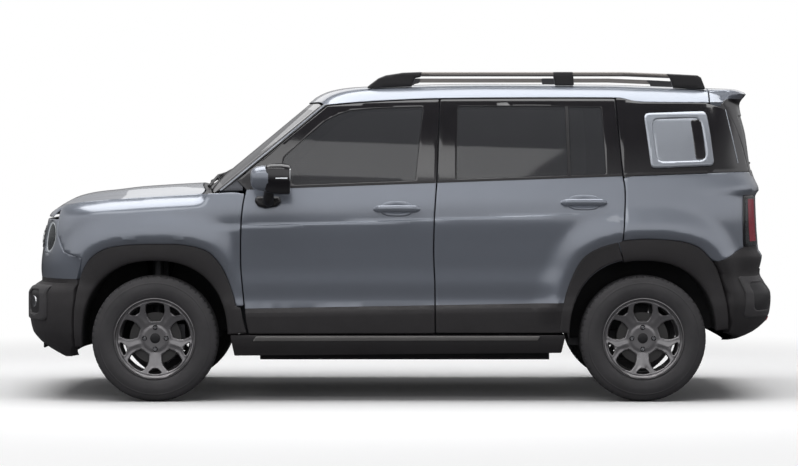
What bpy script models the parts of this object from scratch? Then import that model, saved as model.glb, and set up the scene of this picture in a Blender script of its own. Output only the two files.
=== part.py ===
"""Compact five-door off-road car, built as separate panels round an open cabin.

Metres, +Z up. The car faces -X and its left side is at -Y. The origin is on the floor, midway
between the axles. Most panels are flat outlines that are bent onto the body's outer surface: the
outline gives a panel's edges and windows, and a lift function gives both of its faces.
"""

import math

import bmesh
import bpy
from mathutils import Matrix, Vector

# Driving sizes of the car
WHEELBASE = 2.560
BODY_HEIGHT = 1.683
HALF_WIDTH = 0.868
FRONT_REACH = 0.725
REAR_REACH = 0.725
FRONT_AXLE_X = -WHEELBASE / 2
REAR_AXLE_X = WHEELBASE / 2

# Clearances
SEAT = 0.0003
SHUT_GAP = 0.006
DOOR_BACK_GAP = 0.012
MERGE = 1e-5

# Body surface: half width by height, and reach of nose and tail by height, as shares of
# BODY_HEIGHT and of HALF_WIDTH, FRONT_REACH or REAR_REACH
SECTION_SHARES = ((0.119, 0.93), (0.214, 0.975), (0.298, 0.985), (0.333, 0.979), (0.554, 1.0),
                  (0.667, 0.966), (0.946, 0.775), (0.99, 0.72))
NOSE_SHARES = ((0.119, 0.70), (0.155, 0.855), (0.179, 0.927), (0.214, 0.985), (0.253, 1.0), (0.33, 1.0),
               (0.35, 0.975), (0.369, 0.908), (0.405, 0.914), (0.52, 0.879), (0.577, 0.85))
TAIL_SHARES = ((0.179, 0.60), (0.19, 0.76), (0.229, 0.932), (0.253, 0.979), (0.318, 1.0), (0.334, 0.997),
               (0.367, 0.949), (0.393, 0.919), (0.449, 0.935), (0.471, 0.906), (0.64, 0.884), (0.659, 0.912),
               (0.70, 0.874), (0.732, 0.852), (0.835, 0.822), (0.93, 0.778), (0.99, 0.75))
FRONT_POWER = 3.5
REAR_POWER = 4.5

# Levels and stations along the side
BELT_FRONT_Z = 1.110
BELT_REAR_Z = 1.182
DOOR_BOTTOM_Z = 0.358
ROCKER_TOP_Z = 0.350
ROCKER_BOTTOM_Z = 0.240
DOOR_FRONT_X = -0.829
POST_X = 0.184
REAR_DOOR_X = 1.178
SHOULDER_SHARES = ((0.0, 0.0), (0.05, 0.24), (0.10, 0.41), (0.15, 0.50), (0.23, 0.585), (1.0, 1.0))
SHOULDER_FRONT_Z = 0.969
SHOULDER_REAR_Z = 1.101
SHOULDER_ROUND = 0.070
SHOULDER_IN = 0.080
SHOULDER_START_X = -1.060
SHOULDER_END_X = -1.000
CLAD_Z = 0.505
CLAD_PROUD = 0.008

# Walls
DOOR_WALL = 0.100
DOOR_FRAME_WALL = 0.035
DOOR_DRAFT = 0.016
PANEL_WALL = 0.030
FRAME_WALL = 0.045
ROOF_WALL = 0.020
BUMPER_WALL = 0.035
GLASS_WALL = 0.005
GLASS_INSET = 0.004

# Roof and windscreen
ROOF_FRONT_X = -0.496
ROOF_REAR_X = 1.640
ROOF_FRONT_DROP = 0.104
ROOF_SHARES = ((0.0, 1.0), (0.026, 0.60), (0.062, 0.32), (0.106, 0.18), (0.144, 0.135), (0.42, 0.0),
               (0.75, 0.05), (1.0, 0.22))
ROOF_EDGE_Z = 1.600
ROOF_EDGE_DROP = 0.040
ROOF_EDGE_SHARES = ((0.0, 1.0), (0.07, 0.68), (0.16, 0.38), (0.30, 0.10), (0.60, 0.0), (0.76, 0.02),
                    (0.82, 0.60), (1.0, 0.70))
DOOR_TOP_GAP = 0.009
DOOR_ARCH_PART = 0.10
ROOF_SECTION_SHARES = ((0.0, 0.0), (0.40, 0.04), (0.75, 0.14), (0.87, 0.26), (0.94, 0.50), (1.0, 1.0))
WINDSCREEN_BASE_X = -1.025
WINDSCREEN_BASE_Z = 1.130
WINDSCREEN_TOP_Z = 1.570
WINDSCREEN_BOW = 0.100
PILLAR_WIDTH = 0.034

# Bonnet and cowl
BONNET_SHARES = ((0.0, 1.0), (0.04, 0.78), (0.107, 0.57), (0.18, 0.40), (0.28, 0.29), (0.43, 0.21),
                 (0.59, 0.12), (0.74, 0.07), (1.0, 0.0))
BONNET_NOSE_X = -1.896
BONNET_NOSE_Z = 0.969
BONNET_BACK_X = -1.075
BONNET_BACK_Z = 1.143
BONNET_WALL = 0.028
BONNET_BACK_SHARES = ((0.0, 0.0), (0.29, 0.083), (0.58, 0.333), (0.71, 0.45), (0.80, 0.43), (0.90, 0.35))
WINDSCREEN_SAG = 0.035
ROOF_FRONT_SAG = 0.020
COWL_WALL = 0.020
COWL_BACK_X = -0.968

# Wheels
TYRE_RADIUS = 0.331
TYRE_WIDTH = 0.205
TRACK_HALF = 0.7575
RIM_RADIUS = 0.2125
RIM_SEAT = 0.203
RIM_WALL = 0.008
RIM_HALF_WIDTH = 0.0885
HUB_RADIUS = 0.074
DISC_RADIUS = 0.135
DISC_Y = 0.018
WHEEL_STEPS = 28
STEER_DEG = 32

# Arches, as shares of their reach and height from the wheel's centre
ARCH_REACH = 0.450
ARCH_HEIGHT = 0.497
LINER_REACH = 0.383
LINER_HEIGHT = 0.409
LINER_POWER = 2.3
ARCH_WALL = 0.005
ARCH_PROUD = 0.010
FRONT_ARCH_SHARES = ((-0.94, -0.10), (-0.95, 0.12), (-0.945, 0.276), (-0.92, 0.45), (-0.875, 0.63),
                     (-0.798, 0.79), (-0.673, 0.903), (-0.496, 0.968), (-0.211, 0.996), (0.0, 1.0),
                     (0.213, 1.0), (0.447, 0.976), (0.624, 0.92), (0.749, 0.807), (0.856, 0.63),
                     (0.927, 0.437), (0.955, 0.345), (1.000, 0.325), (1.032, 0.20), (1.073, 0.060))
FENDER_FIRST = 4
FENDER_LAST = 16
STRUT_HOLE = (8, 9)
REAR_ARCH_SHARES = ((-0.98, -0.02), (-0.965, 0.2), (-0.92, 0.42), (-0.85, 0.62), (-0.70, 0.86), (-0.50, 0.97),
                    (-0.30, 1.02), (-0.24, 1.035), (0.05, 1.054), (0.396, 1.034), (0.624, 0.972),
                    (0.764, 0.857), (0.856, 0.732), (0.925, 0.545), (0.97, 0.378), (0.99, 0.233), (0.995, 0.10))
REAR_ARCH_DOOR_STATIONS = 7

PAINT = (0.36, 0.39, 0.45)
CLADDING = (0.045, 0.042, 0.045)
GLOSS_BLACK = (0.01, 0.009, 0.01)
GLASS = (0.04, 0.04, 0.045)
RUBBER = (0.035, 0.033, 0.035)
ALLOY = (0.06, 0.055, 0.06)
STEEL = (0.2, 0.2, 0.21)
FABRIC = (0.05, 0.05, 0.055)
LAMP = (0.7, 0.72, 0.75)
LAMP_RED = (0.4, 0.02, 0.05)

parts = bpy.data.collections.new("off_road_car")
cutters = bpy.data.collections.new("cutters")


def across(low, high, share):
    return low + (high - low) * share


def read_table(table, at):
    """Linear value of a two-column table at a place."""
    if at <= table[0][0]:
        return table[0][1]
    for (a, low), (b, high) in zip(table, table[1:]):
        if at <= b:
            return across(low, high, (at - a) / (b - a))
    return table[-1][1]


def clamped(share):
    return min(1.0, max(0.0, share))


def nose_x(z):
    return FRONT_AXLE_X - FRONT_REACH * read_table(NOSE_SHARES, z / BODY_HEIGHT)


def tail_x(z):
    return REAR_AXLE_X + REAR_REACH * read_table(TAIL_SHARES, z / BODY_HEIGHT)


def half_width(z):
    return HALF_WIDTH * read_table(SECTION_SHARES, z / BODY_HEIGHT)


def taper(x, z):
    """Share of the half width that is left where the plan turns in at nose and tail."""
    if x < FRONT_AXLE_X:
        share, power = (FRONT_AXLE_X - x) / (FRONT_AXLE_X - nose_x(z)), FRONT_POWER
    elif x > REAR_AXLE_X:
        share, power = (x - REAR_AXLE_X) / (tail_x(z) - REAR_AXLE_X), REAR_POWER
    else:
        return 1.0
    return (1.0 - clamped(share) ** power) ** (1.0 / power)


def shoulder_z(x):
    """Height of the edge between fender and bonnet."""
    share = (x - BONNET_NOSE_X) / (DOOR_FRONT_X - BONNET_NOSE_X)
    return across(SHOULDER_FRONT_Z, SHOULDER_REAR_Z, read_table(SHOULDER_SHARES, share))


def shoulder_share(x, z):
    """How far the fender has turned in towards the bonnet, 0 to 1."""
    rise = clamped((z - shoulder_z(x) + SHOULDER_ROUND) / SHOULDER_ROUND)
    fade = clamped((SHOULDER_END_X - x) / (SHOULDER_END_X - SHOULDER_START_X))
    return rise * rise * fade


def side_y(x, z):
    """Half width of the body's outer surface."""
    return half_width(z) * taper(x, z) - SHOULDER_IN * shoulder_share(x, z)


def front_x(y, z):
    """The nose's surface at a place across the car."""
    share = clamped(abs(y) / half_width(z)) ** FRONT_POWER
    return FRONT_AXLE_X - (FRONT_AXLE_X - nose_x(z)) * (1.0 - share) ** (1.0 / FRONT_POWER)


def rear_x(y, z):
    """The tail's surface at a place across the car."""
    share = clamped(abs(y) / half_width(z)) ** REAR_POWER
    return REAR_AXLE_X + (tail_x(z) - REAR_AXLE_X) * (1.0 - share) ** (1.0 / REAR_POWER)


def belt_z(x):
    return across(BELT_FRONT_Z, BELT_REAR_Z, (x - DOOR_FRONT_X) / (REAR_DOOR_X - DOOR_FRONT_X))


def roof_edge_z(x):
    start = ROOF_FRONT_X + WINDSCREEN_BOW
    return ROOF_EDGE_Z - ROOF_EDGE_DROP * read_table(ROOF_EDGE_SHARES, (x - start) / (ROOF_REAR_X - start))


def roof_z(x, y):
    """The roof's outer surface."""
    edge_z = roof_edge_z(x)
    share = clamped(abs(y) / side_y(x, edge_z))
    along = x - WINDSCREEN_BOW * share ** 2
    drop = ROOF_FRONT_DROP * read_table(ROOF_SHARES, (along - ROOF_FRONT_X) / (ROOF_REAR_X - ROOF_FRONT_X))
    return across(BODY_HEIGHT - drop, edge_z, read_table(ROOF_SECTION_SHARES, share))


ROOF_EDGE_START_X = ROOF_FRONT_X + WINDSCREEN_BOW
ROOF_EDGE_XS = [across(ROOF_EDGE_START_X, ROOF_REAR_X, share) for share, _ in ROOF_EDGE_SHARES]


def bonnet_side_y(x):
    level = 1.0 - shoulder_share(x, shoulder_z(x))
    return side_y(x, shoulder_z(x)) - SHUT_GAP - PANEL_WALL * level


def bonnet_z(x, y):
    """The bonnet's outer surface, which meets the fender's edge at its sides."""
    share = clamped(abs(y) / HALF_WIDTH) ** FRONT_POWER
    ahead = (FRONT_AXLE_X - x) / (1.0 - share) ** (1.0 / FRONT_POWER) if x < FRONT_AXLE_X else FRONT_AXLE_X - x
    along = (FRONT_AXLE_X - ahead - BONNET_NOSE_X) / (BONNET_BACK_X - BONNET_NOSE_X)
    centre = BONNET_BACK_Z - (BONNET_BACK_Z - BONNET_NOSE_Z) * read_table(BONNET_SHARES, along)
    edge = min(shoulder_z(x), centre)
    return across(centre, edge, clamped(abs(y) / bonnet_side_y(x)) ** 2)


def windscreen_x(z):
    """The windscreen's centre line."""
    share = (z - WINDSCREEN_BASE_Z) / (WINDSCREEN_TOP_Z - WINDSCREEN_BASE_Z)
    return across(WINDSCREEN_BASE_X, ROOF_FRONT_X, share)


def door_depth(z, x):
    """Thickness of a door: its full wall below the belt and its window frame above."""
    share = clamped((z - belt_z(x) + PANEL_WALL) / PANEL_WALL)
    return across(DOOR_WALL, DOOR_FRAME_WALL, share)


def cladding(z):
    """How far the doors' plastic cladding stands out from the paint line down."""
    return CLAD_PROUD * clamped((CLAD_Z - z) / CLAD_PROUD)


def material(name, colour, roughness=0.45, metallic=0.0):
    """One Principled material for each sub-part."""
    mat = bpy.data.materials.new(name)
    mat.use_nodes = True
    shader = mat.node_tree.nodes["Principled BSDF"]
    shader.inputs["Base Color"].default_value = (*colour, 1.0)
    shader.inputs["Roughness"].default_value = roughness
    shader.inputs["Metallic"].default_value = metallic
    return mat


def add_object(name, mesh, colour, roughness=0.45, metallic=0.0):
    obj = bpy.data.objects.new(name, mesh)
    parts.objects.link(obj)
    mesh.materials.clear()
    mesh.materials.append(material(name, colour, roughness, metallic))
    return obj


def outline_mesh(name, loops):
    """Closed slab, one unit thick, from flat outlines: the first is the edge, the rest are windows."""
    curve = bpy.data.curves.new(name, "CURVE")
    curve.dimensions = "2D"
    curve.fill_mode = "BOTH"
    curve.extrude = 0.5
    for loop in loops:
        spline = curve.splines.new("POLY")
        spline.points.add(len(loop) - 1)
        for point, (u, v) in zip(spline.points, loop):
            point.co = (u, v, 0.0, 1.0)
        spline.use_cyclic_u = True
    holder = bpy.data.objects.new(name, curve)
    parts.objects.link(holder)
    graph = bpy.context.evaluated_depsgraph_get()
    mesh = bpy.data.meshes.new_from_object(holder.evaluated_get(graph))
    bpy.data.objects.remove(holder)
    return mesh


def face_outwards(bm):
    bmesh.ops.recalc_face_normals(bm, faces=bm.faces[:])
    if bm.calc_volume(signed=True) < 0:
        bmesh.ops.reverse_faces(bm, faces=bm.faces[:])


def bent(name, loops, cuts, lift, colour, roughness=0.45, metallic=0.0):
    """A panel: a slab cut along lines, each line (place, direction), then bent by lift(u, v, inner)."""
    mesh = outline_mesh(name, loops)
    bm = bmesh.new()
    bm.from_mesh(mesh)
    bmesh.ops.remove_doubles(bm, verts=bm.verts, dist=MERGE)
    bmesh.ops.dissolve_limit(bm, angle_limit=math.radians(1), verts=bm.verts, edges=bm.edges)
    for place, direction in cuts:
        bmesh.ops.bisect_plane(bm, geom=bm.verts[:] + bm.edges[:] + bm.faces[:], dist=MERGE * 10,
                               plane_co=(*place, 0.0), plane_no=(*direction, 0.0))
    bmesh.ops.triangulate(bm, faces=bm.faces[:])
    for vert in bm.verts:
        vert.co = lift(vert.co.x, vert.co.y, vert.co.z < 0)
    face_outwards(bm)
    bm.to_mesh(mesh)
    bm.free()
    return add_object(name, mesh, colour, roughness, metallic)


def lines(us=(), vs=()):
    """Cutting lines at places along u and along v."""
    return [((u, 0.0), (1.0, 0.0)) for u in us] + [((0.0, v), (0.0, 1.0)) for v in vs]


def mirrored(source, name):
    """The same piece on the right side of the car."""
    mesh = source.data.copy()
    mesh.transform(Matrix.Scale(-1.0, 4, (0.0, 1.0, 0.0)))
    mesh.flip_normals()
    colour = source.data.materials[0].node_tree.nodes["Principled BSDF"].inputs
    return add_object(name, mesh, tuple(colour["Base Color"].default_value)[:3],
                      colour["Roughness"].default_value, colour["Metallic"].default_value)


def both_sides(name, build):
    """A piece on the left, made by build, and its mirror image on the right."""
    left = build(name + "_left")
    mirrored(left, name + "_right")


def joined(name, pieces, colour, roughness=0.45, metallic=0.0):
    """One solid from overlapping pieces."""
    first = pieces[0]
    for other in pieces[1:]:
        cut = first.modifiers.new("union", "BOOLEAN")
        cut.operation = "UNION"
        cut.solver = "EXACT"
        cut.object = other
    graph = bpy.context.evaluated_depsgraph_get()
    mesh = bpy.data.meshes.new_from_object(first.evaluated_get(graph))
    for piece in pieces:
        bpy.data.objects.remove(piece)
    return add_object(name, mesh, colour, roughness, metallic)


def block(name, low, high):
    """A box between two corners."""
    bm = bmesh.new()
    size = [b - a for a, b in zip(low, high)]
    centre = [(a + b) / 2 for a, b in zip(low, high)]
    bmesh.ops.create_cube(bm, size=1.0, matrix=Matrix.Translation(centre) @ Matrix.Diagonal((*size, 1.0)))
    mesh = bpy.data.meshes.new(name)
    bm.to_mesh(mesh)
    bm.free()
    obj = bpy.data.objects.new(name, mesh)
    parts.objects.link(obj)
    return obj


def rod(name, start, end, radius, steps=24, end_radius=None):
    """A round bar from one point to another."""
    a, b = Vector(start), Vector(end)
    bm = bmesh.new()
    turn = (b - a).to_track_quat("Z", "Y").to_matrix().to_4x4()
    bmesh.ops.create_cone(bm, cap_ends=True, segments=steps, radius1=radius, depth=(b - a).length,
                          radius2=radius if end_radius is None else end_radius,
                          matrix=Matrix.Translation((a + b) / 2) @ turn)
    mesh = bpy.data.meshes.new(name)
    bm.to_mesh(mesh)
    bm.free()
    obj = bpy.data.objects.new(name, mesh)
    parts.objects.link(obj)
    return obj


def turned(name, profile, centre, steps=WHEEL_STEPS):
    """A ring with its axis along Y: profile points are (radius, place along the axis)."""
    mesh = bpy.data.meshes.new(name)
    count = len(profile)
    mesh.from_pydata([(radius, along, 0.0) for radius, along in profile],
                     [(i, (i + 1) % count) for i in range(count)], [])
    obj = bpy.data.objects.new(name, mesh)
    parts.objects.link(obj)
    screw = obj.modifiers.new("turn", "SCREW")
    screw.axis = "Y"
    screw.steps = screw.render_steps = steps
    screw.use_merge_vertices = True
    screw.merge_threshold = MERGE
    graph = bpy.context.evaluated_depsgraph_get()
    made = bpy.data.meshes.new_from_object(obj.evaluated_get(graph))
    bpy.data.objects.remove(obj)
    bm = bmesh.new()
    bm.from_mesh(made)
    bmesh.ops.remove_doubles(bm, verts=bm.verts, dist=MERGE)
    face_outwards(bm)
    bmesh.ops.translate(bm, verts=bm.verts, vec=centre)
    bm.to_mesh(made)
    bm.free()
    solid = bpy.data.objects.new(name, made)
    parts.objects.link(solid)
    return solid


def finished(obj, colour, roughness=0.45, metallic=0.0):
    """A made solid gets its material."""
    obj.data.materials.clear()
    obj.data.materials.append(material(obj.name, colour, roughness, metallic))
    return obj


# Doors. The shut lines, from the sill up, as (height share of BODY_HEIGHT, x share of the door's length)
DOOR_LENGTH = POST_X - DOOR_FRONT_X
FRONT_EDGE_SHARES = ((0.21, 0.041), (0.24, 0.029), (0.326, 0.014), (0.443, 0.0), (0.562, 0.004),
                     (0.623, 0.015), (0.662, 0.029))
POST_EDGE_SHARES = ((0.21, 0.006), (0.36, 0.004), (0.467, -0.003), (0.574, 0.001), (0.686, 0.014),
                    (0.814, 0.023), (0.98, 0.034))
REAR_EDGE_SHARES = ((0.455, -0.016), (0.49, -0.012), (0.574, -0.002), (0.654, 0.003), (0.702, -0.007),
                    (0.84, -0.025), (0.98, -0.041))
HINGE_BACK = 0.060
HINGE_Y = 0.851
FOOT_HALF = 0.010
WINDOW_LINES = (0.53, 0.78, 0.93)


def front_edge_x(z):
    return DOOR_FRONT_X + DOOR_LENGTH * read_table(FRONT_EDGE_SHARES, z / BODY_HEIGHT)


def post_edge_x(z):
    return POST_X + DOOR_LENGTH * read_table(POST_EDGE_SHARES, z / BODY_HEIGHT)


def rear_edge_x(z):
    return REAR_DOOR_X + DOOR_LENGTH * read_table(REAR_EDGE_SHARES, z / BODY_HEIGHT)


def pillar_x(z):
    """Front face of the windscreen pillar."""
    return windscreen_x(z) + WINDSCREEN_BOW + GLASS_WALL + SEAT * 2


DRAFT_REACH = 0.030


def front_door_ends(x, z):
    return x - front_edge_x(z), post_edge_x(z) - x


def rear_door_ends(x, z):
    """Distances to the rear door's front edge and to its rear edge or wheel arch."""
    along, up = x - REAR_AXLE_X, z - TYRE_RADIUS
    near = liner_point(REAR_AXLE_X, along, up, 0.0)
    arch_gap = math.hypot(along, up) - math.hypot(near[0] - REAR_AXLE_X, near[1] - TYRE_RADIUS)
    return x - post_edge_x(z), min(arch_gap, rear_edge_x(z) - x) if z < BELT_FRONT_Z else rear_edge_x(z) - x


def door_lift(ends):
    """Bends a door: outer face on the body, inner face a door's thickness in, drawn in at its ends."""
    def lift(x, z, inner):
        if not inner:
            return (x, -(side_y(x, z) + cladding(z)), z)
        front, rear = ends(x, z)
        shift = clamped(1.0 - front / DRAFT_REACH) - clamped(1.0 - rear / DRAFT_REACH)
        return (x + DOOR_DRAFT * shift, -(side_y(x, z) - door_depth(z, x)), z)
    return lift


BELT_SLOPE = (BELT_REAR_Z - BELT_FRONT_Z) / (REAR_DOOR_X - DOOR_FRONT_X)
BELT_CUTS = [((DOOR_FRONT_X, BELT_FRONT_Z - drop), (-BELT_SLOPE, 1.0)) for drop in (0.0, PANEL_WALL)]


def levels(low, high, count):
    """Heights between two levels."""
    return [across(low, high, (i + 1) / (count + 1)) for i in range(count)]


def heights_of(table, low, high):
    return [share * BODY_HEIGHT for share, _ in table if low < share * BODY_HEIGHT < high]


def edge_up(edge, table, low, high, shift):
    """Points up a shut line between two heights, moved along x."""
    heights = [low] + heights_of(table, low, high) + [high]
    return [(edge(z) + shift, z) for z in heights]


def front_window():
    """Outline of the front door's glass, from its lower front corner."""
    return [(-0.551, belt_z(-0.551) + 0.016), (0.086, belt_z(0.086) + 0.016), (0.128, 1.549), (-0.05, 1.543),
            (-0.259, 1.528), (-0.386, 1.475), (-0.50, 1.378), (-0.60, 1.285), (-0.61, 1.25)]


def rear_window():
    return [(0.30, belt_z(0.30) + 0.016), (1.085, belt_z(1.085) + 0.014), (1.07, 1.545), (0.70, 1.553),
            (0.31, 1.551)]


def inset(loop, by):
    """A loop whose every edge has moved inwards by a small step."""
    area = sum(a[0] * b[1] - b[0] * a[1] for a, b in zip(loop, loop[1:] + loop[:1]))
    turn = 1.0 if area > 0 else -1.0
    moved = []
    for before, here, after in zip(loop[-1:] + loop[:-1], loop, loop[1:] + loop[:1]):
        first = (Vector(here) - Vector(before)).normalized()
        second = (Vector(after) - Vector(here)).normalized()
        normal = Vector((-first.y - second.y, first.x + second.x)) * turn
        normal /= 1.0 + first.dot(second)
        moved.append((here[0] + normal.x * by, here[1] + normal.y * by))
    return moved


DOOR_LEVELS = (CLAD_Z - CLAD_PROUD, CLAD_Z, 0.56, 0.75, 0.93, 1.12, 1.25, 1.38, 1.5)


def front_door(name):
    low = DOOR_BOTTOM_Z
    foot_x = DOOR_FRONT_X + HINGE_BACK
    top_z = roof_edge_z(ROOF_EDGE_START_X + DOOR_DRAFT) - DOOR_TOP_GAP
    loop = edge_up(front_edge_x, FRONT_EDGE_SHARES, low, BELT_FRONT_Z, SHUT_GAP / 2)
    for z in (1.20, 1.32, 1.44, 1.50):
        loop.append((pillar_x(z) + PILLAR_WIDTH, z))
    loop.append((pillar_x(top_z) + PILLAR_WIDTH, top_z))
    for x in ROOF_EDGE_XS[1:3]:
        loop.append((x, roof_edge_z(x) - DOOR_TOP_GAP))
    top = roof_edge_z(0.21) - DOOR_TOP_GAP
    loop += reversed(edge_up(post_edge_x, POST_EDGE_SHARES, low + 0.002, top, -SHUT_GAP / 2))
    loop += [(foot_x + FOOT_HALF, low), (foot_x + FOOT_HALF, ROCKER_TOP_Z + SEAT),
             (foot_x - FOOT_HALF, ROCKER_TOP_Z + SEAT), (foot_x - FOOT_HALF, low)]
    cuts = lines([-0.6, -0.35, -0.1], DOOR_LEVELS) + BELT_CUTS
    return bent(name, [loop, front_window()], cuts, door_lift(front_door_ends), PAINT, 0.3, 0.6)


def rear_door(name):
    low = DOOR_BOTTOM_Z + 0.004
    foot_x = POST_X + HINGE_BACK
    top = roof_edge_z(0.22) - DOOR_TOP_GAP
    loop = edge_up(post_edge_x, POST_EDGE_SHARES, low, top, SHUT_GAP / 2)
    loop.append((ROOF_EDGE_XS[4], roof_edge_z(ROOF_EDGE_XS[4]) - DOOR_TOP_GAP))
    loop += reversed(edge_up(rear_edge_x, REAR_EDGE_SHARES, 0.765, roof_edge_z(1.13) - DOOR_TOP_GAP, 0.0))
    loop += arch_points(REAR_AXLE_X, REAR_ARCH_SHARES, DOOR_ARCH_PART, REAR_ARCH_DOOR_STATIONS - 1, 0)
    loop += [(0.880, low), (foot_x + FOOT_HALF, low), (foot_x + FOOT_HALF, ROCKER_TOP_Z + SEAT),
             (foot_x - FOOT_HALF, ROCKER_TOP_Z + SEAT), (foot_x - FOOT_HALF, low)]
    cuts = lines([0.45, 0.7, 0.95], DOOR_LEVELS) + BELT_CUTS
    return bent(name, [loop, rear_window()], cuts, door_lift(rear_door_ends), PAINT, 0.3, 0.6)


def glass_lift(x, z, inner):
    depth = GLASS_INSET + (GLASS_WALL if inner else 0.0)
    return (x, -(side_y(x, z) - depth), z)


def door_glass(name, loop, middle):
    """A pane in its door's window."""
    cuts = lines([middle], [1.25, 1.38, 1.5])
    return bent(name, [inset(loop, 0.0010)], cuts, glass_lift, GLASS, 0.08)


# Arches
def liner_point(centre_x, along, up, grow):
    """The arch's inner line in the direction of a point, given from the wheel's centre."""
    angle = math.atan2(up, along)
    c, s = abs(math.cos(angle)), abs(math.sin(angle))
    radius = ((c / LINER_REACH) ** LINER_POWER + (s / LINER_HEIGHT) ** LINER_POWER) ** (-1.0 / LINER_POWER) + grow
    return (centre_x + radius * math.cos(angle), TYRE_RADIUS + radius * math.sin(angle))


def arch_points(centre_x, shares, part, first, last):
    """Points round an arch between its inner line (0) and its outer line (1), from first to last."""
    step = 1 if last >= first else -1
    points = []
    for i in range(int(first), int(last) + step, step):
        along, up = shares[i][0] * ARCH_REACH, shares[i][1] * ARCH_HEIGHT
        inner = liner_point(centre_x, along, up, 0.0)
        points.append((across(inner[0], centre_x + along, part), across(inner[1], TYRE_RADIUS + up, part)))
    return points


ARCH_ROWS = ((0.996, 0.0003), (0.90, ARCH_PROUD), (0.12, ARCH_PROUD), (0.0, 0.0))
HIDDEN_PARTS = (0.26, 0.16, 0.08, 0.0)
LINER_DEEP = 0.160


def arch_row(centre_x, share_x, share_z, liner_y, hidden):
    """One row of an arch, from its outer edge over the lip and into the wheelhouse."""
    along, up = share_x * ARCH_REACH, share_z * ARCH_HEIGHT
    inner = liner_point(centre_x, along, up, 0.0)
    hub = liner_point(centre_x, along, up, -LINER_DEEP)
    row = []
    for (part, proud), hidden_part in zip(ARCH_ROWS, HIDDEN_PARTS):
        share = hidden_part if hidden else part
        x, z = across(inner[0], centre_x + along, share), across(inner[1], TYRE_RADIUS + up, share)
        deep = DOOR_WALL + DOOR_BACK_GAP + share * PANEL_WALL if hidden else -proud
        row.append((x, side_y(x, z) - deep, z))
    row.append((inner[0], across(liner_y, row[-1][1], 0.5), inner[1]))
    row.append((inner[0], liner_y, inner[1]))
    row.append((hub[0], liner_y, hub[1]))
    return row


def arch(name, centre_x, shares, liner_y, hidden_stations, hole):
    """Cladding round a wheel opening, turned in to a liner over the tyre, as one thick sheet."""
    bm = bmesh.new()
    rows = [[bm.verts.new((x, -y, z)) for x, y, z in arch_row(centre_x, *place, liner_y, i < hidden_stations)]
            for i, place in enumerate(shares)]
    for i, (a, b) in enumerate(zip(rows, rows[1:])):
        for j in range(len(a) - 1):
            if not (i in hole and j >= len(a) - 3):
                bm.faces.new((a[j], a[j + 1], b[j + 1], b[j]))
    bmesh.ops.recalc_face_normals(bm, faces=bm.faces[:])
    mesh = bpy.data.meshes.new(name)
    bm.to_mesh(mesh)
    bm.free()
    obj = bpy.data.objects.new(name, mesh)
    parts.objects.link(obj)
    wall = obj.modifiers.new("wall", "SOLIDIFY")
    wall.thickness = ARCH_WALL
    wall.offset = -1.0
    graph = bpy.context.evaluated_depsgraph_get()
    made = bpy.data.meshes.new_from_object(obj.evaluated_get(graph))
    bpy.data.objects.remove(obj)
    return add_object(name, made, CLADDING, 0.75)


def front_arch(name):
    return arch(name, FRONT_AXLE_X, FRONT_ARCH_SHARES, 0.462, 0, STRUT_HOLE)


def rear_arch(name):
    return arch(name, REAR_AXLE_X, REAR_ARCH_SHARES, 0.610, REAR_ARCH_DOOR_STATIONS, ())


# Outer panels
def fender_lift(x, z, inner):
    if not inner:
        return (x, -side_y(x, z), z)
    turn = shoulder_share(x, z)
    along, wide = wall_turn(nose_place(x=x, z=z)[0])
    level = PANEL_WALL * (1.0 - turn)
    return (x + level * along, -(side_y(x, z) - level * wide), z - PANEL_WALL * turn)


FENDER_FRONT_X = -1.800


FENDER_TOP_XS = (-0.87, -1.0, -1.03, -1.06, -1.15, -1.28, -1.45, -1.6, -1.7, -1.745, -1.788)
FRONT_SEAM = ((-1.800, 0.968), (-1.800, 0.92), (-1.800, 0.87), (-1.786, 0.835), (-1.765, 0.787), (-1.73, 0.774),
              (-1.695, 0.763), (-1.66, 0.7535))
FRONT_LEVELS = (0.68, 0.7535, 0.774, 0.80, 0.835, 0.87, 0.92)
FENDER_BOTTOM_Z = 0.503


def fender(name):
    loop = [(front_edge_x(z) - SHUT_GAP / 2, z) for z in (FENDER_BOTTOM_Z, 0.60, 0.745, 0.85, 0.945, 1.048, 1.09)]
    loop += [(x, shoulder_z(x)) for x in FENDER_TOP_XS]
    loop += [(x, z) for x, z in FRONT_SEAM]
    loop += arch_points(FRONT_AXLE_X, FRONT_ARCH_SHARES, 1.0, FENDER_FIRST, FENDER_LAST)
    cuts = lines(FENDER_TOP_XS, [0.56, *FRONT_LEVELS[1:], 0.93, 0.97, 1.0, 1.02, 1.04, 1.06, 1.08])
    return bent(name, [loop], cuts, fender_lift, PAINT, 0.3, 0.6)


def turn_of(ahead, out):
    """Share of the turn from the side, 0, to the middle, 1."""
    return math.atan2(ahead, out) / (math.pi / 2)


def power_share(share, power):
    return (1.0 - clamped(share) ** power) ** (1.0 / power)


def tail_place(x=None, y=None, z=0.0):
    """(u, v) of a place on the tail: u is the share of the turn from the rear axle to the middle."""
    if x is None:
        out = clamped(abs(y) / half_width(z))
        return (turn_of(power_share(out, REAR_POWER), out), z)
    ahead = (x - REAR_AXLE_X) / (tail_x(z) - REAR_AXLE_X)
    return (turn_of(ahead, power_share(max(0.0, ahead), REAR_POWER)) if ahead > 0 else ahead / 2, z)


def nose_place(x=None, y=None, z=0.0):
    """(u, v) of a place on the nose: u is the share of the turn from the front axle to the middle."""
    if x is None:
        out = clamped(abs(y) / half_width(z))
        return (turn_of(power_share(out, FRONT_POWER), out), z)
    ahead = max(0.0, (FRONT_AXLE_X - x) / (FRONT_AXLE_X - nose_x(z)))
    return (turn_of(ahead, power_share(ahead, FRONT_POWER)), z)


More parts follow.
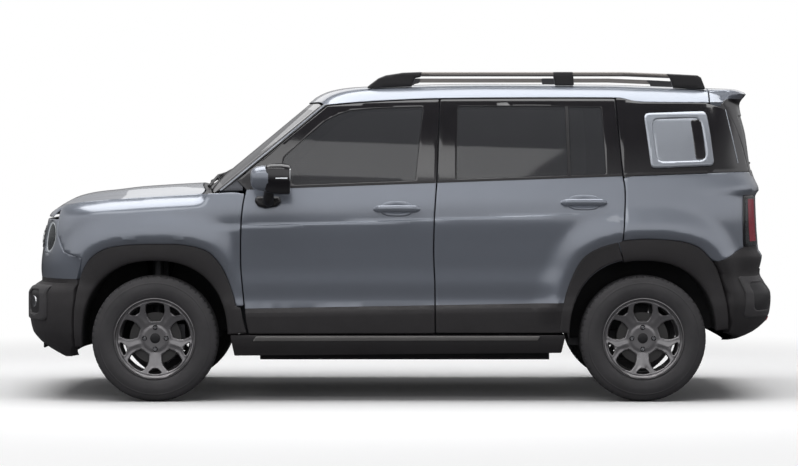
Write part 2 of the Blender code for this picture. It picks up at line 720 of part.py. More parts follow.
def turned_point(u, z, reach, power):
    """Distance ahead of the axle and half width of a place on the nose or tail."""
    angle = min(u, 2.0 - u) * math.pi / 2
    s, c = max(0.0, math.sin(angle)), max(0.0, math.cos(angle))
    radius = (s ** power + c ** power) ** (-1.0 / power)
    return reach * radius * s, half_width(z) * radius * c * (1.0 if u <= 1.0 else -1.0)


def wall_turn(u):
    """How much of a wall's thickness runs along the car, and how much across it."""
    turn = min(u, 2.0 - u)
    along, wide = clamped(turn / 0.45), clamped((0.56 - turn) / 0.26)
    return along, (wide if u <= 1.0 else -wide)


def tailgate_half(z):
    return across(TAILGATE_HALF_LOW, TAILGATE_HALF_HIGH, clamped((z - LAMP_TOP_Z) / (WINDOW_TOP_Z - LAMP_TOP_Z)))


def tail_lift(wall, proud=0.0, thin=None):
    """Bends a panel round the left rear corner, from the side to the tail's middle and on."""
    def lift(u, z, inner):
        reach = tail_x(z) - REAR_AXLE_X
        ahead, y = (u * 2 * reach, half_width(z)) if u <= 0 else turned_point(u, z, reach, REAR_POWER)
        along = wall_turn(max(u, 0.0))[0]
        wide = clamped((abs(y) - tailgate_half(z) - SHUT_GAP) / TAIL_WALL_FADE)
        deep = wall if thin is None else across(wall(REAR_AXLE_X + ahead, z), thin, clamped(u / 0.2))
        deep = deep if inner else -proud
        return (REAR_AXLE_X + ahead - deep * along, -(y - deep * math.copysign(wide, y)), z)
    return lift


def nose_lift(wall, proud=0.0):
    """Bends a panel round the nose: u 0 is the left side at the front axle, 1 the middle, 2 the right."""
    def lift(u, z, inner):
        ahead, y = turned_point(u, z, FRONT_AXLE_X - nose_x(z), FRONT_POWER)
        along, wide = wall_turn(u)
        deep = wall if inner else -proud
        return (FRONT_AXLE_X - ahead + deep * along, -(y - deep * wide), z)
    return lift


def whole(half):
    """A left half outline, from its top middle to its bottom middle, closed by its mirror image."""
    return half + [(2.0 - u, v) for u, v in reversed(half)]


QUARTER_TOP_GAP = 0.0015
TAIL_WALL_FADE = 0.060
WINDOW_TOP_Z = 1.400
ROOF_SEAT = 0.0035
TAILGATE_HALF_LOW = 0.600
TAILGATE_HALF_HIGH = 0.630
LAMP_TOP_Z = 1.080
LAMP_BOTTOM_Z = 0.812
LAMP_SIDE_X = 1.812
BUMPER_SEAM_X = 1.653
BUMPER_SEAM_Z = 0.736
TAILGATE_BOTTOM_Z = 0.692
CORNER_CUTS = (0.0, 0.12, 0.24, 0.34, 0.42, 0.49, 0.56)


QUARTER_LAST = 11


def quarter(name):
    low = 0.852
    loop = [tail_place(x=x + SHUT_GAP, z=z)
            for x, z in edge_up(rear_edge_x, REAR_EDGE_SHARES, low, 1.172, 0.0)]
    loop += [tail_place(x=x, z=belt_z(x) - QUARTER_TOP_GAP) for x in (1.28, 1.5, 1.7)]
    top = belt_z(1.78)
    loop += [tail_place(y=0.72, z=top), tail_place(y=tailgate_half(top) + SHUT_GAP, z=top),
             tail_place(y=TAILGATE_HALF_LOW + SHUT_GAP, z=1.12),
             tail_place(y=TAILGATE_HALF_LOW + SHUT_GAP, z=LAMP_TOP_Z + SEAT),
             tail_place(x=LAMP_SIDE_X, z=LAMP_TOP_Z + SEAT), tail_place(x=LAMP_SIDE_X, z=LAMP_BOTTOM_Z - 0.004)]
    loop += [tail_place(x=BUMPER_SEAM_X, z=BUMPER_SEAM_Z)]
    loop += [tail_place(x=x, z=z) for x, z in arch_points(REAR_AXLE_X, REAR_ARCH_SHARES, 1.0, QUARTER_LAST, 7)]
    cuts = lines([-0.1, *CORNER_CUTS], [0.86, 0.93, 1.0, 1.05, 1.12, belt_z(1.16) - PANEL_WALL, belt_z(1.16) - SEAT])

    def wall(x, z):
        return door_depth(z, x) + DOOR_BACK_GAP - 2 * SEAT
    return bent(name, [loop], cuts, tail_lift(wall, thin=PANEL_WALL), PAINT, 0.3, 0.6)


def pillar_panel(name):
    """Black panel over the quarter, from the rear door to the tailgate."""
    low = 1.174
    loop = [tail_place(x=x + SHUT_GAP, z=z)
            for x, z in edge_up(rear_edge_x, REAR_EDGE_SHARES, low, roof_edge_z(ROOF_EDGE_XS[5]) - ROOF_SEAT, 0.0)]
    for x in (ROOF_EDGE_XS[6], 1.36, 1.45, 1.55, 1.62):
        loop.append(tail_place(x=x, z=roof_edge_z(x) - ROOF_SEAT))
    loop += [tail_place(y=0.648, z=1.545)]
    loop += [tail_place(y=tailgate_half(z) + SHUT_GAP, z=z) for z in (1.52, 1.37, 1.25, belt_z(1.78) + QUARTER_TOP_GAP)]
    loop += [tail_place(x=x, z=belt_z(x) + QUARTER_TOP_GAP) for x in (1.7, 1.5, 1.28)]
    cuts = lines([-0.1, *CORNER_CUTS], [1.25, 1.35, 1.45, 1.52])
    return bent(name, [loop], cuts, tail_lift(DOOR_FRAME_WALL), GLOSS_BLACK, 0.15)


def tail_lamp(name):
    loop = [tail_place(x=LAMP_SIDE_X + SEAT * 2, z=LAMP_TOP_Z - SEAT), tail_place(y=TAILGATE_HALF_LOW + SHUT_GAP, z=LAMP_TOP_Z - SEAT),
            tail_place(y=TAILGATE_HALF_LOW + SHUT_GAP, z=LAMP_BOTTOM_Z), tail_place(x=LAMP_SIDE_X + SEAT * 2, z=LAMP_BOTTOM_Z)]
    return bent(name, [loop], lines(CORNER_CUTS, [0.9, 1.0]), tail_lift(0.06, 0.004), LAMP_RED, 0.2)


def rear_bumper():
    top = LAMP_BOTTOM_Z - 2 * SEAT
    half = [(1.0, TAILGATE_BOTTOM_Z - SHUT_GAP), tail_place(y=0.3, z=TAILGATE_BOTTOM_Z - SHUT_GAP),
            tail_place(y=TAILGATE_HALF_LOW, z=TAILGATE_BOTTOM_Z - SHUT_GAP),
            tail_place(y=TAILGATE_HALF_LOW + SHUT_GAP, z=top), tail_place(x=LAMP_SIDE_X + 3 * SEAT, z=top),
            tail_place(x=LAMP_SIDE_X + 3 * SEAT, z=LAMP_BOTTOM_Z - 0.0045),
            tail_place(x=BUMPER_SEAM_X, z=BUMPER_SEAM_Z - 2 * SEAT)]
    half += [tail_place(x=1.690, z=0.669), tail_place(x=1.706, z=0.602), tail_place(x=1.722, z=0.519),
             tail_place(x=1.735, z=0.447), tail_place(x=1.735, z=0.36), tail_place(x=1.80, z=0.325),
             tail_place(y=0.6, z=0.31), (1.0, 0.31)]
    cuts = lines([*CORNER_CUTS[1:], 0.7, 0.85, 1.0, 1.15, 1.3, *(2.0 - u for u in CORNER_CUTS[1:])],
                 [0.385, 0.43, 0.535, 0.565, 0.615, 0.66, 0.73])
    return bent("rear_bumper", [whole(half)], cuts, tail_lift(BUMPER_WALL), CLADDING, 0.7)


HEADLAMP_Y = 0.610
HEADLAMP_Z = 0.858
HEADLAMP_RADIUS = 0.088
BUMPER_TOP_Z = 0.640
BONNET_CUT_Z = 0.962


def lamp_ring(radius, steps=20):
    """A round opening for a headlamp on the nose."""
    ring = []
    for i in range(steps):
        angle = 2 * math.pi * i / steps
        ring.append(nose_place(y=HEADLAMP_Y + radius * math.cos(angle), z=HEADLAMP_Z + radius * math.sin(angle)))
    return ring


NOSE_CUTS_HALF = (0.42, 0.47, 0.52, 0.57, 0.62, 0.70, 0.82)
NOSE_CUTS = (*NOSE_CUTS_HALF, 1.0, *(2.0 - u for u in NOSE_CUTS_HALF))
NOSE_GAP = 0.0008
NOSE_TOP_Z = 0.953


def nose_panel():
    top = NOSE_TOP_Z
    half = [(1.0, top), nose_place(y=0.45, z=top), nose_place(x=FRONT_SEAM[0][0] - 4 * NOSE_GAP, z=top)]
    half += [nose_place(x=x - NOSE_GAP, z=z - NOSE_GAP) for x, z in FRONT_SEAM[1:]]
    half += [nose_place(x=-1.676, z=0.70), nose_place(x=-1.694, z=BUMPER_TOP_Z + 2 * SEAT), (1.0, BUMPER_TOP_Z + 2 * SEAT)]
    left = lamp_ring(HEADLAMP_RADIUS)
    right = [(2.0 - u, v) for u, v in left]
    cuts = lines(NOSE_CUTS, FRONT_LEVELS)
    return bent("nose_panel", [whole(half), left, right], cuts, nose_lift(PANEL_WALL), PAINT, 0.3, 0.6)


def headlamp(name):
    cuts = lines(NOSE_CUTS, FRONT_LEVELS)
    return bent(name, [lamp_ring(HEADLAMP_RADIUS - 0.0008)], cuts, nose_lift(0.06, 0.006), LAMP, 0.1)


def front_bumper():
    top = BUMPER_TOP_Z
    half = [(1.0, top), nose_place(x=-1.694, z=top), nose_place(x=-1.708, z=0.555), nose_place(x=-1.7175, z=0.47),
            nose_place(x=-1.7175, z=0.36), nose_place(x=-1.7175, z=0.29), nose_place(y=0.70, z=0.235),
            nose_place(y=0.5, z=0.215), (1.0, 0.21)]
    intake = [nose_place(y=0.46, z=0.36), nose_place(y=0.40, z=0.30)]
    intake += [(2.0 - u, v) for u, v in reversed(intake)]
    intake += [(2.0 - u, v) for u, v in [nose_place(y=0.44, z=0.43)]] + [nose_place(y=0.44, z=0.43)]
    cuts = lines(NOSE_CUTS, [0.26, 0.30, 0.36, 0.425, 0.49, 0.555, 0.59, 0.62])
    return bent("front_bumper", [whole(half), intake], cuts, nose_lift(BUMPER_WALL), CLADDING, 0.7)


# Roof, bonnet, cowl, screens
RAIL_Y = 0.585
EAR_LOW_Y = 0.40
EAR_HIGH_Y = 0.44
EAR_LENGTH = 0.040
RAIL_THICK = 0.028
ROOF_Y_CUTS = (0.25, 0.50, RAIL_Y - RAIL_THICK / 2, RAIL_Y + RAIL_THICK / 2, 0.64)


def mirrored_loop(half):
    """A plan outline from its half at negative y, in order, closed by its mirror image."""
    return half + [(x, -y) for x, y in reversed(half)]


def roof_panel():
    half = []
    for share in (0.0, 0.35, 0.65, 0.85, 1.0):
        x = ROOF_FRONT_X + WINDSCREEN_BOW * share ** 2 + SEAT * 2
        half.append((x, -share * side_y(x, roof_edge_z(x))))
    for x in (*ROOF_EDGE_XS[1:-1], 1.45, 1.55, ROOF_REAR_X):
        half.append((x, -side_y(x, roof_edge_z(x))))
    half += [(ROOF_REAR_X, -EAR_HIGH_Y - SEAT), (ROOF_REAR_X - EAR_LENGTH, -EAR_HIGH_Y - SEAT),
             (ROOF_REAR_X - EAR_LENGTH, -EAR_LOW_Y + SEAT), (ROOF_REAR_X, -EAR_LOW_Y + SEAT)]
    loop = mirrored_loop(half[1:])
    loop.insert(0, half[0])
    cuts = lines([-0.44, -0.364, *ROOF_EDGE_XS[1:-1], 0.5, 1.45],
                 [side * y for y in ROOF_Y_CUTS for side in (-1, 1)] + [0.0])

    def lift(x, y, inner):
        share = clamped(abs(y) / side_y(x, roof_edge_z(x)))
        ahead = x - WINDSCREEN_BOW * share ** 2 - ROOF_FRONT_X
        fade = max(0.12, min(clamped((1.0 - share) / 0.05), clamped(ahead / 0.03)))
        return (x, y, roof_z(x, y) - (ROOF_WALL * fade if inner else 0.0))
    return bent("roof_panel", [loop], cuts, lift, PAINT, 0.3, 0.6)


RAIL_TOP_Z = 1.735
RAIL_BAR = 0.022


def roof_rail(name):
    """A raised bar on three feet, cut from one plate."""
    def seat(x):
        return roof_z(x, RAIL_Y - RAIL_THICK / 2) + SEAT * 3
    under = RAIL_TOP_Z - RAIL_BAR
    loop = [(-0.165, seat(-0.165)), (-0.150, RAIL_TOP_Z - 0.060), (-0.06, RAIL_TOP_Z - 0.010), (0.10, RAIL_TOP_Z),
            (1.20, RAIL_TOP_Z), (1.52, RAIL_TOP_Z - 0.012), (1.60, RAIL_TOP_Z - 0.050), (1.615, seat(1.615)),
            (1.45, seat(1.45)), (1.42, under - 0.008), (0.97, under), (0.93, seat(0.93)), (0.83, seat(0.83)),
            (0.80, under), (0.14, under), (0.06, under - 0.006), (0.0, seat(0.0))]

    def lift(x, z, inner):
        return (x, -RAIL_Y + (RAIL_THICK / 2 if inner else -RAIL_THICK / 2), z)
    return bent(name, [loop], lines([0.3, 0.55, 1.2], []), lift, STEEL, 0.4, 0.8)


def bonnet_back_x(y):
    """The bonnet's rear edge, bowed as the windscreen is."""
    return BONNET_BACK_X + WINDSCREEN_BOW * read_table(BONNET_BACK_SHARES, abs(y) / HALF_WIDTH)


def bonnet():
    half = [(BONNET_NOSE_X + 0.004, 0.0)]
    for y in (0.25, 0.45, 0.54):
        half.append((max(front_x(y, BONNET_CUT_Z) + 0.004, BONNET_NOSE_X + 0.004), -y))
    corner = bonnet_side_y(FENDER_TOP_XS[-1])
    half.append((front_x(corner, BONNET_CUT_Z) + 0.004, -corner))
    for x in reversed(FENDER_TOP_XS[3:]):
        half.append((x, -bonnet_side_y(x)))
    corner = bonnet_side_y(SHOULDER_START_X)
    for y in (corner, *(share * HALF_WIDTH for share, _ in reversed(BONNET_BACK_SHARES[:-1]))):
        half.append((bonnet_back_x(y), -y))
    loop = half + [(x, -y) for x, y in reversed(half[1:-1])]
    cuts = lines([-1.86, *FENDER_TOP_XS[3:]], [side * y for y in (0.25, 0.45, 0.6, 0.7) for side in (-1, 1)] + [0.0])

    def lift(x, y, inner):
        fade = max(0.28, clamped((x - front_x(y, BONNET_CUT_Z)) / 0.08))
        return (x, y, bonnet_z(x, y) - (BONNET_WALL * fade if inner else 0.0))
    return bent("bonnet", [loop], cuts, lift, PAINT, 0.3, 0.6)


def windscreen_half(z):
    return side_y(pillar_x(z), z) - 0.012


def windscreen_base(y):
    """Place along the car of the windscreen's lower edge."""
    share = y / windscreen_half(WINDSCREEN_BASE_Z - WINDSCREEN_SAG)
    return windscreen_x(WINDSCREEN_BASE_Z - WINDSCREEN_SAG * share ** 2) + WINDSCREEN_BOW * share ** 2


def cowl_z(x, y):
    return bonnet_z(x, y) - 0.004


def cowl():
    corner = bonnet_side_y(SHOULDER_START_X)
    half = []
    for y in (*(share * HALF_WIDTH for share, _ in BONNET_BACK_SHARES[:-1]), corner):
        half.append((bonnet_back_x(y) + SHUT_GAP, -y))
    for x in (bonnet_back_x(corner) + SHUT_GAP, SHOULDER_END_X, COWL_BACK_X):
        half.append((x, -(bonnet_side_y(x) + SHUT_GAP - 3 * SEAT)))
    half += [(windscreen_base(y) - 0.004, -y) for y in (0.78, 0.66, 0.5, 0.25, 0.0)]
    loop = half + [(x, -y) for x, y in reversed(half[1:-1])]

    def lift(x, y, inner):
        return (x, y, cowl_z(x, y) - (COWL_WALL if inner else 0.0))
    return bent("cowl", [loop], lines([], [-0.6, -0.5, -0.25, 0.0, 0.25, 0.5, 0.6]), lift, GLOSS_BLACK, 0.6)


def windscreen():
    """Bowed glass between the pillars: u is the share of the half width, v the height."""
    low, high = WINDSCREEN_BASE_Z, WINDSCREEN_TOP_Z
    loop = [(-1.0, low), (1.0, low), (1.0, high), (-1.0, high)]

    def lift(u, v, inner):
        share = (v - low) / (high - low)
        crown = ROOF_FRONT_SAG * read_table(ROOF_SECTION_SHARES, abs(u))
        z = v - WINDSCREEN_SAG * u * u * (1.0 - share) - crown * share
        x = windscreen_x(z) + WINDSCREEN_BOW * u * u
        return (x + (GLASS_WALL if inner else 0.0), u * windscreen_half(z), z)
    cuts = lines([-0.85, -0.65, -0.35, 0.0, 0.35, 0.65, 0.85], [1.25, 1.35, 1.45])
    return bent("windscreen", [loop], cuts, lift, GLASS, 0.05)


# Tailgate: outer and inner line from the roof over the spoiler and down, (x, z) as places
TAILGATE_OUTER = ((1.648, 1.660), (1.72, 1.656), (1.806, 1.650), (1.855, 1.637), (1.882, 1.621), (1.858, 1.592),
                  (1.844, 1.565), (1.876, 1.404), (1.898, 1.230), (1.914, 1.176), (1.941, 1.107), (1.921, 1.076),
                  (1.937, 0.792), (1.958, 0.755), (1.946, 0.692))
TAILGATE_INNER = ((1.648, 1.630), (1.70, 1.626), (1.76, 1.618), (1.785, 1.606), (1.79, 1.59), (1.79, 1.575),
                  (1.792, 1.555), (1.816, 1.404), (1.838, 1.230), (1.846, 1.176), (1.85, 1.107), (1.85, 1.076),
                  (1.85, 0.792), (1.85, 0.755), (1.85, 0.692))


def tailgate_place(y, s, inner):
    """A point on the tailgate: s runs down the table of places, one unit a row."""
    table = TAILGATE_INNER if inner else TAILGATE_OUTER
    s = min(max(s, 0.0), len(table) - 1.0)
    i = min(int(s), len(table) - 2)
    x = across(table[i][0], table[i + 1][0], s - i)
    z = across(table[i][1], table[i + 1][1], s - i)
    share = clamped(abs(y) / half_width(z)) ** REAR_POWER
    bowed = REAR_AXLE_X + (x - REAR_AXLE_X) * (1.0 - share) ** (1.0 / REAR_POWER)
    top = clamped((4.0 - s) / 4.0)
    sag = roof_z(ROOF_REAR_X, 0.0) - roof_z(ROOF_REAR_X, y)
    return (across(bowed, x, top), y, z - sag * top)


GLASS_TOP_S = 6.4
GLASS_LOW_S = 8.3


def tailgate_window(shrink=0.0):
    top, low = GLASS_TOP_S + shrink * 8, GLASS_LOW_S - shrink * 8
    return [(-0.56 + shrink, top), (-0.565 + shrink, low), (0.565 - shrink, low), (0.56 - shrink, top)]


def tailgate():
    high, low, ear_front = TAILGATE_HALF_HIGH, TAILGATE_HALF_LOW, -EAR_LENGTH
    last = len(TAILGATE_OUTER) - 1.0
    half = [(-0.02, 0.0), (-EAR_LOW_Y, 0.0), (-EAR_HIGH_Y, 0.0), (-0.60, 0.0), (-0.60, 4.0),
            (-0.605, 5.0), (-high, 6.0), (-high, 7.0)]
    half += [(-tailgate_half(TAILGATE_OUTER[row][1]), float(row)) for row in (8, 9, 10, 11)] + [(-low, last)]
    loop = half[1:] + [(-y, s) for y, s in reversed(half[1:])]
    cuts = lines([-0.45, -0.2, 0.0, 0.2, 0.45], [float(i) for i in range(1, len(TAILGATE_OUTER) - 1)])

    def lift(y, s, inner):
        return tailgate_place(y, s, inner)
    shell = bent("tailgate_shell", [loop, tailgate_window()], cuts, lift, PAINT)
    pieces = [shell]
    for side in (-1, 1):
        a, b = sorted((side * EAR_LOW_Y, side * EAR_HIGH_Y))
        top = roof_z(ROOF_REAR_X, (a + b) / 2)
        pieces.append(block("ear", (ROOF_REAR_X - EAR_LENGTH + SHUT_GAP, a, top - 0.026),
                            (ROOF_REAR_X + EAR_LENGTH, b, top - 0.006)))
    return joined("tailgate", pieces, PAINT, 0.3, 0.6)


def tailgate_glass():
    def lift(y, s, inner):
        x, across_y, z = tailgate_place(y, s, False)
        return (x - GLASS_INSET - (GLASS_WALL if inner else 0.0), across_y, z)
    return bent("tailgate_glass", [tailgate_window(0.002)], lines([-0.45, -0.2, 0.0, 0.2, 0.45], [7.0, 8.0]),
                lift, GLASS, 0.05)


# Inner structure
FRAME_BOTTOM_Z = 0.270
APERTURE_LOW_Z = 0.440


PILLAR_BASE_Z = 1.108
PILLAR_BASE_X = -0.812
FENDER_ZONE_X = -0.838
FRAME_RAMP = 0.006


def frame_depth(x, z):
    """How far the side frame's outer face lies inside the body's surface."""
    door = door_depth(z, x) + DOOR_BACK_GAP
    if z <= PILLAR_BASE_Z - FRAME_RAMP:
        ahead = clamped((FENDER_ZONE_X - x) / FRAME_RAMP) * clamped((z - FENDER_BOTTOM_Z) / FRAME_RAMP)
        return across(door, PANEL_WALL + 2 * SEAT, ahead)
    edge = max(pillar_x(z) + PILLAR_WIDTH - SHUT_GAP, PILLAR_BASE_X)
    return across(door, 0.002, clamped((edge - x) / FRAME_RAMP))


def side_frame(name):
    top = [(-0.375, 1.555)]
    for x in (-0.30, -0.076, 0.217, 0.6, 0.838, 1.148, 1.252, 1.45, 1.60):
        y = side_y(x, roof_edge_z(x)) - DOOR_FRAME_WALL - DOOR_BACK_GAP
        top.append((x, roof_z(x, y) - ROOF_WALL - 0.0007))
    front = [(pillar_x(z), z) for z in (PILLAR_BASE_Z, 1.25, 1.35, 1.45, 1.55)]
    rear = [(1.62, 1.50), (1.62, 1.2), (1.62, 0.90)]
    loop = [(-0.840, FRAME_BOTTOM_Z), (-0.840, 0.45), (-0.895, 0.56), (-0.905, 1.03), (-0.93, 1.095)] + front + top + rear
    loop += arch_points(REAR_AXLE_X, REAR_ARCH_SHARES, 0.62, 11, 1) + [(0.862, FRAME_BOTTOM_Z)]
    front_hole = [(-0.78, APERTURE_LOW_Z), (0.10, APERTURE_LOW_Z), (0.11, 1.10), (0.14, 1.555), (-0.20, 1.54),
                  (-0.34, 1.49), (-0.48, 1.36), (-0.66, 1.18), (-0.79, 1.04)]
    rear_hole = [(0.28, APERTURE_LOW_Z), (0.80, APERTURE_LOW_Z), (0.88, 0.74), (1.08, 0.90), (1.09, 1.20),
                 (1.06, 1.555), (0.31, 1.56), (0.29, 1.10)]
    load_hole = [(1.22, 1.22), (1.60, 1.22), (1.58, 1.52), (1.22, 1.53)]
    line_no = Vector((WINDSCREEN_TOP_Z - WINDSCREEN_BASE_Z, -(ROOF_FRONT_X - WINDSCREEN_BASE_X))).normalized()
    slant = [((pillar_x(1.3) + PILLAR_WIDTH - SHUT_GAP - d, 1.3), tuple(line_no)) for d in (0.0, FRAME_RAMP)]
    cuts = lines([FENDER_ZONE_X - FRAME_RAMP, FENDER_ZONE_X, PILLAR_BASE_X - FRAME_RAMP, PILLAR_BASE_X, 1.28, 1.45],
                 [0.36, FENDER_BOTTOM_Z, FENDER_BOTTOM_Z + FRAME_RAMP, *DOOR_LEVELS[2:], PILLAR_BASE_Z - FRAME_RAMP,
                  PILLAR_BASE_Z]) + slant + BELT_CUTS

    def lift(x, z, inner):
        depth = frame_depth(x, z)
        if not inner:
            return (x, -(side_y(x, z) - depth), z)
        return (x, -(side_y(x, z) - max(depth, DOOR_FRAME_WALL) - FRAME_WALL), z)
    return bent(name, [loop, front_hole, rear_hole, load_hole], cuts, lift, PAINT, 0.4)


FLOOR_TOP_Z = 0.330
FLOOR_WALL = 0.012
FLOOR_PATH = ((-1.06, 1.085), (-0.885, 1.060), (-0.875, 0.62), (-0.76, FLOOR_TOP_Z), (0.36, FLOOR_TOP_Z),
              (0.46, 0.44), (0.86, 0.46), (1.00, 0.58), (1.78, 0.62))
FLOOR_HALVES = (0.60, 0.60, 0.60, 0.6785, 0.6785, 0.6785, 0.60, 0.60, 0.58)


def floor_z(x):
    """Height of the cabin floor's top."""
    return read_table(FLOOR_PATH[3:], x)


def firewall_x(z):
    """The firewall's cabin side."""
    (high_x, high), (low_x, low) = FLOOR_PATH[1], FLOOR_PATH[2]
    return across(low_x, high_x, (z - low) / (high - low))


def floor_pan():
    """Firewall, floor, seat step and load floor: u is the row along the path, v the place across."""
    count = len(FLOOR_PATH)
    half = [(float(i), -FLOOR_HALVES[i]) for i in range(count)]
    loop = mirrored_loop(half)
    cuts = lines([float(i) for i in range(1, count - 1)], [])

    def lift(u, y, inner):
        i = min(max(int(u), 0), count - 2)
        x = across(FLOOR_PATH[i][0], FLOOR_PATH[i + 1][0], u - i)
        z = across(FLOOR_PATH[i][1], FLOOR_PATH[i + 1][1], u - i)
        if u < 1:
            shelf = BONNET_BACK_X + 2 * SHUT_GAP + WINDSCREEN_BOW * (y / HALF_WIDTH) ** 2
            x, z = across(shelf, x, u), across(cowl_z(shelf, y) - COWL_WALL - 2 * SEAT, z, u)
        steep = 1 <= u <= 3
        return (x - (FLOOR_WALL if inner and steep else 0.0), y, z - (FLOOR_WALL if inner else 0.0))
    return bent("floor_pan", [loop], cuts, lift, STEEL, 0.6)


def rocker(name):
    front, rear = -0.884, 0.872
    loop = [(front + 0.02, ROCKER_BOTTOM_Z), (rear - 0.02, ROCKER_BOTTOM_Z + 0.015), (rear, ROCKER_TOP_Z),
            (front, ROCKER_TOP_Z)]

    def lift(x, z, inner):
        deep = DOOR_WALL + DOOR_BACK_GAP - 2 * SEAT
        return (x, -(side_y(x, z) + (-deep if inner else CLAD_PROUD)), z)
    return bent(name, [loop], lines([-0.4, 0.0, 0.4], [FRAME_BOTTOM_Z, 0.3]), lift, CLADDING, 0.75)


BATTERY_LOW_Z = 0.205
RAIL_INNER_Y = 0.380
RAIL_OUTER_Y = 0.445
RAIL_END_X = -0.8447


def battery_pack():
    return finished(block("battery_pack", (-0.74, -0.60, BATTERY_LOW_Z), (0.80, 0.60, FLOOR_TOP_Z - FLOOR_WALL - SEAT)),
                    CLADDING, 0.6)


# Front end: kingpin line from the ball joint up to the strut's top, at the left
BALL_Y, BALL_Z = 0.716, 0.215
TOWER_Y, TOWER_Z = 0.585, 0.860
STOP_RADIUS = 0.010
STOP_Y = 0.450


def kingpin(share, side=-1.0):
    return Vector((FRONT_AXLE_X, side * across(BALL_Y, TOWER_Y, share), across(BALL_Z, TOWER_Z, share)))


def front_frame():
    pieces = []
    for side in (-1, 1):
        a, b = sorted((side * RAIL_INNER_Y, side * RAIL_OUTER_Y))
        pieces.append(block("rail", (-1.86, a, 0.40), (RAIL_END_X, b, 0.50)))
        pieces.append(block("post", (-1.30, a, 0.17), (-1.26, b, 0.45)))
        inner, outer = sorted((side * (RAIL_INNER_Y - 0.02), side * BALL_Y))
        pieces.append(block("arm", (FRONT_AXLE_X - 0.02, inner, 0.172), (FRONT_AXLE_X + 0.02, outer, 0.194)))
        low, high = kingpin(-0.045, side), kingpin(0.0, side)
        down = (low - high).normalized()
        pieces.append(rod("cup", high + down * SEAT, low, 0.019, 16))
        top = kingpin(1.0, side)
        pieces.append(rod("tower", top - down * SEAT, top - down * 0.04, 0.060, 16))
        a, b = sorted((side * RAIL_INNER_Y, side * (TOWER_Y + 0.04)))
        pieces.append(block("shelf", (-1.33, a, 0.875), (-1.23, b, 0.905)))
        a, b = sorted((side * RAIL_INNER_Y, side * RAIL_OUTER_Y))
        pieces.append(block("upright", (-1.32, a, 0.45), (-1.24, b, 0.90)))
        stop_y = side * STOP_Y
        under = bonnet_z(FRONT_AXLE_X, stop_y) - BONNET_WALL - 5 * SEAT
        pieces.append(rod("stop", (FRONT_AXLE_X, stop_y, 0.89), (FRONT_AXLE_X, stop_y, under), STOP_RADIUS, 12))
    pieces.append(block("cross", (-1.31, -RAIL_OUTER_Y, 0.170), (-1.25, RAIL_OUTER_Y, 0.210)))
    pieces.append(block("beam", (-1.90, -0.50, 0.42), (-1.85, 0.50, 0.50)))
    return joined("front_frame", pieces, STEEL, 0.6, 0.5)


def drive_unit():
    return finished(block("drive_unit", (-1.52, -RAIL_INNER_Y + SEAT, 0.30), (-0.98, RAIL_INNER_Y - SEAT, 0.78)), STEEL, 0.5, 0.5)


HUB_FACE_Y = 0.735


def knuckle(name):
    axle = Vector((FRONT_AXLE_X, 0.0, TYRE_RADIUS))
    hub = [rod("bearing", axle + Vector((0, -HUB_FACE_Y, 0)), axle + Vector((0, -0.665, 0)), 0.050, 16)]
    low = kingpin(0.0)
    hub.append(rod("ball", low, kingpin(0.30), 0.018, 12))
    strut_low = Vector((FRONT_AXLE_X, -0.600, 0.400))
    hub.append(block("bracket", (FRONT_AXLE_X - 0.025, -0.70, 0.36), (FRONT_AXLE_X + 0.025, -0.575, 0.42)))
    hub.append(rod("strut", strut_low, kingpin(0.95), 0.030, 14))
    hub.append(rod("strut_top", kingpin(0.93), kingpin(1.0), 0.036, 14))
    hub.append(block("calliper", (FRONT_AXLE_X + 0.085, -0.730, 0.290), (FRONT_AXLE_X + 0.150, -0.680, 0.400)))
    hub.append(block("calliper_arm", (FRONT_AXLE_X, -0.715, 0.315), (FRONT_AXLE_X + 0.10, -0.690, 0.350)))
    return joined(name, hub, STEEL, 0.5, 0.6)


PERCH_TOP_Z = 0.5794


def rear_axle():
    pieces = []
    for side in (-1, 1):
        a, b = sorted((side * 0.50, side * 0.56))
        pieces.append(block("trailing", (0.90, a, 0.28), (REAR_AXLE_X + 0.04, b, 0.36)))
        pieces.append(rod("spindle", (REAR_AXLE_X, side * 0.53, TYRE_RADIUS), (REAR_AXLE_X, side * HUB_FACE_Y, TYRE_RADIUS),
                          0.045, 16))
        a, b = sorted((side * 0.51, side * 0.55))
        pieces.append(block("perch", (REAR_AXLE_X - 0.05, a, 0.34), (REAR_AXLE_X + 0.05, b, PERCH_TOP_Z)))
    pieces.append(block("beam", (0.98, -0.55, 0.29), (1.08, 0.55, 0.35)))
    return joined("rear_axle", pieces, STEEL, 0.6, 0.5)


# Wheels. Profile points are (radius, place across the wheel); out is the outer side.
def tyre(name, centre):
    half = TYRE_WIDTH / 2
    profile = [(RIM_SEAT + SEAT, -0.0805), (0.222, -0.0925), (0.262, -half), (0.306, -0.095),
               (TYRE_RADIUS, -0.074), (TYRE_RADIUS, 0.074), (0.306, 0.095), (0.262, half),
               (0.222, 0.0925), (RIM_SEAT + SEAT, 0.0805)]
    return finished(turned(name, profile, centre), RUBBER, 0.8)


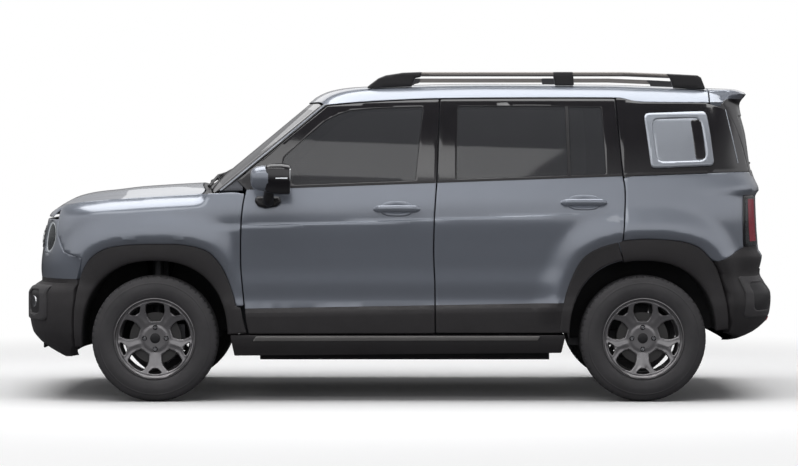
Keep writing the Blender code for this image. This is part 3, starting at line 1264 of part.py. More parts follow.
def spoke_face(name, centre, out):
    """The wheel's face: a disc with five large and five small windows between Y-shaped spokes."""
    radius = RIM_SEAT - RIM_WALL * 0.6
    turns = [2 * math.pi * (i + 0.5) / WHEEL_STEPS for i in range(WHEEL_STEPS)]
    loops = [[(radius * math.cos(turn), radius * math.sin(turn)) for turn in turns]]
    for k in range(5):
        spoke = math.radians(-90 + 72 * k)
        gap = spoke + math.radians(36)
        large = [(0.086, -12), (0.138, -22.5), (0.187, -15.6), (0.189, 0), (0.187, 15.6), (0.138, 22.5), (0.086, 12)]
        small = [(0.158, 0), (0.187, -11.0), (0.189, 0), (0.187, 11.0)]
        loops.append([(r * math.cos(gap + math.radians(a)), r * math.sin(gap + math.radians(a))) for r, a in large])
        loops.append([(r * math.cos(spoke + math.radians(a)), r * math.sin(spoke + math.radians(a)))
                      for r, a in small])

    def lift(u, v, inner):
        radius = math.hypot(u, v)
        place = across(0.046, 0.078, clamped((radius - HUB_RADIUS) / (RIM_SEAT - HUB_RADIUS)) ** 0.7)
        return (centre[0] + u, centre[1] + out * (place - (0.020 if inner else 0.0)), centre[2] + v)
    return bent(name, loops, [], lift, ALLOY)


def rim(name, centre, out):
    """Barrel, spoked face, hub and brake disc of one wheel."""
    flange, seat, well = RIM_RADIUS, RIM_SEAT - SEAT, RIM_SEAT - 0.016
    edge = RIM_HALF_WIDTH
    profile = [(flange, -edge - 0.006), (flange, -edge), (seat, -0.0815), (well, -0.020), (seat, 0.0815),
               (flange, edge), (flange, edge + 0.006), (seat - RIM_WALL, 0.070), (well - RIM_WALL, -0.020),
               (seat - RIM_WALL, -edge)]
    profile = [(radius, out * place) for radius, place in profile]
    barrel = turned("barrel", profile, centre, WHEEL_STEPS)
    face = spoke_face("face", centre, out)
    hub_in = HUB_FACE_Y + SEAT - TRACK_HALF
    start = (centre[0], centre[1] + out * hub_in, centre[2])
    hub = rod("hub", start, (centre[0], centre[1] + out * 0.050, centre[2]), HUB_RADIUS * 0.9)
    disc_a = (centre[0], centre[1] + out * (DISC_Y - 0.010), centre[2])
    disc_b = (centre[0], centre[1] + out * (DISC_Y + 0.010), centre[2])
    disc = rod("disc", disc_a, disc_b, DISC_RADIUS, 24)
    return joined(name, [barrel, face, hub, disc], ALLOY, 0.35, 0.7)


def wheels():
    for end, x in (("front", FRONT_AXLE_X), ("rear", REAR_AXLE_X)):
        for hand, side in (("left", -1), ("right", 1)):
            centre = (x, side * TRACK_HALF, TYRE_RADIUS)
            tyre(f"tyre_{end}_{hand}", centre)
            rim(f"rim_{end}_{hand}", centre, side)


# Cabin
def seat(name, y_low, y_high, x):
    """Side outline of a seat with its cushion, backrest and headrest."""
    low = FLOOR_TOP_Z + SEAT
    loop = [(x, low), (x + 0.48, low), (x + 0.50, 0.52), (x + 0.74, 1.06), (x + 0.76, 1.24), (x + 0.66, 1.25),
            (x + 0.63, 1.08), (x + 0.40, 0.62), (x - 0.03, 0.64), (x - 0.06, 0.56)]

    def lift(u, v, inner):
        return (u, y_high if inner else y_low, v)
    return bent(name, [loop], [], lift, FABRIC, 0.9)


def rear_seat():
    low, back = 0.50, 0.84
    loop = [(low, floor_z(low) + SEAT), (back, floor_z(back) + SEAT), (0.88, 0.60), (1.06, 1.04), (1.08, 1.16), (0.98, 1.18), (0.94, 1.04),
            (0.78, 0.68), (0.46, 0.66), (0.44, 0.58)]

    def lift(u, v, inner):
        return (u, 0.56 if inner else -0.56, v)
    return bent("rear_seat", [loop], [], lift, FABRIC, 0.9)


DASH_LOW_Z = 0.66
DASH_HIGH_Z = 1.055
COLUMN_Y = -0.360
WHEEL_CENTRE = Vector((-0.475, COLUMN_Y, 1.085))
COLUMN_AXIS = Vector((math.cos(math.radians(25)), 0.0, math.sin(math.radians(25))))
COLUMN_LENGTH = 0.200


def dashboard():
    loop = [(firewall_x(DASH_LOW_Z) + 2 * SEAT, DASH_LOW_Z), (-0.70, 0.62), (-0.60, 0.72), (-0.58, 0.96), (-0.64, 1.05),
            (-0.80, 1.075), (firewall_x(DASH_HIGH_Z) + 2 * SEAT, DASH_HIGH_Z)]

    def lift(u, v, inner):
        return (u, 0.68 if inner else -0.68, v)
    shell = bent("dash_shell", [loop], [], lift, CLADDING)
    end = WHEEL_CENTRE - COLUMN_AXIS * (0.06 + SEAT)
    column = rod("column", end - COLUMN_AXIS * COLUMN_LENGTH, end, 0.035, 16)
    return joined("dashboard", [shell, column], CLADDING, 0.8)


def steering_wheel():
    bm = bmesh.new()
    ring, thick, major, minor = 0.180, 0.015, 24, 5
    turn = COLUMN_AXIS.to_track_quat("Z", "Y").to_matrix().to_4x4()
    for i in range(major):
        for j in range(minor):
            a, b = 2 * math.pi * i / major, 2 * math.pi * j / minor
            radius = ring + thick * math.cos(b)
            bm.verts.new((radius * math.cos(a), radius * math.sin(a), thick * math.sin(b)))
    bm.verts.ensure_lookup_table()
    for i in range(major):
        for j in range(minor):
            corners = ((i, j), (i + 1, j), (i + 1, j + 1), (i, j + 1))
            bm.faces.new([bm.verts[(p % major) * minor + q % minor] for p, q in corners])
    bmesh.ops.recalc_face_normals(bm, faces=bm.faces[:])
    bmesh.ops.transform(bm, matrix=Matrix.Translation(WHEEL_CENTRE) @ turn, verts=bm.verts)
    mesh = bpy.data.meshes.new("ring")
    bm.to_mesh(mesh)
    bm.free()
    rim_ring = bpy.data.objects.new("ring", mesh)
    parts.objects.link(rim_ring)
    pieces = [rim_ring, rod("boss", WHEEL_CENTRE - COLUMN_AXIS * 0.06, WHEEL_CENTRE + COLUMN_AXIS * 0.01, 0.050, 16)]
    across_wheel = Vector((0.0, 1.0, 0.0))
    pieces.append(rod("spoke", WHEEL_CENTRE - across_wheel * ring, WHEEL_CENTRE + across_wheel * ring, 0.010, 8))
    return joined("steering_wheel", pieces, CLADDING, 0.7)


def mirror(name):
    """Mirror head on its foot, which stands on the door's skin."""
    foot_loop = [(-0.752, 1.024), (-0.640, 1.030), (-0.625, 1.045), (-0.66, 1.076), (-0.752, 1.072)]
    foot = bent("foot", [foot_loop], [], lambda x, z, inner: (x, -(side_y(x, z) + SEAT if inner else 0.905), z), PAINT)
    head_loop = [(-0.775, 1.100), (-0.70, 1.082), (-0.635, 1.090), (-0.605, 1.125), (-0.60, 1.20), (-0.62, 1.235),
                 (-0.74, 1.238), (-0.772, 1.21)]
    head = bent("head", [head_loop], [], lambda x, z, inner: (x, -0.890 if inner else -1.030, z), PAINT)
    stalk = block("stalk", (-0.725, -0.945, 1.035), (-0.665, -0.893, 1.12))
    return joined(name, [head, foot, stalk], GLOSS_BLACK, 0.3)


BONNET_PIVOT = (-0.985, 0.0, 1.107)
TAILGATE_PIVOT = (1.672, 0.0, 1.655)
FRONT_DOOR_PIVOT_X = DOOR_FRONT_X + HINGE_BACK
REAR_DOOR_PIVOT_X = POST_X + HINGE_BACK


def pivots():
    """Place of each moving piece's joint."""
    table = {"bonnet": BONNET_PIVOT, "tailgate": TAILGATE_PIVOT, "tailgate_glass": TAILGATE_PIVOT,
             "steering_wheel": tuple(WHEEL_CENTRE)}
    for hand, side in (("left", -1), ("right", 1)):
        front = (FRONT_DOOR_PIVOT_X, side * HINGE_Y, ROCKER_TOP_Z)
        rear = (REAR_DOOR_PIVOT_X, side * HINGE_Y, ROCKER_TOP_Z)
        for name in ("door_front", "glass_front", "mirror"):
            table[f"{name}_{hand}"] = front
        for name in ("door_rear", "glass_rear"):
            table[f"{name}_{hand}"] = rear
        table[f"knuckle_{hand}"] = tuple(kingpin(0.0, side))
        for end, x in (("front", FRONT_AXLE_X), ("rear", REAR_AXLE_X)):
            for name in ("tyre", "rim"):
                table[f"{name}_{end}_{hand}"] = (x, side * TRACK_HALF, TYRE_RADIUS)
    return table


def place_pivots():
    """Moves each moving piece's origin onto its joint, and leaves the piece where it was."""
    for name, pivot in pivots().items():
        obj = bpy.data.objects[name]
        obj.data.transform(Matrix.Translation([-c for c in pivot]))
        obj.location = pivot


def main():
    for obj in list(bpy.data.objects):
        bpy.data.objects.remove(obj)
    bpy.context.scene.collection.children.link(parts)
    for name, build in (("door_front", front_door), ("door_rear", rear_door), ("fender", fender),
                        ("front_arch", front_arch), ("rear_arch", rear_arch), ("quarter", quarter),
                        ("pillar_panel", pillar_panel), ("tail_lamp", tail_lamp), ("headlamp", headlamp),
                        ("rocker", rocker), ("side_frame", side_frame), ("roof_rail", roof_rail),
                        ("mirror", mirror), ("knuckle", knuckle)):
        both_sides(name, build)
    both_sides("glass_front", lambda name: door_glass(name, front_window(), -0.2))
    both_sides("glass_rear", lambda name: door_glass(name, rear_window(), 0.7))
    for build in (rear_bumper, nose_panel, front_bumper, roof_panel, bonnet, cowl, windscreen, tailgate,
                  tailgate_glass, floor_pan, battery_pack, front_frame, drive_unit, rear_axle, rear_seat,
                  dashboard, steering_wheel, wheels):
        build()
    both_sides("seat", lambda name: seat(name, -0.60, -0.12, -0.35))
    place_pivots()


main()
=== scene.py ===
"""Looks of the compact off-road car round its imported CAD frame. Metres; the car faces -X, left is -Y."""
import math

import bmesh
import bpy
import numpy as np
from mathutils import Matrix, Vector, noise


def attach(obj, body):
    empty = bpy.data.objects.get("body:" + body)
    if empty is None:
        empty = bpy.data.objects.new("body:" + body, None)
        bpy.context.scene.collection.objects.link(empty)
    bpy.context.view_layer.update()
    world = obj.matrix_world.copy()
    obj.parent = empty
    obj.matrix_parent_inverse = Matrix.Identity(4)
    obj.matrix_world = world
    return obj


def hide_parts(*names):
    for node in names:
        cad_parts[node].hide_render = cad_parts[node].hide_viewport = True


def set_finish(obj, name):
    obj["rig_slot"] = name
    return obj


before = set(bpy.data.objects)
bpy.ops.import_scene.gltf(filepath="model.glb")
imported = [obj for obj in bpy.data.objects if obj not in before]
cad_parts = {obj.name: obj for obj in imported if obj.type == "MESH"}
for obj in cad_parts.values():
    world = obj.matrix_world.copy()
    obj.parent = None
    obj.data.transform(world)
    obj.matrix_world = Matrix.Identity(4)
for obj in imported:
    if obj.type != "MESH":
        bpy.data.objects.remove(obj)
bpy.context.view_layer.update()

# Body surface, as in the CAD
WHEELBASE, BODY_HEIGHT, HALF_WIDTH = 2.560, 1.683, 0.868
FRONT_REACH = REAR_REACH = 0.725
FRONT_X, REAR_X = -WHEELBASE / 2, WHEELBASE / 2
SEAT, SHUT = 0.0003, 0.006
SECTION = ((0.119, 0.93), (0.214, 0.975), (0.298, 0.985), (0.333, 0.979), (0.554, 1.0), (0.667, 0.966),
           (0.946, 0.775), (0.99, 0.72))
NOSE = ((0.119, 0.70), (0.155, 0.855), (0.179, 0.927), (0.214, 0.985), (0.253, 1.0), (0.33, 1.0),
        (0.35, 0.975), (0.369, 0.908), (0.405, 0.914), (0.52, 0.879), (0.577, 0.85))
TAIL = ((0.179, 0.60), (0.19, 0.76), (0.229, 0.932), (0.253, 0.979), (0.318, 1.0), (0.334, 0.997),
        (0.367, 0.949),
        (0.393, 0.919), (0.449, 0.935), (0.471, 0.906), (0.64, 0.884), (0.659, 0.912), (0.70, 0.874),
        (0.732, 0.852), (0.835, 0.822), (0.93, 0.778), (0.99, 0.75))
FRONT_POWER, REAR_POWER = 3.5, 4.5
SHOULDER = ((0.0, 0.0), (0.05, 0.24), (0.10, 0.41), (0.15, 0.50), (0.23, 0.585), (1.0, 1.0))
ROOF = ((0.0, 1.0), (0.026, 0.60), (0.062, 0.32), (0.106, 0.18), (0.144, 0.135), (0.42, 0.0), (0.75, 0.05),
        (1.0, 0.22))
ROOF_EDGE = ((0.0, 1.0), (0.07, 0.68), (0.16, 0.38), (0.30, 0.10), (0.60, 0.0), (0.76, 0.02), (0.82, 0.60),
             (1.0, 0.70))
ROOF_SECTION = ((0.0, 0.0), (0.40, 0.04), (0.75, 0.14), (0.87, 0.26), (0.94, 0.50), (1.0, 1.0))
BONNET = ((0.0, 1.0), (0.04, 0.78), (0.107, 0.57), (0.18, 0.40), (0.28, 0.29), (0.43, 0.21), (0.59, 0.12),
          (0.74, 0.07), (1.0, 0.0))
DOOR_FRONT_X, POST_X, REAR_DOOR_X = -0.829, 0.184, 1.178
DOOR_LENGTH = POST_X - DOOR_FRONT_X
BELT_FRONT_Z, BELT_REAR_Z = 1.110, 1.182
ROOF_FRONT_X, ROOF_REAR_X, BOW = -0.496, 1.640, 0.100
ROOF_START_X = ROOF_FRONT_X + BOW
PANEL_WALL = 0.030
DOOR_WALL, DOOR_TOP_WALL, DOOR_TOP_GAP = 0.100, 0.035, 0.009
PILLAR_WIDTH, PANE_IN, PANE_THICK = 0.034, 0.004, 0.005
EDGE_SHIFT, EDGE_SHIFT_REACH = 0.016, 0.030
BONNET_TIP_X, BONNET_TIP_Z = -1.896, 0.969
BONNET_REAR_X, BONNET_REAR_Z = -1.075, 1.143
SHOULDER_REAR_Z, SHOULDER_DEPTH, SHOULDER_IN = 1.101, 0.070, 0.080
FENDER_TURN_X, FENDER_TURN_FADE = -1.000, 0.060
ROOF_EDGE_Z, ROOF_EDGE_DROP, ROOF_DROP = 1.600, 0.040, 0.104
SCREEN_LOW_X, SCREEN_LOW_Z, SCREEN_TOP_Z = -1.025, 1.130, 1.570
SCREEN_CORNER_Z, SCREEN_SAG, SCREEN_THICK = 1.095, 0.035, 0.005
WALL_ALONG, WALL_WIDE_END, WALL_WIDE_FADE = 0.45, 0.56, 0.26


def across(low, high, share):
    return low + (high - low) * share


def clamped(share):
    return min(1.0, max(0.0, share))


def smooth(share):
    share = clamped(share)
    return share * share * (3.0 - 2.0 * share)


_tables = {}


def angles(count):
    return [2 * math.pi * i / count for i in range(count)]


def read_table(table, at):
    """Smooth monotone value of a two-column table."""
    key = id(table)
    if key not in _tables:
        xs, ys = [row[0] for row in table], [row[1] for row in table]
        h = [b - a for a, b in zip(xs, xs[1:])]
        d = [(b - a) / w for a, b, w in zip(ys, ys[1:], h)]
        m = [d[0]]
        for k in range(1, len(d)):
            if d[k - 1] * d[k] <= 0:
                m.append(0.0)
            else:
                w1, w2 = 2 * h[k] + h[k - 1], h[k] + 2 * h[k - 1]
                m.append((w1 + w2) / (w1 / d[k - 1] + w2 / d[k]))
        m.append(d[-1])
        _tables[key] = (table, xs, ys, m)
    xs, ys, m = _tables[key][1:]
    if at <= xs[0]:
        return ys[0]
    if at >= xs[-1]:
        return ys[-1]
    k = 0
    while at > xs[k + 1]:
        k += 1
    w = xs[k + 1] - xs[k]
    t = (at - xs[k]) / w
    t2, t3 = t * t, t * t * t
    return ((2 * t3 - 3 * t2 + 1) * ys[k] + (t3 - 2 * t2 + t) * w * m[k] + (3 * t2 - 2 * t3) * ys[k + 1]
            + (t3 - t2) * w * m[k + 1])


def linear(table, at):
    if at <= table[0][0]:
        return table[0][1]
    for (a, low), (b, high) in zip(table, table[1:]):
        if at <= b:
            return across(low, high, (at - a) / (b - a))
    return table[-1][1]


def nose_x(z):
    return FRONT_X - FRONT_REACH * read_table(NOSE, z / BODY_HEIGHT)


def tail_x(z):
    return REAR_X + REAR_REACH * read_table(TAIL, z / BODY_HEIGHT)


def half_width(z):
    return HALF_WIDTH * read_table(SECTION, z / BODY_HEIGHT)


def taper(x, z):
    if x < FRONT_X:
        share, power = (FRONT_X - x) / (FRONT_X - nose_x(z)), FRONT_POWER
    elif x > REAR_X:
        share, power = (x - REAR_X) / (tail_x(z) - REAR_X), REAR_POWER
    else:
        return 1.0
    return (1.0 - clamped(share) ** power) ** (1.0 / power)


def shoulder_z(x):
    share = (x - BONNET_TIP_X) / (DOOR_FRONT_X - BONNET_TIP_X)
    return across(BONNET_TIP_Z, SHOULDER_REAR_Z, read_table(SHOULDER, share))


def shoulder_share(x, z):
    rise = clamped((z - shoulder_z(x) + SHOULDER_DEPTH) / SHOULDER_DEPTH)
    fade = clamped((FENDER_TURN_X - x) / FENDER_TURN_FADE)
    return rise * rise * fade


def side_y(x, z):
    return half_width(z) * taper(x, z) - SHOULDER_IN * shoulder_share(x, z)


def front_x(y, z):
    share = clamped(abs(y) / half_width(z)) ** FRONT_POWER
    return FRONT_X - (FRONT_X - nose_x(z)) * (1.0 - share) ** (1.0 / FRONT_POWER)


def belt_z(x):
    return across(BELT_FRONT_Z, BELT_REAR_Z, (x - DOOR_FRONT_X) / (REAR_DOOR_X - DOOR_FRONT_X))


def roof_edge_z(x):
    return ROOF_EDGE_Z - ROOF_EDGE_DROP * read_table(ROOF_EDGE,
                                                     (x - ROOF_START_X) / (ROOF_REAR_X - ROOF_START_X))


def roof_z(x, y):
    edge_z = roof_edge_z(x)
    share = clamped(abs(y) / side_y(x, edge_z))
    along = x - BOW * share ** 2
    drop = ROOF_DROP * read_table(ROOF, (along - ROOF_FRONT_X) / (ROOF_REAR_X - ROOF_FRONT_X))
    return across(BODY_HEIGHT - drop, edge_z, read_table(ROOF_SECTION, share))


ROOF_EDGE_XS = [across(ROOF_START_X, ROOF_REAR_X, share) for share, _ in ROOF_EDGE]


def bonnet_side_y(x):
    level = 1.0 - shoulder_share(x, shoulder_z(x))
    return side_y(x, shoulder_z(x)) - SHUT - PANEL_WALL * level


def bonnet_z(x, y):
    share = clamped(abs(y) / HALF_WIDTH) ** FRONT_POWER
    ahead = (FRONT_X - x) / (1.0 - share) ** (1.0 / FRONT_POWER) if x < FRONT_X else FRONT_X - x
    along = (FRONT_X - ahead - BONNET_TIP_X) / (BONNET_REAR_X - BONNET_TIP_X)
    centre = BONNET_REAR_Z - (BONNET_REAR_Z - BONNET_TIP_Z) * read_table(BONNET, along)
    edge = min(shoulder_z(x), centre)
    return across(centre, edge, clamped(abs(y) / bonnet_side_y(x)) ** 2)


def windscreen_x(z):
    return across(SCREEN_LOW_X, ROOF_FRONT_X, (z - SCREEN_LOW_Z) / (SCREEN_TOP_Z - SCREEN_LOW_Z))


def pillar_x(z):
    return windscreen_x(z) + BOW + SCREEN_THICK + SEAT * 2


def door_depth(z, x):
    return across(DOOR_WALL, DOOR_TOP_WALL, clamped((z - belt_z(x) + PANEL_WALL) / PANEL_WALL))


def turn_of(ahead, out):
    return math.atan2(ahead, out) / (math.pi / 2)


def power_share(share, power):
    return (1.0 - clamped(share) ** power) ** (1.0 / power)


def tail_place(x=None, y=None, z=0.0):
    if x is None:
        out = clamped(abs(y) / half_width(z))
        return (turn_of(power_share(out, REAR_POWER), out), z)
    ahead = (x - REAR_X) / (tail_x(z) - REAR_X)
    return (turn_of(ahead, power_share(max(0.0, ahead), REAR_POWER)) if ahead > 0 else ahead / 2, z)


def nose_place(x=None, y=None, z=0.0):
    if x is None:
        out = clamped(abs(y) / half_width(z))
        return (turn_of(power_share(out, FRONT_POWER), out), z)
    ahead = max(0.0, (FRONT_X - x) / (FRONT_X - nose_x(z)))
    return (turn_of(ahead, power_share(ahead, FRONT_POWER)), z)


def turned_point(u, z, reach, power):
    angle = min(u, 2.0 - u) * math.pi / 2
    s, c = max(0.0, math.sin(angle)), max(0.0, math.cos(angle))
    radius = (s ** power + c ** power) ** (-1.0 / power)
    return reach * radius * s, half_width(z) * radius * c * (1.0 if u <= 1.0 else -1.0)


def wall_turn(u):
    turn = min(u, 2.0 - u)
    along, wide = clamped(turn / WALL_ALONG), clamped((WALL_WIDE_END - turn) / WALL_WIDE_FADE)
    return along, (wide if u <= 1.0 else -wide)


# Materials
MOTTLE_SCALE, ROUGH_SCALE, COAT_ROUGH = 7.0, 38.0, 0.04
WEAVE_WAVE, BUMP_DEPTH = 1.5, 0.001


def node_material(name, colour, rough=0.45, metal=0.0, coat=0.0, bump=None, mottle=0.06, rough_spread=0.08,
                  sheen=0.0, alpha=1.0, transmission=0.0, emission=None):
    """Principled material with mottle, varied roughness and a bump given as (scale, strength, kind)."""
    mat = bpy.data.materials.new(name)
    mat.use_nodes = True
    nodes, links = mat.node_tree.nodes, mat.node_tree.links
    shader = nodes["Principled BSDF"]
    shader.inputs["Metallic"].default_value = metal
    shader.inputs["Coat Weight"].default_value = coat
    shader.inputs["Coat Roughness"].default_value = COAT_ROUGH
    shader.inputs["Sheen Weight"].default_value = sheen
    shader.inputs["Alpha"].default_value = alpha
    shader.inputs["Transmission Weight"].default_value = transmission
    place = nodes.new("ShaderNodeTexCoord")
    wide = nodes.new("ShaderNodeTexNoise")
    wide.inputs["Scale"].default_value = MOTTLE_SCALE
    wide.inputs["Detail"].default_value = 4.0
    links.new(place.outputs["Object"], wide.inputs["Vector"])
    ramp = nodes.new("ShaderNodeValToRGB")
    ramp.color_ramp.elements[0].position, ramp.color_ramp.elements[1].position = 0.3, 0.7
    ramp.color_ramp.elements[0].color = (*[c * (1 - mottle) for c in colour], 1)
    ramp.color_ramp.elements[1].color = (*[min(1.0, c * (1 + mottle)) for c in colour], 1)
    links.new(wide.outputs["Fac"], ramp.inputs["Fac"])
    links.new(ramp.outputs["Color"], shader.inputs["Base Color"])
    spread = nodes.new("ShaderNodeMapRange")
    spread.inputs["To Min"].default_value = max(0.0, rough - rough_spread)
    spread.inputs["To Max"].default_value = min(1.0, rough + rough_spread)
    fine = nodes.new("ShaderNodeTexNoise")
    fine.inputs["Scale"].default_value = ROUGH_SCALE
    fine.inputs["Detail"].default_value = 3.0
    links.new(place.outputs["Object"], fine.inputs["Vector"])
    links.new(fine.outputs["Fac"], spread.inputs["Value"])
    links.new(spread.outputs["Result"], shader.inputs["Roughness"])
    if bump:
        scale, strength, kind = bump
        if kind == "weave":
            pattern = nodes.new("ShaderNodeTexWave")
            pattern.inputs["Scale"].default_value = scale
            pattern.inputs["Distortion"].default_value = WEAVE_WAVE
            second = nodes.new("ShaderNodeTexWave")
            second.bands_direction = "Z"
            second.inputs["Scale"].default_value = scale
            second.inputs["Distortion"].default_value = WEAVE_WAVE
            links.new(place.outputs["Object"], second.inputs["Vector"])
            mix = nodes.new("ShaderNodeMath")
            mix.operation = "MAXIMUM"
            links.new(place.outputs["Object"], pattern.inputs["Vector"])
            links.new(pattern.outputs["Fac"], mix.inputs[0])
            links.new(second.outputs["Fac"], mix.inputs[1])
            height = mix.outputs[0]
        elif kind == "grain":
            pattern = nodes.new("ShaderNodeTexVoronoi")
            pattern.inputs["Scale"].default_value = scale
            links.new(place.outputs["Object"], pattern.inputs["Vector"])
            height = pattern.outputs["Distance"]
        else:
            pattern = nodes.new("ShaderNodeTexNoise")
            pattern.inputs["Scale"].default_value = scale
            pattern.inputs["Detail"].default_value = 3.0
            links.new(place.outputs["Object"], pattern.inputs["Vector"])
            height = pattern.outputs["Fac"]
        lump = nodes.new("ShaderNodeBump")
        lump.inputs["Strength"].default_value = strength
        lump.inputs["Distance"].default_value = BUMP_DEPTH
        links.new(height, lump.inputs["Height"])
        links.new(lump.outputs["Normal"], shader.inputs["Normal"])
    if emission:
        shader.inputs["Emission Color"].default_value = (*emission[:3], 1)
        shader.inputs["Emission Strength"].default_value = emission[3]
    return mat


PAINT = node_material("paint", (0.27, 0.295, 0.345), 0.30, 0.45, 1.0, (900.0, 0.02, "noise"), 0.015, 0.04)
CLAD = node_material("cladding", (0.044, 0.041, 0.043), 0.58, 0.0, 0.0, (900.0, 0.25, "grain"), 0.10)
BLACK = node_material("black_gloss", (0.010, 0.009, 0.011), 0.12, 0.0, 0.6, (60.0, 0.01, "noise"), 0.2, 0.03)
SATIN_BLACK = node_material("black_satin", (0.016, 0.015, 0.017), 0.42, 0.0, 0.0, (500.0, 0.1, "grain"), 0.15)
GLASS = node_material("glass", (0.045, 0.046, 0.050), 0.04, 0.0, 0.0, (8.0, 0.004, "noise"), 0.05, 0.01,
                      alpha=0.80)
CLEAR = node_material("lamp_clear", (0.10, 0.11, 0.115), 0.05, 0.0, 0.4, (30.0, 0.01, "noise"), 0.03, 0.02,
                      alpha=0.30)
CHROME = node_material("reflector", (0.75, 0.76, 0.78), 0.12, 1.0, 0.0, (200.0, 0.02, "noise"), 0.05, 0.04)
RED = node_material("lamp_red", (0.52, 0.014, 0.050), 0.12, 0.0, 0.8, (40.0, 0.02, "noise"), 0.1, 0.03,
                    emission=(0.50, 0.010, 0.040, 0.35))
WHITE_LIGHT = node_material("lamp_white", (0.85, 0.87, 0.90), 0.2, 0.0, 0.5, (60.0, 0.02, "noise"), 0.03,
                            0.04, emission=(0.9, 0.95, 1.0, 0.5))
ALLOY = node_material("alloy", (0.27, 0.262, 0.268), 0.30, 0.85, 0.5, (700.0, 0.03, "noise"), 0.08, 0.06)
HATCH = node_material("hatch_frame", (0.36, 0.385, 0.43), 0.34, 0.5, 0.8, (900.0, 0.02, "noise"), 0.03, 0.04)
SILVER = node_material("silver_trim", (0.33, 0.32, 0.31), 0.34, 0.8, 0.0, (300.0, 0.05, "noise"), 0.06)
RAIL = node_material("rail_metal", (0.20, 0.185, 0.175), 0.34, 0.8, 0.2, (60.0, 0.01, "noise"), 0.03, 0.03)
TYRE = node_material("tyre", (0.085, 0.082, 0.086), 0.72, 0.0, 0.0, (500.0, 0.25, "noise"), 0.14, 0.1)
STEEL = node_material("steel", (0.10, 0.10, 0.105), 0.5, 0.6, 0.0, (160.0, 0.2, "noise"), 0.15)
DISC = node_material("brake_disc", (0.085, 0.083, 0.082), 0.45, 0.8, 0.0, (120.0, 0.15, "noise"), 0.1)
# Inner sides of the painted panels, and the side frame seen through the shut lines: the body paint darkened,
# painted shade
SHADED_PAINT = node_material("body_inner", (0.10, 0.105, 0.12), 0.5, 0.2, 0.0, (90.0, 0.08, "noise"), 0.1)
TRIM = node_material("trim", (0.05, 0.05, 0.054), 0.62, 0.0, 0.0, (700.0, 0.3, "grain"), 0.12)
FABRIC = node_material("seat_fabric", (0.085, 0.083, 0.088), 0.85, 0.0, 0.0, (420.0, 0.5, "weave"), 0.12,
                       0.08, sheen=0.3)
PIPING = node_material("seat_side", (0.045, 0.044, 0.048), 0.6, 0.0, 0.0, (260.0, 0.3, "grain"), 0.12)
CLAD_LIGHT = node_material("cladding_frame", (0.075, 0.072, 0.075), 0.5, 0.1, 0.0, (900.0, 0.2, "grain"),
                           0.08)
PLATE = node_material("blank_plate", (0.55, 0.56, 0.58), 0.4, 0.1, 0.2, (300.0, 0.05, "noise"), 0.03)
UNDER = node_material("under_coating", (0.035, 0.035, 0.037), 0.8, 0.0, 0.0, (120.0, 0.5, "noise"), 0.2)
CARPET = node_material("carpet", (0.04, 0.039, 0.042), 0.95, 0.0, 0.0, (600.0, 0.8, "noise"), 0.2, 0.04,
                       sheen=0.2)


def finished(bm, name):
    mesh = bpy.data.meshes.new(name)
    bm.to_mesh(mesh)
    bm.free()
    return mesh


def applied(obj):
    """Makes the object's modifiers part of its mesh."""
    graph = bpy.context.evaluated_depsgraph_get()
    obj.data = bpy.data.meshes.new_from_object(obj.evaluated_get(graph))
    obj.modifiers.clear()


def loose(name, mesh, body, mats, slot=None, smooth_deg=35):
    """A shaded object that rides a body."""
    obj = bpy.data.objects.new(name, mesh)
    bpy.context.scene.collection.objects.link(obj)
    for mat in mats if isinstance(mats, (list, tuple)) else [mats]:
        mesh.materials.append(mat)
    for face in mesh.polygons:
        face.use_smooth = True
    mesh.set_sharp_from_angle(angle=math.radians(smooth_deg))
    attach(obj, body)
    if slot:
        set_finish(obj, slot)
    return obj


# Fine panels
def refine(loop, step):
    out = []
    for a, b in zip(loop, loop[1:] + loop[:1]):
        n = max(1, int(math.ceil(math.dist(a, b) / step)))
        out += [(across(a[0], b[0], i / n), across(a[1], b[1], i / n)) for i in range(n)]
    return out


def rounded(loop, radius, sharp=0.30, steps=4):
    """Rounds the corners that turn by more than sharp radians."""
    out = []
    for before, here, after in zip(loop[-1:] + loop[:-1], loop, loop[1:] + loop[:1]):
        a, b, c = Vector(before), Vector(here), Vector(after)
        p, q = (a - b), (c - b)
        if p.length < 1e-7 or q.length < 1e-7:
            continue
        turn = math.pi - p.angle(q)
        if turn < sharp:
            out.append(here)
            continue
        reach = min(radius * math.tan(turn / 2), p.length * 0.45, q.length * 0.45)
        start, end = b + p.normalized() * reach, b + q.normalized() * reach
        for i in range(steps + 1):
            t = i / steps
            out.append(tuple(start * (1 - t) ** 2 + b * 2 * t * (1 - t) + end * t ** 2))
    return out


def inset(loop, by):
    """The loop moved by a small step to its left if by is positive."""
    moved = []
    for before, here, after in zip(loop[-1:] + loop[:-1], loop, loop[1:] + loop[:1]):
        first = (Vector(here) - Vector(before)).normalized()
        second = (Vector(after) - Vector(here)).normalized()
        normal = Vector((-first.y - second.y, first.x + second.x))
        normal /= max(0.5, 1.0 + first.dot(second))
        moved.append((here[0] + normal.x * by, here[1] + normal.y * by))
    return moved


def turned_left(loop, left=True):
    area = sum(a[0] * b[1] - b[0] * a[1] for a, b in zip(loop, loop[1:] + loop[:1]))
    return loop if (area > 0) == left else loop[::-1]


RINGS = ((0.0, 0.0022), (0.0010, 0.0007), (0.0028, 0.0))
FLAT_ANGLE, CUT_MERGE, GRID_PHASE = 0.01, 2e-5, (0.37, 0.41)
DEEPEST_EDGE = 0.45


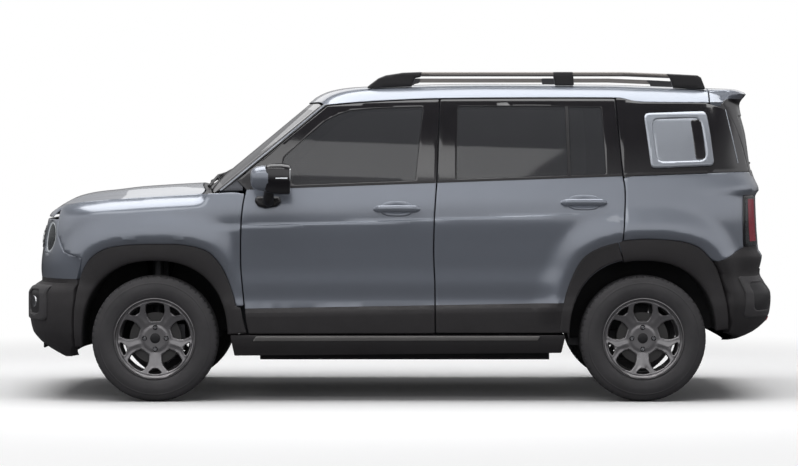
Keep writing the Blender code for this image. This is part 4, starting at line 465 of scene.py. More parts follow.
def panel(name, loops, lift, body, mats, step=0.02, corner=0.008, rings=RINGS, seams=(), pick=None, scale=1.0,
          slot=None, replaces=(), back=True, grid=(None, None), loops_rounded=True):
    """A fine panel: flat outlines (u, v), rounded, gridded, and bent by lift(u, v, inner)."""
    bm = bmesh.new()
    deep = bm.verts.layers.float.new("deep")
    edges = []
    for k, loop in enumerate(loops):
        loop = [(u * scale, v) for u, v in loop]
        if loops_rounded:
            loop = rounded(loop, corner if k == 0 else corner * 1.5)
        loop = turned_left(refine(loop, step), k == 0)
        last = None
        for by, depth in rings:
            ring = [bm.verts.new((u, v, 0.0)) for u, v in inset(loop, by)]
            for vert in ring:
                vert[deep] = depth
            if last:
                for i in range(len(ring)):
                    j = (i + 1) % len(ring)
                    bm.faces.new((last[i], last[j], ring[j], ring[i]))
            last = ring
        edges += [bm.edges.get(ends) or bm.edges.new(ends) for ends in zip(last, last[1:] + last[:1])]
    filled = bmesh.ops.triangle_fill(bm, use_beauty=False, use_dissolve=False, edges=edges)
    faces = [f for f in filled["geom"] if isinstance(f, bmesh.types.BMFace)]
    inside = set(faces)
    within = {e for f in faces for e in f.edges
              if len(e.link_faces) == 2 and all(x in inside for x in e.link_faces)}
    bmesh.ops.dissolve_limit(bm, angle_limit=FLAT_ANGLE, use_dissolve_boundaries=False, verts=[],
                             edges=list(within))
    us, vs = [v.co.x for v in bm.verts], [v.co.y for v in bm.verts]
    cuts = [((place[0] * scale, place[1]), (way[0] / scale, way[1])) for place, way in seams]
    gu, gv = grid[0] or step, grid[1] or step
    cuts += [((u, 0.0), (1.0, 0.0)) for u in np.arange(min(us) + gu * GRID_PHASE[0], max(us), gu)]
    cuts += [((0.0, v), (0.0, 1.0)) for v in np.arange(min(vs) + gv * GRID_PHASE[1], max(vs), gv)]
    for place, way in cuts:
        bmesh.ops.bisect_plane(bm, geom=bm.verts[:] + bm.edges[:] + bm.faces[:], dist=CUT_MERGE,
                               plane_co=(*place, 0.0), plane_no=(*way, 0.0))
    bmesh.ops.recalc_face_normals(bm, faces=bm.faces[:])
    if sum(f.normal.z for f in bm.faces) < 0:
        bmesh.ops.reverse_faces(bm, faces=bm.faces[:])
    front = list(bm.faces)
    for face in front:
        centre = face.calc_center_median()
        face.material_index = pick(centre.x / scale, centre.y, False) if pick else 0
    verts = list(bm.verts)
    flat = {v: (v.co.x / scale, v.co.y) for v in verts}
    if back:
        rim = [e for e in bm.edges if len(e.link_faces) == 1]
        twin = {v: bm.verts.new(v.co) for v in verts}
        for face in front:
            made = bm.faces.new([twin[v] for v in reversed(face.verts)])
            centre = face.calc_center_median()
            made.material_index = pick(centre.x / scale, centre.y, True) if pick else 0
        for e in rim:
            a, b = e.verts
            face = e.link_faces[0]
            order = list(face.verts)
            i = order.index(a)
            ahead = order[(i + 1) % len(order)] is b
            first, second = (b, a) if ahead else (a, b)
            wall = bm.faces.new((first, second, twin[second], twin[first]))
            wall.material_index = face.material_index
        for v, t in twin.items():
            t.co = Vector(lift(*flat[v], True))
    for v in verts:
        outer = Vector(lift(*flat[v], False))
        if v[deep] > 0:
            inner = Vector(lift(*flat[v], True))
            way = inner - outer
            if way.length > 1e-6:
                outer += way.normalized() * min(v[deep], way.length * DEEPEST_EDGE)
        v.co = outer
    bmesh.ops.recalc_face_normals(bm, faces=bm.faces[:])
    if bm.calc_volume(signed=True) < 0:
        bmesh.ops.reverse_faces(bm, faces=bm.faces[:])
    mesh = finished(bm, name)
    obj = loose(name, mesh, body, mats, slot)
    if replaces:
        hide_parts(*replaces)
    return obj


def flipped(obj, name, body, replaces=()):
    """The mirror image of a piece, on the right side."""
    mesh = obj.data.copy()
    mesh.name = name
    mesh.transform(Matrix.Scale(-1.0, 4, (0.0, 1.0, 0.0)))
    mesh.flip_normals()
    twin = bpy.data.objects.new(name, mesh)
    bpy.context.scene.collection.objects.link(twin)
    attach(twin, body)
    if "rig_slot" in obj:
        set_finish(twin, obj["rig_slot"])
    if replaces:
        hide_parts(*replaces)
    return twin


def right_of(body):
    return body.replace("_left", "_right")


def pair(make, name, body, replaces=()):
    """A piece on the left and its mirror image on the right."""
    left = make(name + "_left", body, [n + "_left" for n in replaces])
    return left, flipped(left, name + "_right", right_of(body), [n + "_right" for n in replaces])


# Free forms
def lofted(name, sections, body, mats, close=True, caps=True, slot=None, smooth_deg=40):
    """A skin through rings of points, all with the same count."""
    bm = bmesh.new()
    rings = [[bm.verts.new(p) for p in ring] for ring in sections]
    count = len(rings[0])
    for a, b in zip(rings, rings[1:]):
        for i in range(count if close else count - 1):
            j = (i + 1) % count
            bm.faces.new((a[i], a[j], b[j], b[i]))
    if caps:
        bm.faces.new(list(reversed(rings[0])))
        bm.faces.new(rings[-1])
    bmesh.ops.recalc_face_normals(bm, faces=bm.faces[:])
    mesh = finished(bm, name)
    return loose(name, mesh, body, mats, slot, smooth_deg)


def spun(name, profile, centre, axis_out, body, mats, steps=96, slot=None, closed=True, pick=None,
         smooth_deg=35):
    """A ring round the Y axis: profile points are (radius, place outwards)."""
    bm = bmesh.new()
    rows = []
    for a in angles(steps):
        rows.append([bm.verts.new((centre[0] + r * math.cos(a), centre[1] + axis_out * y,
                                   centre[2] + r * math.sin(a)))
                     for r, y in profile])
    count = len(profile)
    for i in range(steps):
        a, b = rows[i], rows[(i + 1) % steps]
        for j in range(count if closed else count - 1):
            k = (j + 1) % count
            face = bm.faces.new((a[j], a[k], b[k], b[j]))
            if pick:
                face.material_index = pick(j)
    bmesh.ops.remove_doubles(bm, verts=bm.verts, dist=1e-6)
    bmesh.ops.recalc_face_normals(bm, faces=bm.faces[:])
    mesh = finished(bm, name)
    return loose(name, mesh, body, mats, slot, smooth_deg)


def soft_box(name, low, high, radius, body, mats, slot=None, steps=3, shape=None):
    """A block with rounded edges; shape may move each point."""
    bm = bmesh.new()
    size = [b - a for a, b in zip(low, high)]
    centre = [(a + b) / 2 for a, b in zip(low, high)]
    bmesh.ops.create_cube(bm, size=1.0, matrix=Matrix.Translation(centre) @ Matrix.Diagonal((*size, 1.0)))
    bmesh.ops.bevel(bm, geom=bm.edges[:], offset=radius, segments=steps, profile=0.5, affect="EDGES")
    if shape:
        for vert in bm.verts:
            vert.co = shape(vert.co)
    mesh = finished(bm, name)
    return loose(name, mesh, body, mats, slot)


def bar(name, points, radius, body, mats, sides=12, slot=None):
    """A round bar along points."""
    rings = []
    points = [Vector(p) for p in points]
    for i, p in enumerate(points):
        way = (points[min(i + 1, len(points) - 1)] - points[max(i - 1, 0)]).normalized()
        side = way.cross(Vector((0, 0, 1)))
        side = side.normalized() if side.length > 1e-3 else Vector((1, 0, 0))
        up = side.cross(way)
        r = radius[i] if isinstance(radius, (list, tuple)) else radius
        rings.append([p + side * r * math.cos(a) + up * r * math.sin(a) for a in angles(sides)])
    return lofted(name, rings, body, mats, slot=slot)


# Outlines of the CAD's panels
FRONT_EDGE = ((0.21, 0.041), (0.24, 0.029), (0.326, 0.014), (0.443, 0.0), (0.562, 0.004), (0.623, 0.015),
              (0.662, 0.029))
POST_EDGE = ((0.21, 0.006), (0.36, 0.004), (0.467, -0.003), (0.574, 0.001), (0.686, 0.014), (0.814, 0.023),
             (0.98, 0.034))
REAR_EDGE = ((0.455, -0.016), (0.49, -0.012), (0.574, -0.002), (0.654, 0.003), (0.702, -0.007),
             (0.84, -0.025), (0.98, -0.041))
FRONT_ARCH = ((-0.94, -0.10), (-0.95, 0.12), (-0.945, 0.276), (-0.92, 0.45), (-0.875, 0.63), (-0.798, 0.79),
              (-0.673, 0.903), (-0.496, 0.968), (-0.211, 0.996), (0.0, 1.0), (0.213, 1.0), (0.447, 0.976),
              (0.624, 0.92), (0.749, 0.807), (0.856, 0.63), (0.927, 0.437), (0.955, 0.345), (1.000, 0.325),
              (1.032, 0.20), (1.073, 0.060))
REAR_ARCH = ((-0.98, -0.02), (-0.965, 0.2), (-0.92, 0.42), (-0.85, 0.62), (-0.70, 0.86), (-0.50, 0.97),
             (-0.30, 1.02),
             (-0.24, 1.035), (0.05, 1.054), (0.396, 1.034), (0.624, 0.972), (0.764, 0.857), (0.856, 0.732),
             (0.925, 0.545), (0.97, 0.378), (0.99, 0.233), (0.995, 0.10))
REACH, HEIGHT, TYRE_R = 0.450, 0.497, 0.331
DOOR_LOW, ROCKER_TOP = 0.358, 0.350
LINER_LONG, LINER_HIGH, LINER_POWER = 0.383, 0.409, 2.3


def front_edge_x(z):
    return DOOR_FRONT_X + DOOR_LENGTH * read_table(FRONT_EDGE, z / BODY_HEIGHT)


def post_edge_x(z):
    return POST_X + DOOR_LENGTH * read_table(POST_EDGE, z / BODY_HEIGHT)


def rear_edge_x(z):
    return REAR_DOOR_X + DOOR_LENGTH * read_table(REAR_EDGE, z / BODY_HEIGHT)


def edge_up(edge, low, high, shift, count=14):
    return [(edge(z) + shift, z) for z in (across(low, high, i / count) for i in range(count + 1))]


def liner_point(centre_x, along, up, grow):
    angle = math.atan2(up, along)
    c, s = abs(math.cos(angle)), abs(math.sin(angle))
    power = LINER_POWER
    radius = ((c / LINER_LONG) ** power + (s / LINER_HIGH) ** power) ** (-1.0 / power) + grow
    return (centre_x + radius * math.cos(angle), TYRE_R + radius * math.sin(angle))


def arch_share(table, i):
    """Station of an arch between its rows, smoothed."""
    return tuple(read_table(column, i) for column in ARCH_COLUMNS[id(table)])


ARCH_COLUMNS = {id(table): [tuple((float(k), row[axis]) for k, row in enumerate(table)) for axis in (0, 1)]
                for table in (FRONT_ARCH, REAR_ARCH)}


def arch_points(centre_x, table, part, first, last, count=40):
    points = []
    for k in range(count + 1):
        sx, sz = arch_share(table, across(first, last, k / count))
        along, up = sx * REACH, sz * HEIGHT
        inner = liner_point(centre_x, along, up, 0.0)
        points.append((across(inner[0], centre_x + along, part), across(inner[1], TYRE_R + up, part)))
    return points


def arch_radius(table):
    places = [(sx * REACH, sz * HEIGHT) for sx, sz in table]
    return tuple(sorted((math.atan2(up, along), math.hypot(along, up)) for along, up in places))


ARCH_LINES = ((FRONT_X, arch_radius(FRONT_ARCH)), (REAR_X, arch_radius(REAR_ARCH)))


FLARE_REACH, FLARE_EDGE, FLARE_SWELL = 0.75, 0.004, 0.020
FLARE_RISE_START, FLARE_RISE, FLARE_FALL_START, FLARE_FALL = 0.005, 0.035, 0.026, 0.15
FLARE_LOW_START, FLARE_LOW = 0.05, 0.15
FLARE_DOOR_X, FLARE_DOOR_FADE = -0.835, 0.06


def flare(x, z):
    """How far the paint stands out round a wheel arch."""
    proud = 0.0
    for centre_x, line in ARCH_LINES:
        along, up = x - centre_x, z - TYRE_R
        if up < 0.0 or abs(along) > FLARE_REACH or up > FLARE_REACH:
            continue
        out = math.hypot(along, up) - linear(line, math.atan2(up, along))
        rise = smooth((out + FLARE_RISE_START) / FLARE_RISE)
        fall = smooth((out - FLARE_FALL_START) / FLARE_FALL)
        low = smooth((up - FLARE_LOW_START) / FLARE_LOW)
        shut = smooth((FLARE_DOOR_X - x) / FLARE_DOOR_FADE) if centre_x < 0 else 1.0
        proud = max(proud, (FLARE_EDGE + FLARE_SWELL * rise) * (1.0 - fall) * low * shut)
    return proud


CREASE_X, CREASE_LOW_Z, CREASE_HIGH_Z, CREASE_LENGTH = -0.818, 0.921, 0.957, 0.998
CREASE_STEP, CREASE_SOFT, CREASE_FADE, CREASE_HOLLOW = 0.0055, 0.006, 0.10, 0.004
CLAD_FRONT_Z, CLAD_REAR_Z, DOORS_LENGTH = 0.489, 0.525, 2.007
CLAD_STEP, CLAD_STAND, CLAD_LEAN = 0.0015, 0.0065, 0.045
TUCK, TUCK_Z, TUCK_DEPTH, TUCK_BACK = 0.011, 0.625, 0.115, 0.020


def crease_z(x):
    return across(CREASE_LOW_Z, CREASE_HIGH_Z, (x - CREASE_X) / CREASE_LENGTH)


def crease(x, z):
    """The doors' step: the side above it lies a little further in."""
    fade = smooth((x + 1.05) / 0.18) * smooth((1.06 - x) / 0.30)
    above = z - crease_z(x)
    rise = smooth((above + CREASE_SOFT) / (2 * CREASE_SOFT))
    step = CREASE_STEP * rise * (1.0 - smooth(above / CREASE_FADE))
    hollow = CREASE_HOLLOW * smooth((crease_z(x) - z) / 0.15) * smooth((z - 0.60) / 0.12)
    return (step + hollow) * fade


def clad_z(x):
    return across(CLAD_FRONT_Z, CLAD_REAR_Z, (x - DOOR_FRONT_X) / DOORS_LENGTH)


def tuck(x, z):
    """The doors' paint draws in towards the cladding's upper edge."""
    ends = smooth((x + 0.86) / 0.06) * smooth((0.84 - x) / 0.10)
    back = 1.0 - smooth((clad_z(x) - z) / TUCK_BACK)
    return TUCK * smooth((TUCK_Z - z) / TUCK_DEPTH) * ends * back


def cladding(x, z):
    """Doors' cladding: a leaning facet under the paint line, then upright."""
    drop = clad_z(x) - z
    if drop < 0:
        return 0.0
    return CLAD_STEP + CLAD_STAND * smooth(drop / CLAD_LEAN)


def body_y(x, z):
    return side_y(x, z) + flare(x, z) - crease(x, z) - tuck(x, z)


def rear_ends(x, z):
    along, up = x - REAR_X, z - TYRE_R
    near = liner_point(REAR_X, along, up, 0.0)
    gap = math.hypot(along, up) - math.hypot(near[0] - REAR_X, near[1] - TYRE_R)
    return x - post_edge_x(z), min(gap, rear_edge_x(z) - x) if z < BELT_FRONT_Z else rear_edge_x(z) - x


def front_ends(x, z):
    return x - front_edge_x(z), post_edge_x(z) - x


def door_lift(ends):
    def lift(x, z, inner):
        if not inner:
            return (x, -(body_y(x, z) + cladding(x, z)), z)
        front, rear = ends(x, z)
        shift = clamped(1.0 - front / EDGE_SHIFT_REACH) - clamped(1.0 - rear / EDGE_SHIFT_REACH)
        return (x + EDGE_SHIFT * shift, -(side_y(x, z) - door_depth(z, x)), z)
    return lift


def door_pick(x, z, inner):
    if inner:
        return 3 if z < belt_z(x) else 2
    if z > belt_z(x):
        return 2
    return 1 if z < clad_z(x) else 0


BELT_SLOPE = (BELT_REAR_Z - BELT_FRONT_Z) / (REAR_DOOR_X - DOOR_FRONT_X)
CLAD_SLOPE = (CLAD_REAR_Z - CLAD_FRONT_Z) / DOORS_LENGTH
CREASE_SLOPE = 0.036 / CREASE_LENGTH
DOOR_SEAMS = [((DOOR_FRONT_X, z), (-BELT_SLOPE, 1.0)) for z in (BELT_FRONT_Z, BELT_FRONT_Z - 0.030)]
DOOR_SEAMS += [((DOOR_FRONT_X, z), (-CLAD_SLOPE, 1.0)) for z in (CLAD_FRONT_Z, 0.4885, 0.466, 0.444)]
DOOR_SEAMS += [((CREASE_X, CREASE_LOW_Z + d), (-CREASE_SLOPE, 1.0)) for d in (-0.006, -0.002, 0.002, 0.006)]


def front_window():
    return [(-0.551, belt_z(-0.551) + 0.016), (0.086, belt_z(0.086) + 0.016), (0.128, 1.549), (-0.05, 1.543),
            (-0.16, 1.538), (-0.259, 1.528), (-0.32, 1.508), (-0.386, 1.475), (-0.50, 1.378),
            (-0.60, 1.285), (-0.61, 1.25)]


def rear_window():
    return [(0.30, belt_z(0.30) + 0.016), (1.085, belt_z(1.085) + 0.014), (1.07, 1.545), (0.70, 1.553),
            (0.31, 1.551)]


def front_door_loop():
    low = DOOR_LOW
    top_z = roof_edge_z(ROOF_START_X + 0.016) - DOOR_TOP_GAP
    loop = edge_up(front_edge_x, low, BELT_FRONT_Z, SHUT / 2)
    loop += [(pillar_x(z) + PILLAR_WIDTH, z) for z in (1.16, 1.20, 1.26, 1.32, 1.38, 1.44, 1.50)]
    loop.append((pillar_x(top_z) + PILLAR_WIDTH, top_z))
    loop += [(x, roof_edge_z(x) - DOOR_TOP_GAP) for x in (-0.25, -0.18, -0.07, 0.05, 0.14)]
    top = roof_edge_z(0.21) - DOOR_TOP_GAP
    loop += edge_up(post_edge_x, low + 0.002, top, -SHUT / 2)[::-1]
    return loop


def rear_door_loop():
    low = DOOR_LOW + 0.004
    loop = edge_up(post_edge_x, low, roof_edge_z(0.22) - DOOR_TOP_GAP, SHUT / 2)
    loop += [(x, roof_edge_z(x) - DOOR_TOP_GAP) for x in (0.35, 0.5, 0.65, 0.8, 0.95, 1.05)]
    loop += edge_up(rear_edge_x, 0.765, roof_edge_z(1.13) - DOOR_TOP_GAP, 0.0)[::-1]
    loop += arch_points(REAR_X, REAR_ARCH, 0.10, 6, 0)
    loop += [(0.880, low)]
    return loop


DOOR_MATS = (PAINT, CLAD, BLACK, TRIM)


def make_doors():
    for end, loop, ends, window in (("front", front_door_loop(), front_ends, front_window()),
                                    ("rear", rear_door_loop(), rear_ends, rear_window())):
        body = f"{end}_door_left"
        door = panel(f"{end}_door_skin_left", [loop, window], door_lift(ends), body, DOOR_MATS,
                     seams=DOOR_SEAMS, pick=door_pick, slot="paint", replaces=(f"door_{end}_left",))
        flipped(door, f"{end}_door_skin_right", f"{end}_door_right", (f"door_{end}_right",))

        def pane(x, z, inner):
            return (x, -(side_y(x, z) - PANE_IN - (PANE_THICK if inner else 0.0)), z)
        glass = panel(f"{end}_glass_left", [inset(turned_left(window), 0.001)], pane, body, GLASS, step=0.05,
                      corner=0.010, rings=((0.0, 0.0),), slot="glass", replaces=(f"glass_{end}_left",))
        flipped(glass, f"{end}_glass_right", f"{end}_door_right", (f"glass_{end}_right",))


def fender_lift(x, z, inner):
    if not inner:
        return (x, -body_y(x, z), z)
    turn = shoulder_share(x, z)
    along, wide = wall_turn(nose_place(x=x, z=z)[0])
    level = PANEL_WALL * (1.0 - turn)
    return (x + level * along, -(side_y(x, z) - level * wide), z - PANEL_WALL * turn)


FENDER_TOP_XS = (-0.87, -1.0, -1.03, -1.06, -1.15, -1.28, -1.45, -1.6, -1.7, -1.745, -1.788)
FRONT_SEAM = ((-1.800, 0.968), (-1.800, 0.92), (-1.800, 0.87), (-1.786, 0.835), (-1.765, 0.787),
              (-1.73, 0.774), (-1.695, 0.763), (-1.66, 0.7535))


def make_fender(name, body, nodes):
    loop = edge_up(front_edge_x, 0.503, 1.09, -SHUT / 2)
    loop += [(x, shoulder_z(x)) for x in FENDER_TOP_XS]
    loop += list(FRONT_SEAM)
    loop += arch_points(FRONT_X, FRONT_ARCH, 1.0, 4, 16)
    return panel(name, [loop], fender_lift, body, (PAINT, SHADED_PAINT), step=0.018, slot="paint", replaces=nodes,
                 pick=inside_second)


# Nose and tail
TAILGATE_LOW, TAILGATE_HIGH = 0.600, 0.630
LAMP_TOP, LAMP_LOW, LAMP_X = 1.080, 0.812, 1.812


def tailgate_half(z):
    return across(TAILGATE_LOW, TAILGATE_HIGH, clamped((z - LAMP_TOP) / (1.400 - LAMP_TOP)))


def tail_lift(wall, proud=0.0, thin=None, extra=None):
    def lift(u, z, inner):
        reach = tail_x(z) - REAR_X
        ahead, y = (u * 2 * reach, half_width(z)) if u <= 0 else turned_point(u, z, reach, REAR_POWER)
        along = wall_turn(max(u, 0.0))[0]
        wide = clamped((abs(y) - tailgate_half(z) - SHUT) / 0.060)
        deep = wall if thin is None else across(wall(REAR_X + ahead, z), thin, clamped(u / 0.2))
        if not inner:
            out = proud + (extra(u, z) if extra else 0.0)
            out += flare(REAR_X + ahead, z) * (1.0 - smooth((u - 0.35) / 0.15)) if u < 0.5 else 0.0
            deep = -out
        wide = max(wide, clamped((0.5 - u) / 0.1)) if not inner else wide
        return (REAR_X + ahead - deep * along, -(y - deep * math.copysign(wide, y)), z)
    return lift


def nose_lift(wall, proud=0.0, extra=None):
    def lift(u, z, inner):
        ahead, y = turned_point(u, z, FRONT_X - nose_x(z), FRONT_POWER)
        along, wide = wall_turn(u)
        deep = wall if inner else -(proud + (extra(u, z) if extra else 0.0))
        return (FRONT_X - ahead + deep * along, -(y - deep * wide), z)
    return lift


def whole(half):
    return half + [(2.0 - u, v) for u, v in reversed(half)]


WRAP = 1.2


def make_quarter(name, body, nodes):
    low = 0.852
    loop = [tail_place(x=x + SHUT, z=z) for x, z in edge_up(rear_edge_x, low, 1.172, 0.0)]
    loop += [tail_place(x=x, z=belt_z(x) - 0.0015) for x in (1.22, 1.28, 1.4, 1.5, 1.6, 1.7)]
    top = belt_z(1.78)
    loop += [tail_place(y=0.72, z=top), tail_place(y=tailgate_half(top) + SHUT, z=top),
             tail_place(y=TAILGATE_LOW + SHUT, z=1.12), tail_place(y=TAILGATE_LOW + SHUT, z=LAMP_TOP + SEAT),
             tail_place(x=LAMP_X, z=LAMP_TOP + SEAT), tail_place(x=LAMP_X, z=LAMP_LOW - 0.004),
             tail_place(x=1.653, z=0.736)]
    loop += [tail_place(x=x, z=z) for x, z in arch_points(REAR_X, REAR_ARCH, 1.0, 11, 7)]
    return panel(name, [loop], tail_lift(lambda x, z: door_depth(z, x) + 0.012 - 2 * SEAT, thin=PANEL_WALL),
                 body, (PAINT, SHADED_PAINT), step=0.018, scale=WRAP, slot="paint", replaces=nodes,
                 pick=inside_second)


def make_pillar_panel(name, body, nodes):
    low = 1.174
    loop = [tail_place(x=x + SHUT, z=z)
            for x, z in edge_up(rear_edge_x, low, roof_edge_z(ROOF_EDGE_XS[5]) - 0.0035, 0.0)]
    loop += [tail_place(x=x, z=roof_edge_z(x) - 0.0035) for x in (1.19, ROOF_EDGE_XS[6], 1.30, 1.36, 1.45,
            1.55, 1.62)]
    loop += [tail_place(y=0.648, z=1.545)]
    loop += [tail_place(y=tailgate_half(z) + SHUT, z=z) for z in (1.52, 1.45, 1.37, 1.31, 1.25,
            belt_z(1.78) + 0.0015)]
    loop += [tail_place(x=x, z=belt_z(x) + 0.0015) for x in (1.7, 1.6, 1.5, 1.4, 1.28)]
    return panel(name, [loop], tail_lift(0.035), body, (BLACK,), scale=WRAP, slot="black_panel",
                 replaces=nodes)


HATCH_HOLE = ((1.352, 1.258), (1.612, 1.266), (1.583, 1.490), (1.330, 1.482))


def make_hatch_frame(name, body, nodes):
    """Silver frame on the black rear panel."""
    outer = [(1.322, 1.223), (1.650, 1.237), (1.616, 1.525), (1.290, 1.513)]
    loops = [[tail_place(x=x, z=z) for x, z in loop] for loop in (outer, HATCH_HOLE)]
    return panel(name, loops, tail_lift(-0.0005, 0.012), body, (HATCH,), step=0.012, corner=0.030, scale=WRAP,
                 rings=((0.0, 0.009), (0.003, 0.003), (0.008, 0.0)), slot="paint")


def make_hatch_plate(name, body, nodes):
    """Silver plate set back in the frame."""
    loop = [tail_place(x=x, z=z) for x, z in HATCH_HOLE]
    return panel(name, [loop], tail_lift(-0.0005, 0.006), body, (HATCH,), step=0.02, corner=0.030, scale=WRAP,
                 slot="paint")


def make_hatch_slot_shade(name, body, nodes):
    """Painted shade: a black sheet for the dark opening behind the plate's rear edge."""
    loop = [tail_place(x=x, z=z) for x, z in ((1.553, 1.268), (1.607, 1.272), (1.585, 1.482), (1.531, 1.478))]
    return panel(name, [loop], tail_lift(-0.0005, 0.0075), body, (BLACK,), step=0.02, corner=0.016,
                 scale=WRAP, slot="black_panel")


def lamp_loop(grow=0.0):
    return [tail_place(x=LAMP_X + SEAT * 2 + grow, z=LAMP_TOP - SEAT - grow),
            tail_place(y=TAILGATE_LOW + SHUT + grow, z=LAMP_TOP - SEAT - grow),
            tail_place(y=TAILGATE_LOW + SHUT + grow, z=LAMP_LOW + grow),
            tail_place(x=LAMP_X + SEAT * 2 + grow, z=LAMP_LOW + grow)]


def make_tail_lamp(name, body, nodes):
    return panel(name, [lamp_loop()], tail_lift(0.06, 0.001), body, (BLACK,), step=0.012, scale=WRAP,
                 corner=0.02, slot="lamp_red", replaces=nodes)


def make_tail_lens(name, body, nodes):
    return panel(name, [lamp_loop(0.006)], tail_lift(-0.0055, 0.009), body, (CLEAR,), step=0.012, scale=WRAP,
                 corner=0.02, rings=((0.0, 0.004), (0.003, 0.001), (0.006, 0.0)), slot="lamp_clear")


def make_tail_strips(name, body, nodes):
    """Red light bars inside the lens."""
    u0, u1 = tail_place(x=LAMP_X + 0.03, z=0.95)[0], tail_place(y=TAILGATE_LOW + 0.04, z=0.95)[0]
    outer = [(u0, 0.838), (u1, 0.838), (u1, 1.062), (u0, 1.062)]
    gap = [(u0 + 0.03, 0.944), (u1 - 0.03, 0.944), (u1 - 0.03, 0.952), (u0 + 0.03, 0.952)]
    return panel(name, [outer, gap], tail_lift(-0.0015, 0.0045), body, (RED,), step=0.012, scale=WRAP,
                 corner=0.003, slot="lamp_red")


def make_rear_line(name, body, nodes):
    """Thin bright line down the black rear panel, in front of the tailgate's gap."""
    points = [tail_place(x=across(1.730, 1.788, i / 12), z=across(1.535, 1.250, i / 12)) for i in range(13)]
    return strip_on((tail_lift(0, 0.0), tail_lift(0, 0.0015)), points, name, body, (HATCH,), 0.005, "paint")


REAR_BUMPER_HALF = [(1.0, 0.686), tail_place(y=0.3, z=0.686), tail_place(y=TAILGATE_LOW, z=0.686),
                    tail_place(y=TAILGATE_LOW + SHUT, z=LAMP_LOW - 2 * SEAT),
                    tail_place(x=LAMP_X + 3 * SEAT, z=LAMP_LOW - 2 * SEAT),
                    tail_place(x=LAMP_X + 3 * SEAT, z=LAMP_LOW - 0.0045),
                    tail_place(x=1.653, z=0.736 - 2 * SEAT),
                    tail_place(x=1.690, z=0.669), tail_place(x=1.706, z=0.602), tail_place(x=1.722, z=0.519),
                    tail_place(x=1.735, z=0.447), tail_place(x=1.735, z=0.36), tail_place(x=1.80, z=0.325),
                    tail_place(y=0.6, z=0.31), (1.0, 0.31)]


def make_rear_bumper():
    panel("rear_bumper_skin", [whole(REAR_BUMPER_HALF)], tail_lift(0.035), "body", (CLAD, UNDER), step=0.018,
          scale=WRAP, slot="cladding", replaces=("rear_bumper",), pick=inside_second)


LAMP_Y, LAMP_Z, LAMP_R = 0.610, 0.858, 0.088


def ring_on_nose(radius, steps=48):
    return [nose_place(y=LAMP_Y + radius * math.cos(2 * math.pi * i / steps),
                       z=LAMP_Z + radius * math.sin(2 * math.pi * i / steps)) for i in range(steps)]


def make_nose():
    top = 0.953
    half = [(1.0, top), nose_place(y=0.45, z=top), nose_place(x=-1.800 - 0.0032, z=top)]
    half += [nose_place(x=x - 0.0008, z=z - 0.0008) for x, z in FRONT_SEAM[1:]]
    half += [nose_place(x=-1.676, z=0.70), nose_place(x=-1.694, z=0.6406), (1.0, 0.6406)]
    left = ring_on_nose(LAMP_R)
    panel("nose_skin", [whole(half), left, [(2.0 - u, v) for u, v in left]], nose_lift(PANEL_WALL), "body",
          (PAINT, SHADED_PAINT, BLACK), step=0.018, scale=WRAP, slot="paint", replaces=("nose_panel",), corner=0.006,
          pick=inside_second)


def inside_second(u, v, inner):
    """The second material on the inner side."""
    return 1 if inner else 0


def make_front_bumper():
    half = [(1.0, 0.640), nose_place(x=-1.694, z=0.640), nose_place(x=-1.708, z=0.555),
            nose_place(x=-1.7175, z=0.47),
            nose_place(x=-1.7175, z=0.36), nose_place(x=-1.7175, z=0.29), nose_place(y=0.70, z=0.235),
            nose_place(y=0.5, z=0.215), (1.0, 0.21)]
    intake = [nose_place(y=0.46, z=0.36), nose_place(y=0.40, z=0.30)]
    intake += [(2.0 - u, v) for u, v in reversed(intake)]
    intake += [(2.0 - u, v) for u, v in [nose_place(y=0.44, z=0.43)]] + [nose_place(y=0.44, z=0.43)]
    panel("front_bumper_skin", [whole(half), intake], nose_lift(0.035), "body", (CLAD, UNDER), step=0.018,
          scale=WRAP, slot="cladding", replaces=("front_bumper",), pick=inside_second)


def make_headlamp(name, body, nodes):
    """Dark bowl behind the lens."""
    return panel(name, [ring_on_nose(LAMP_R - 0.0008)], nose_lift(0.06, -0.012), body, (SATIN_BLACK,),
                 step=0.012, scale=WRAP, corner=0.0, loops_rounded=False, slot="lamp_clear", replaces=nodes)


def bulge(u, z):
    y = turned_point(u, z, FRONT_X - nose_x(z), FRONT_POWER)[1]
    out = math.hypot(abs(y) - LAMP_Y, z - LAMP_Z) / LAMP_R
    return 0.024 * (1.0 - clamped(out) ** 3)


def make_head_lens(name, body, nodes):
    return panel(name, [ring_on_nose(LAMP_R - 0.0015)], nose_lift(0.003, 0.002, bulge), body, (CLEAR,),
                 step=0.010, scale=WRAP, corner=0.0, loops_rounded=False,
                 rings=((0.0, 0.002), (0.002, 0.0005), (0.004, 0.0)),
                 slot="lamp_clear")


def make_head_ring(name, body, nodes):
    """Bright ring light round the lamp's bowl."""
    return panel(name, [ring_on_nose(LAMP_R - 0.006), ring_on_nose(LAMP_R - 0.016)],
                 nose_lift(0.011, -0.006), body,
                 (WHITE_LIGHT,), step=0.010, scale=WRAP, corner=0.0, loops_rounded=False,
                 rings=((0.0, 0.002), (0.002, 0.0)), slot="lamp_clear")


# Roof, bonnet, screens, tailgate
def mirrored_loop(half):
    return half + [(x, -y) for x, y in reversed(half)]


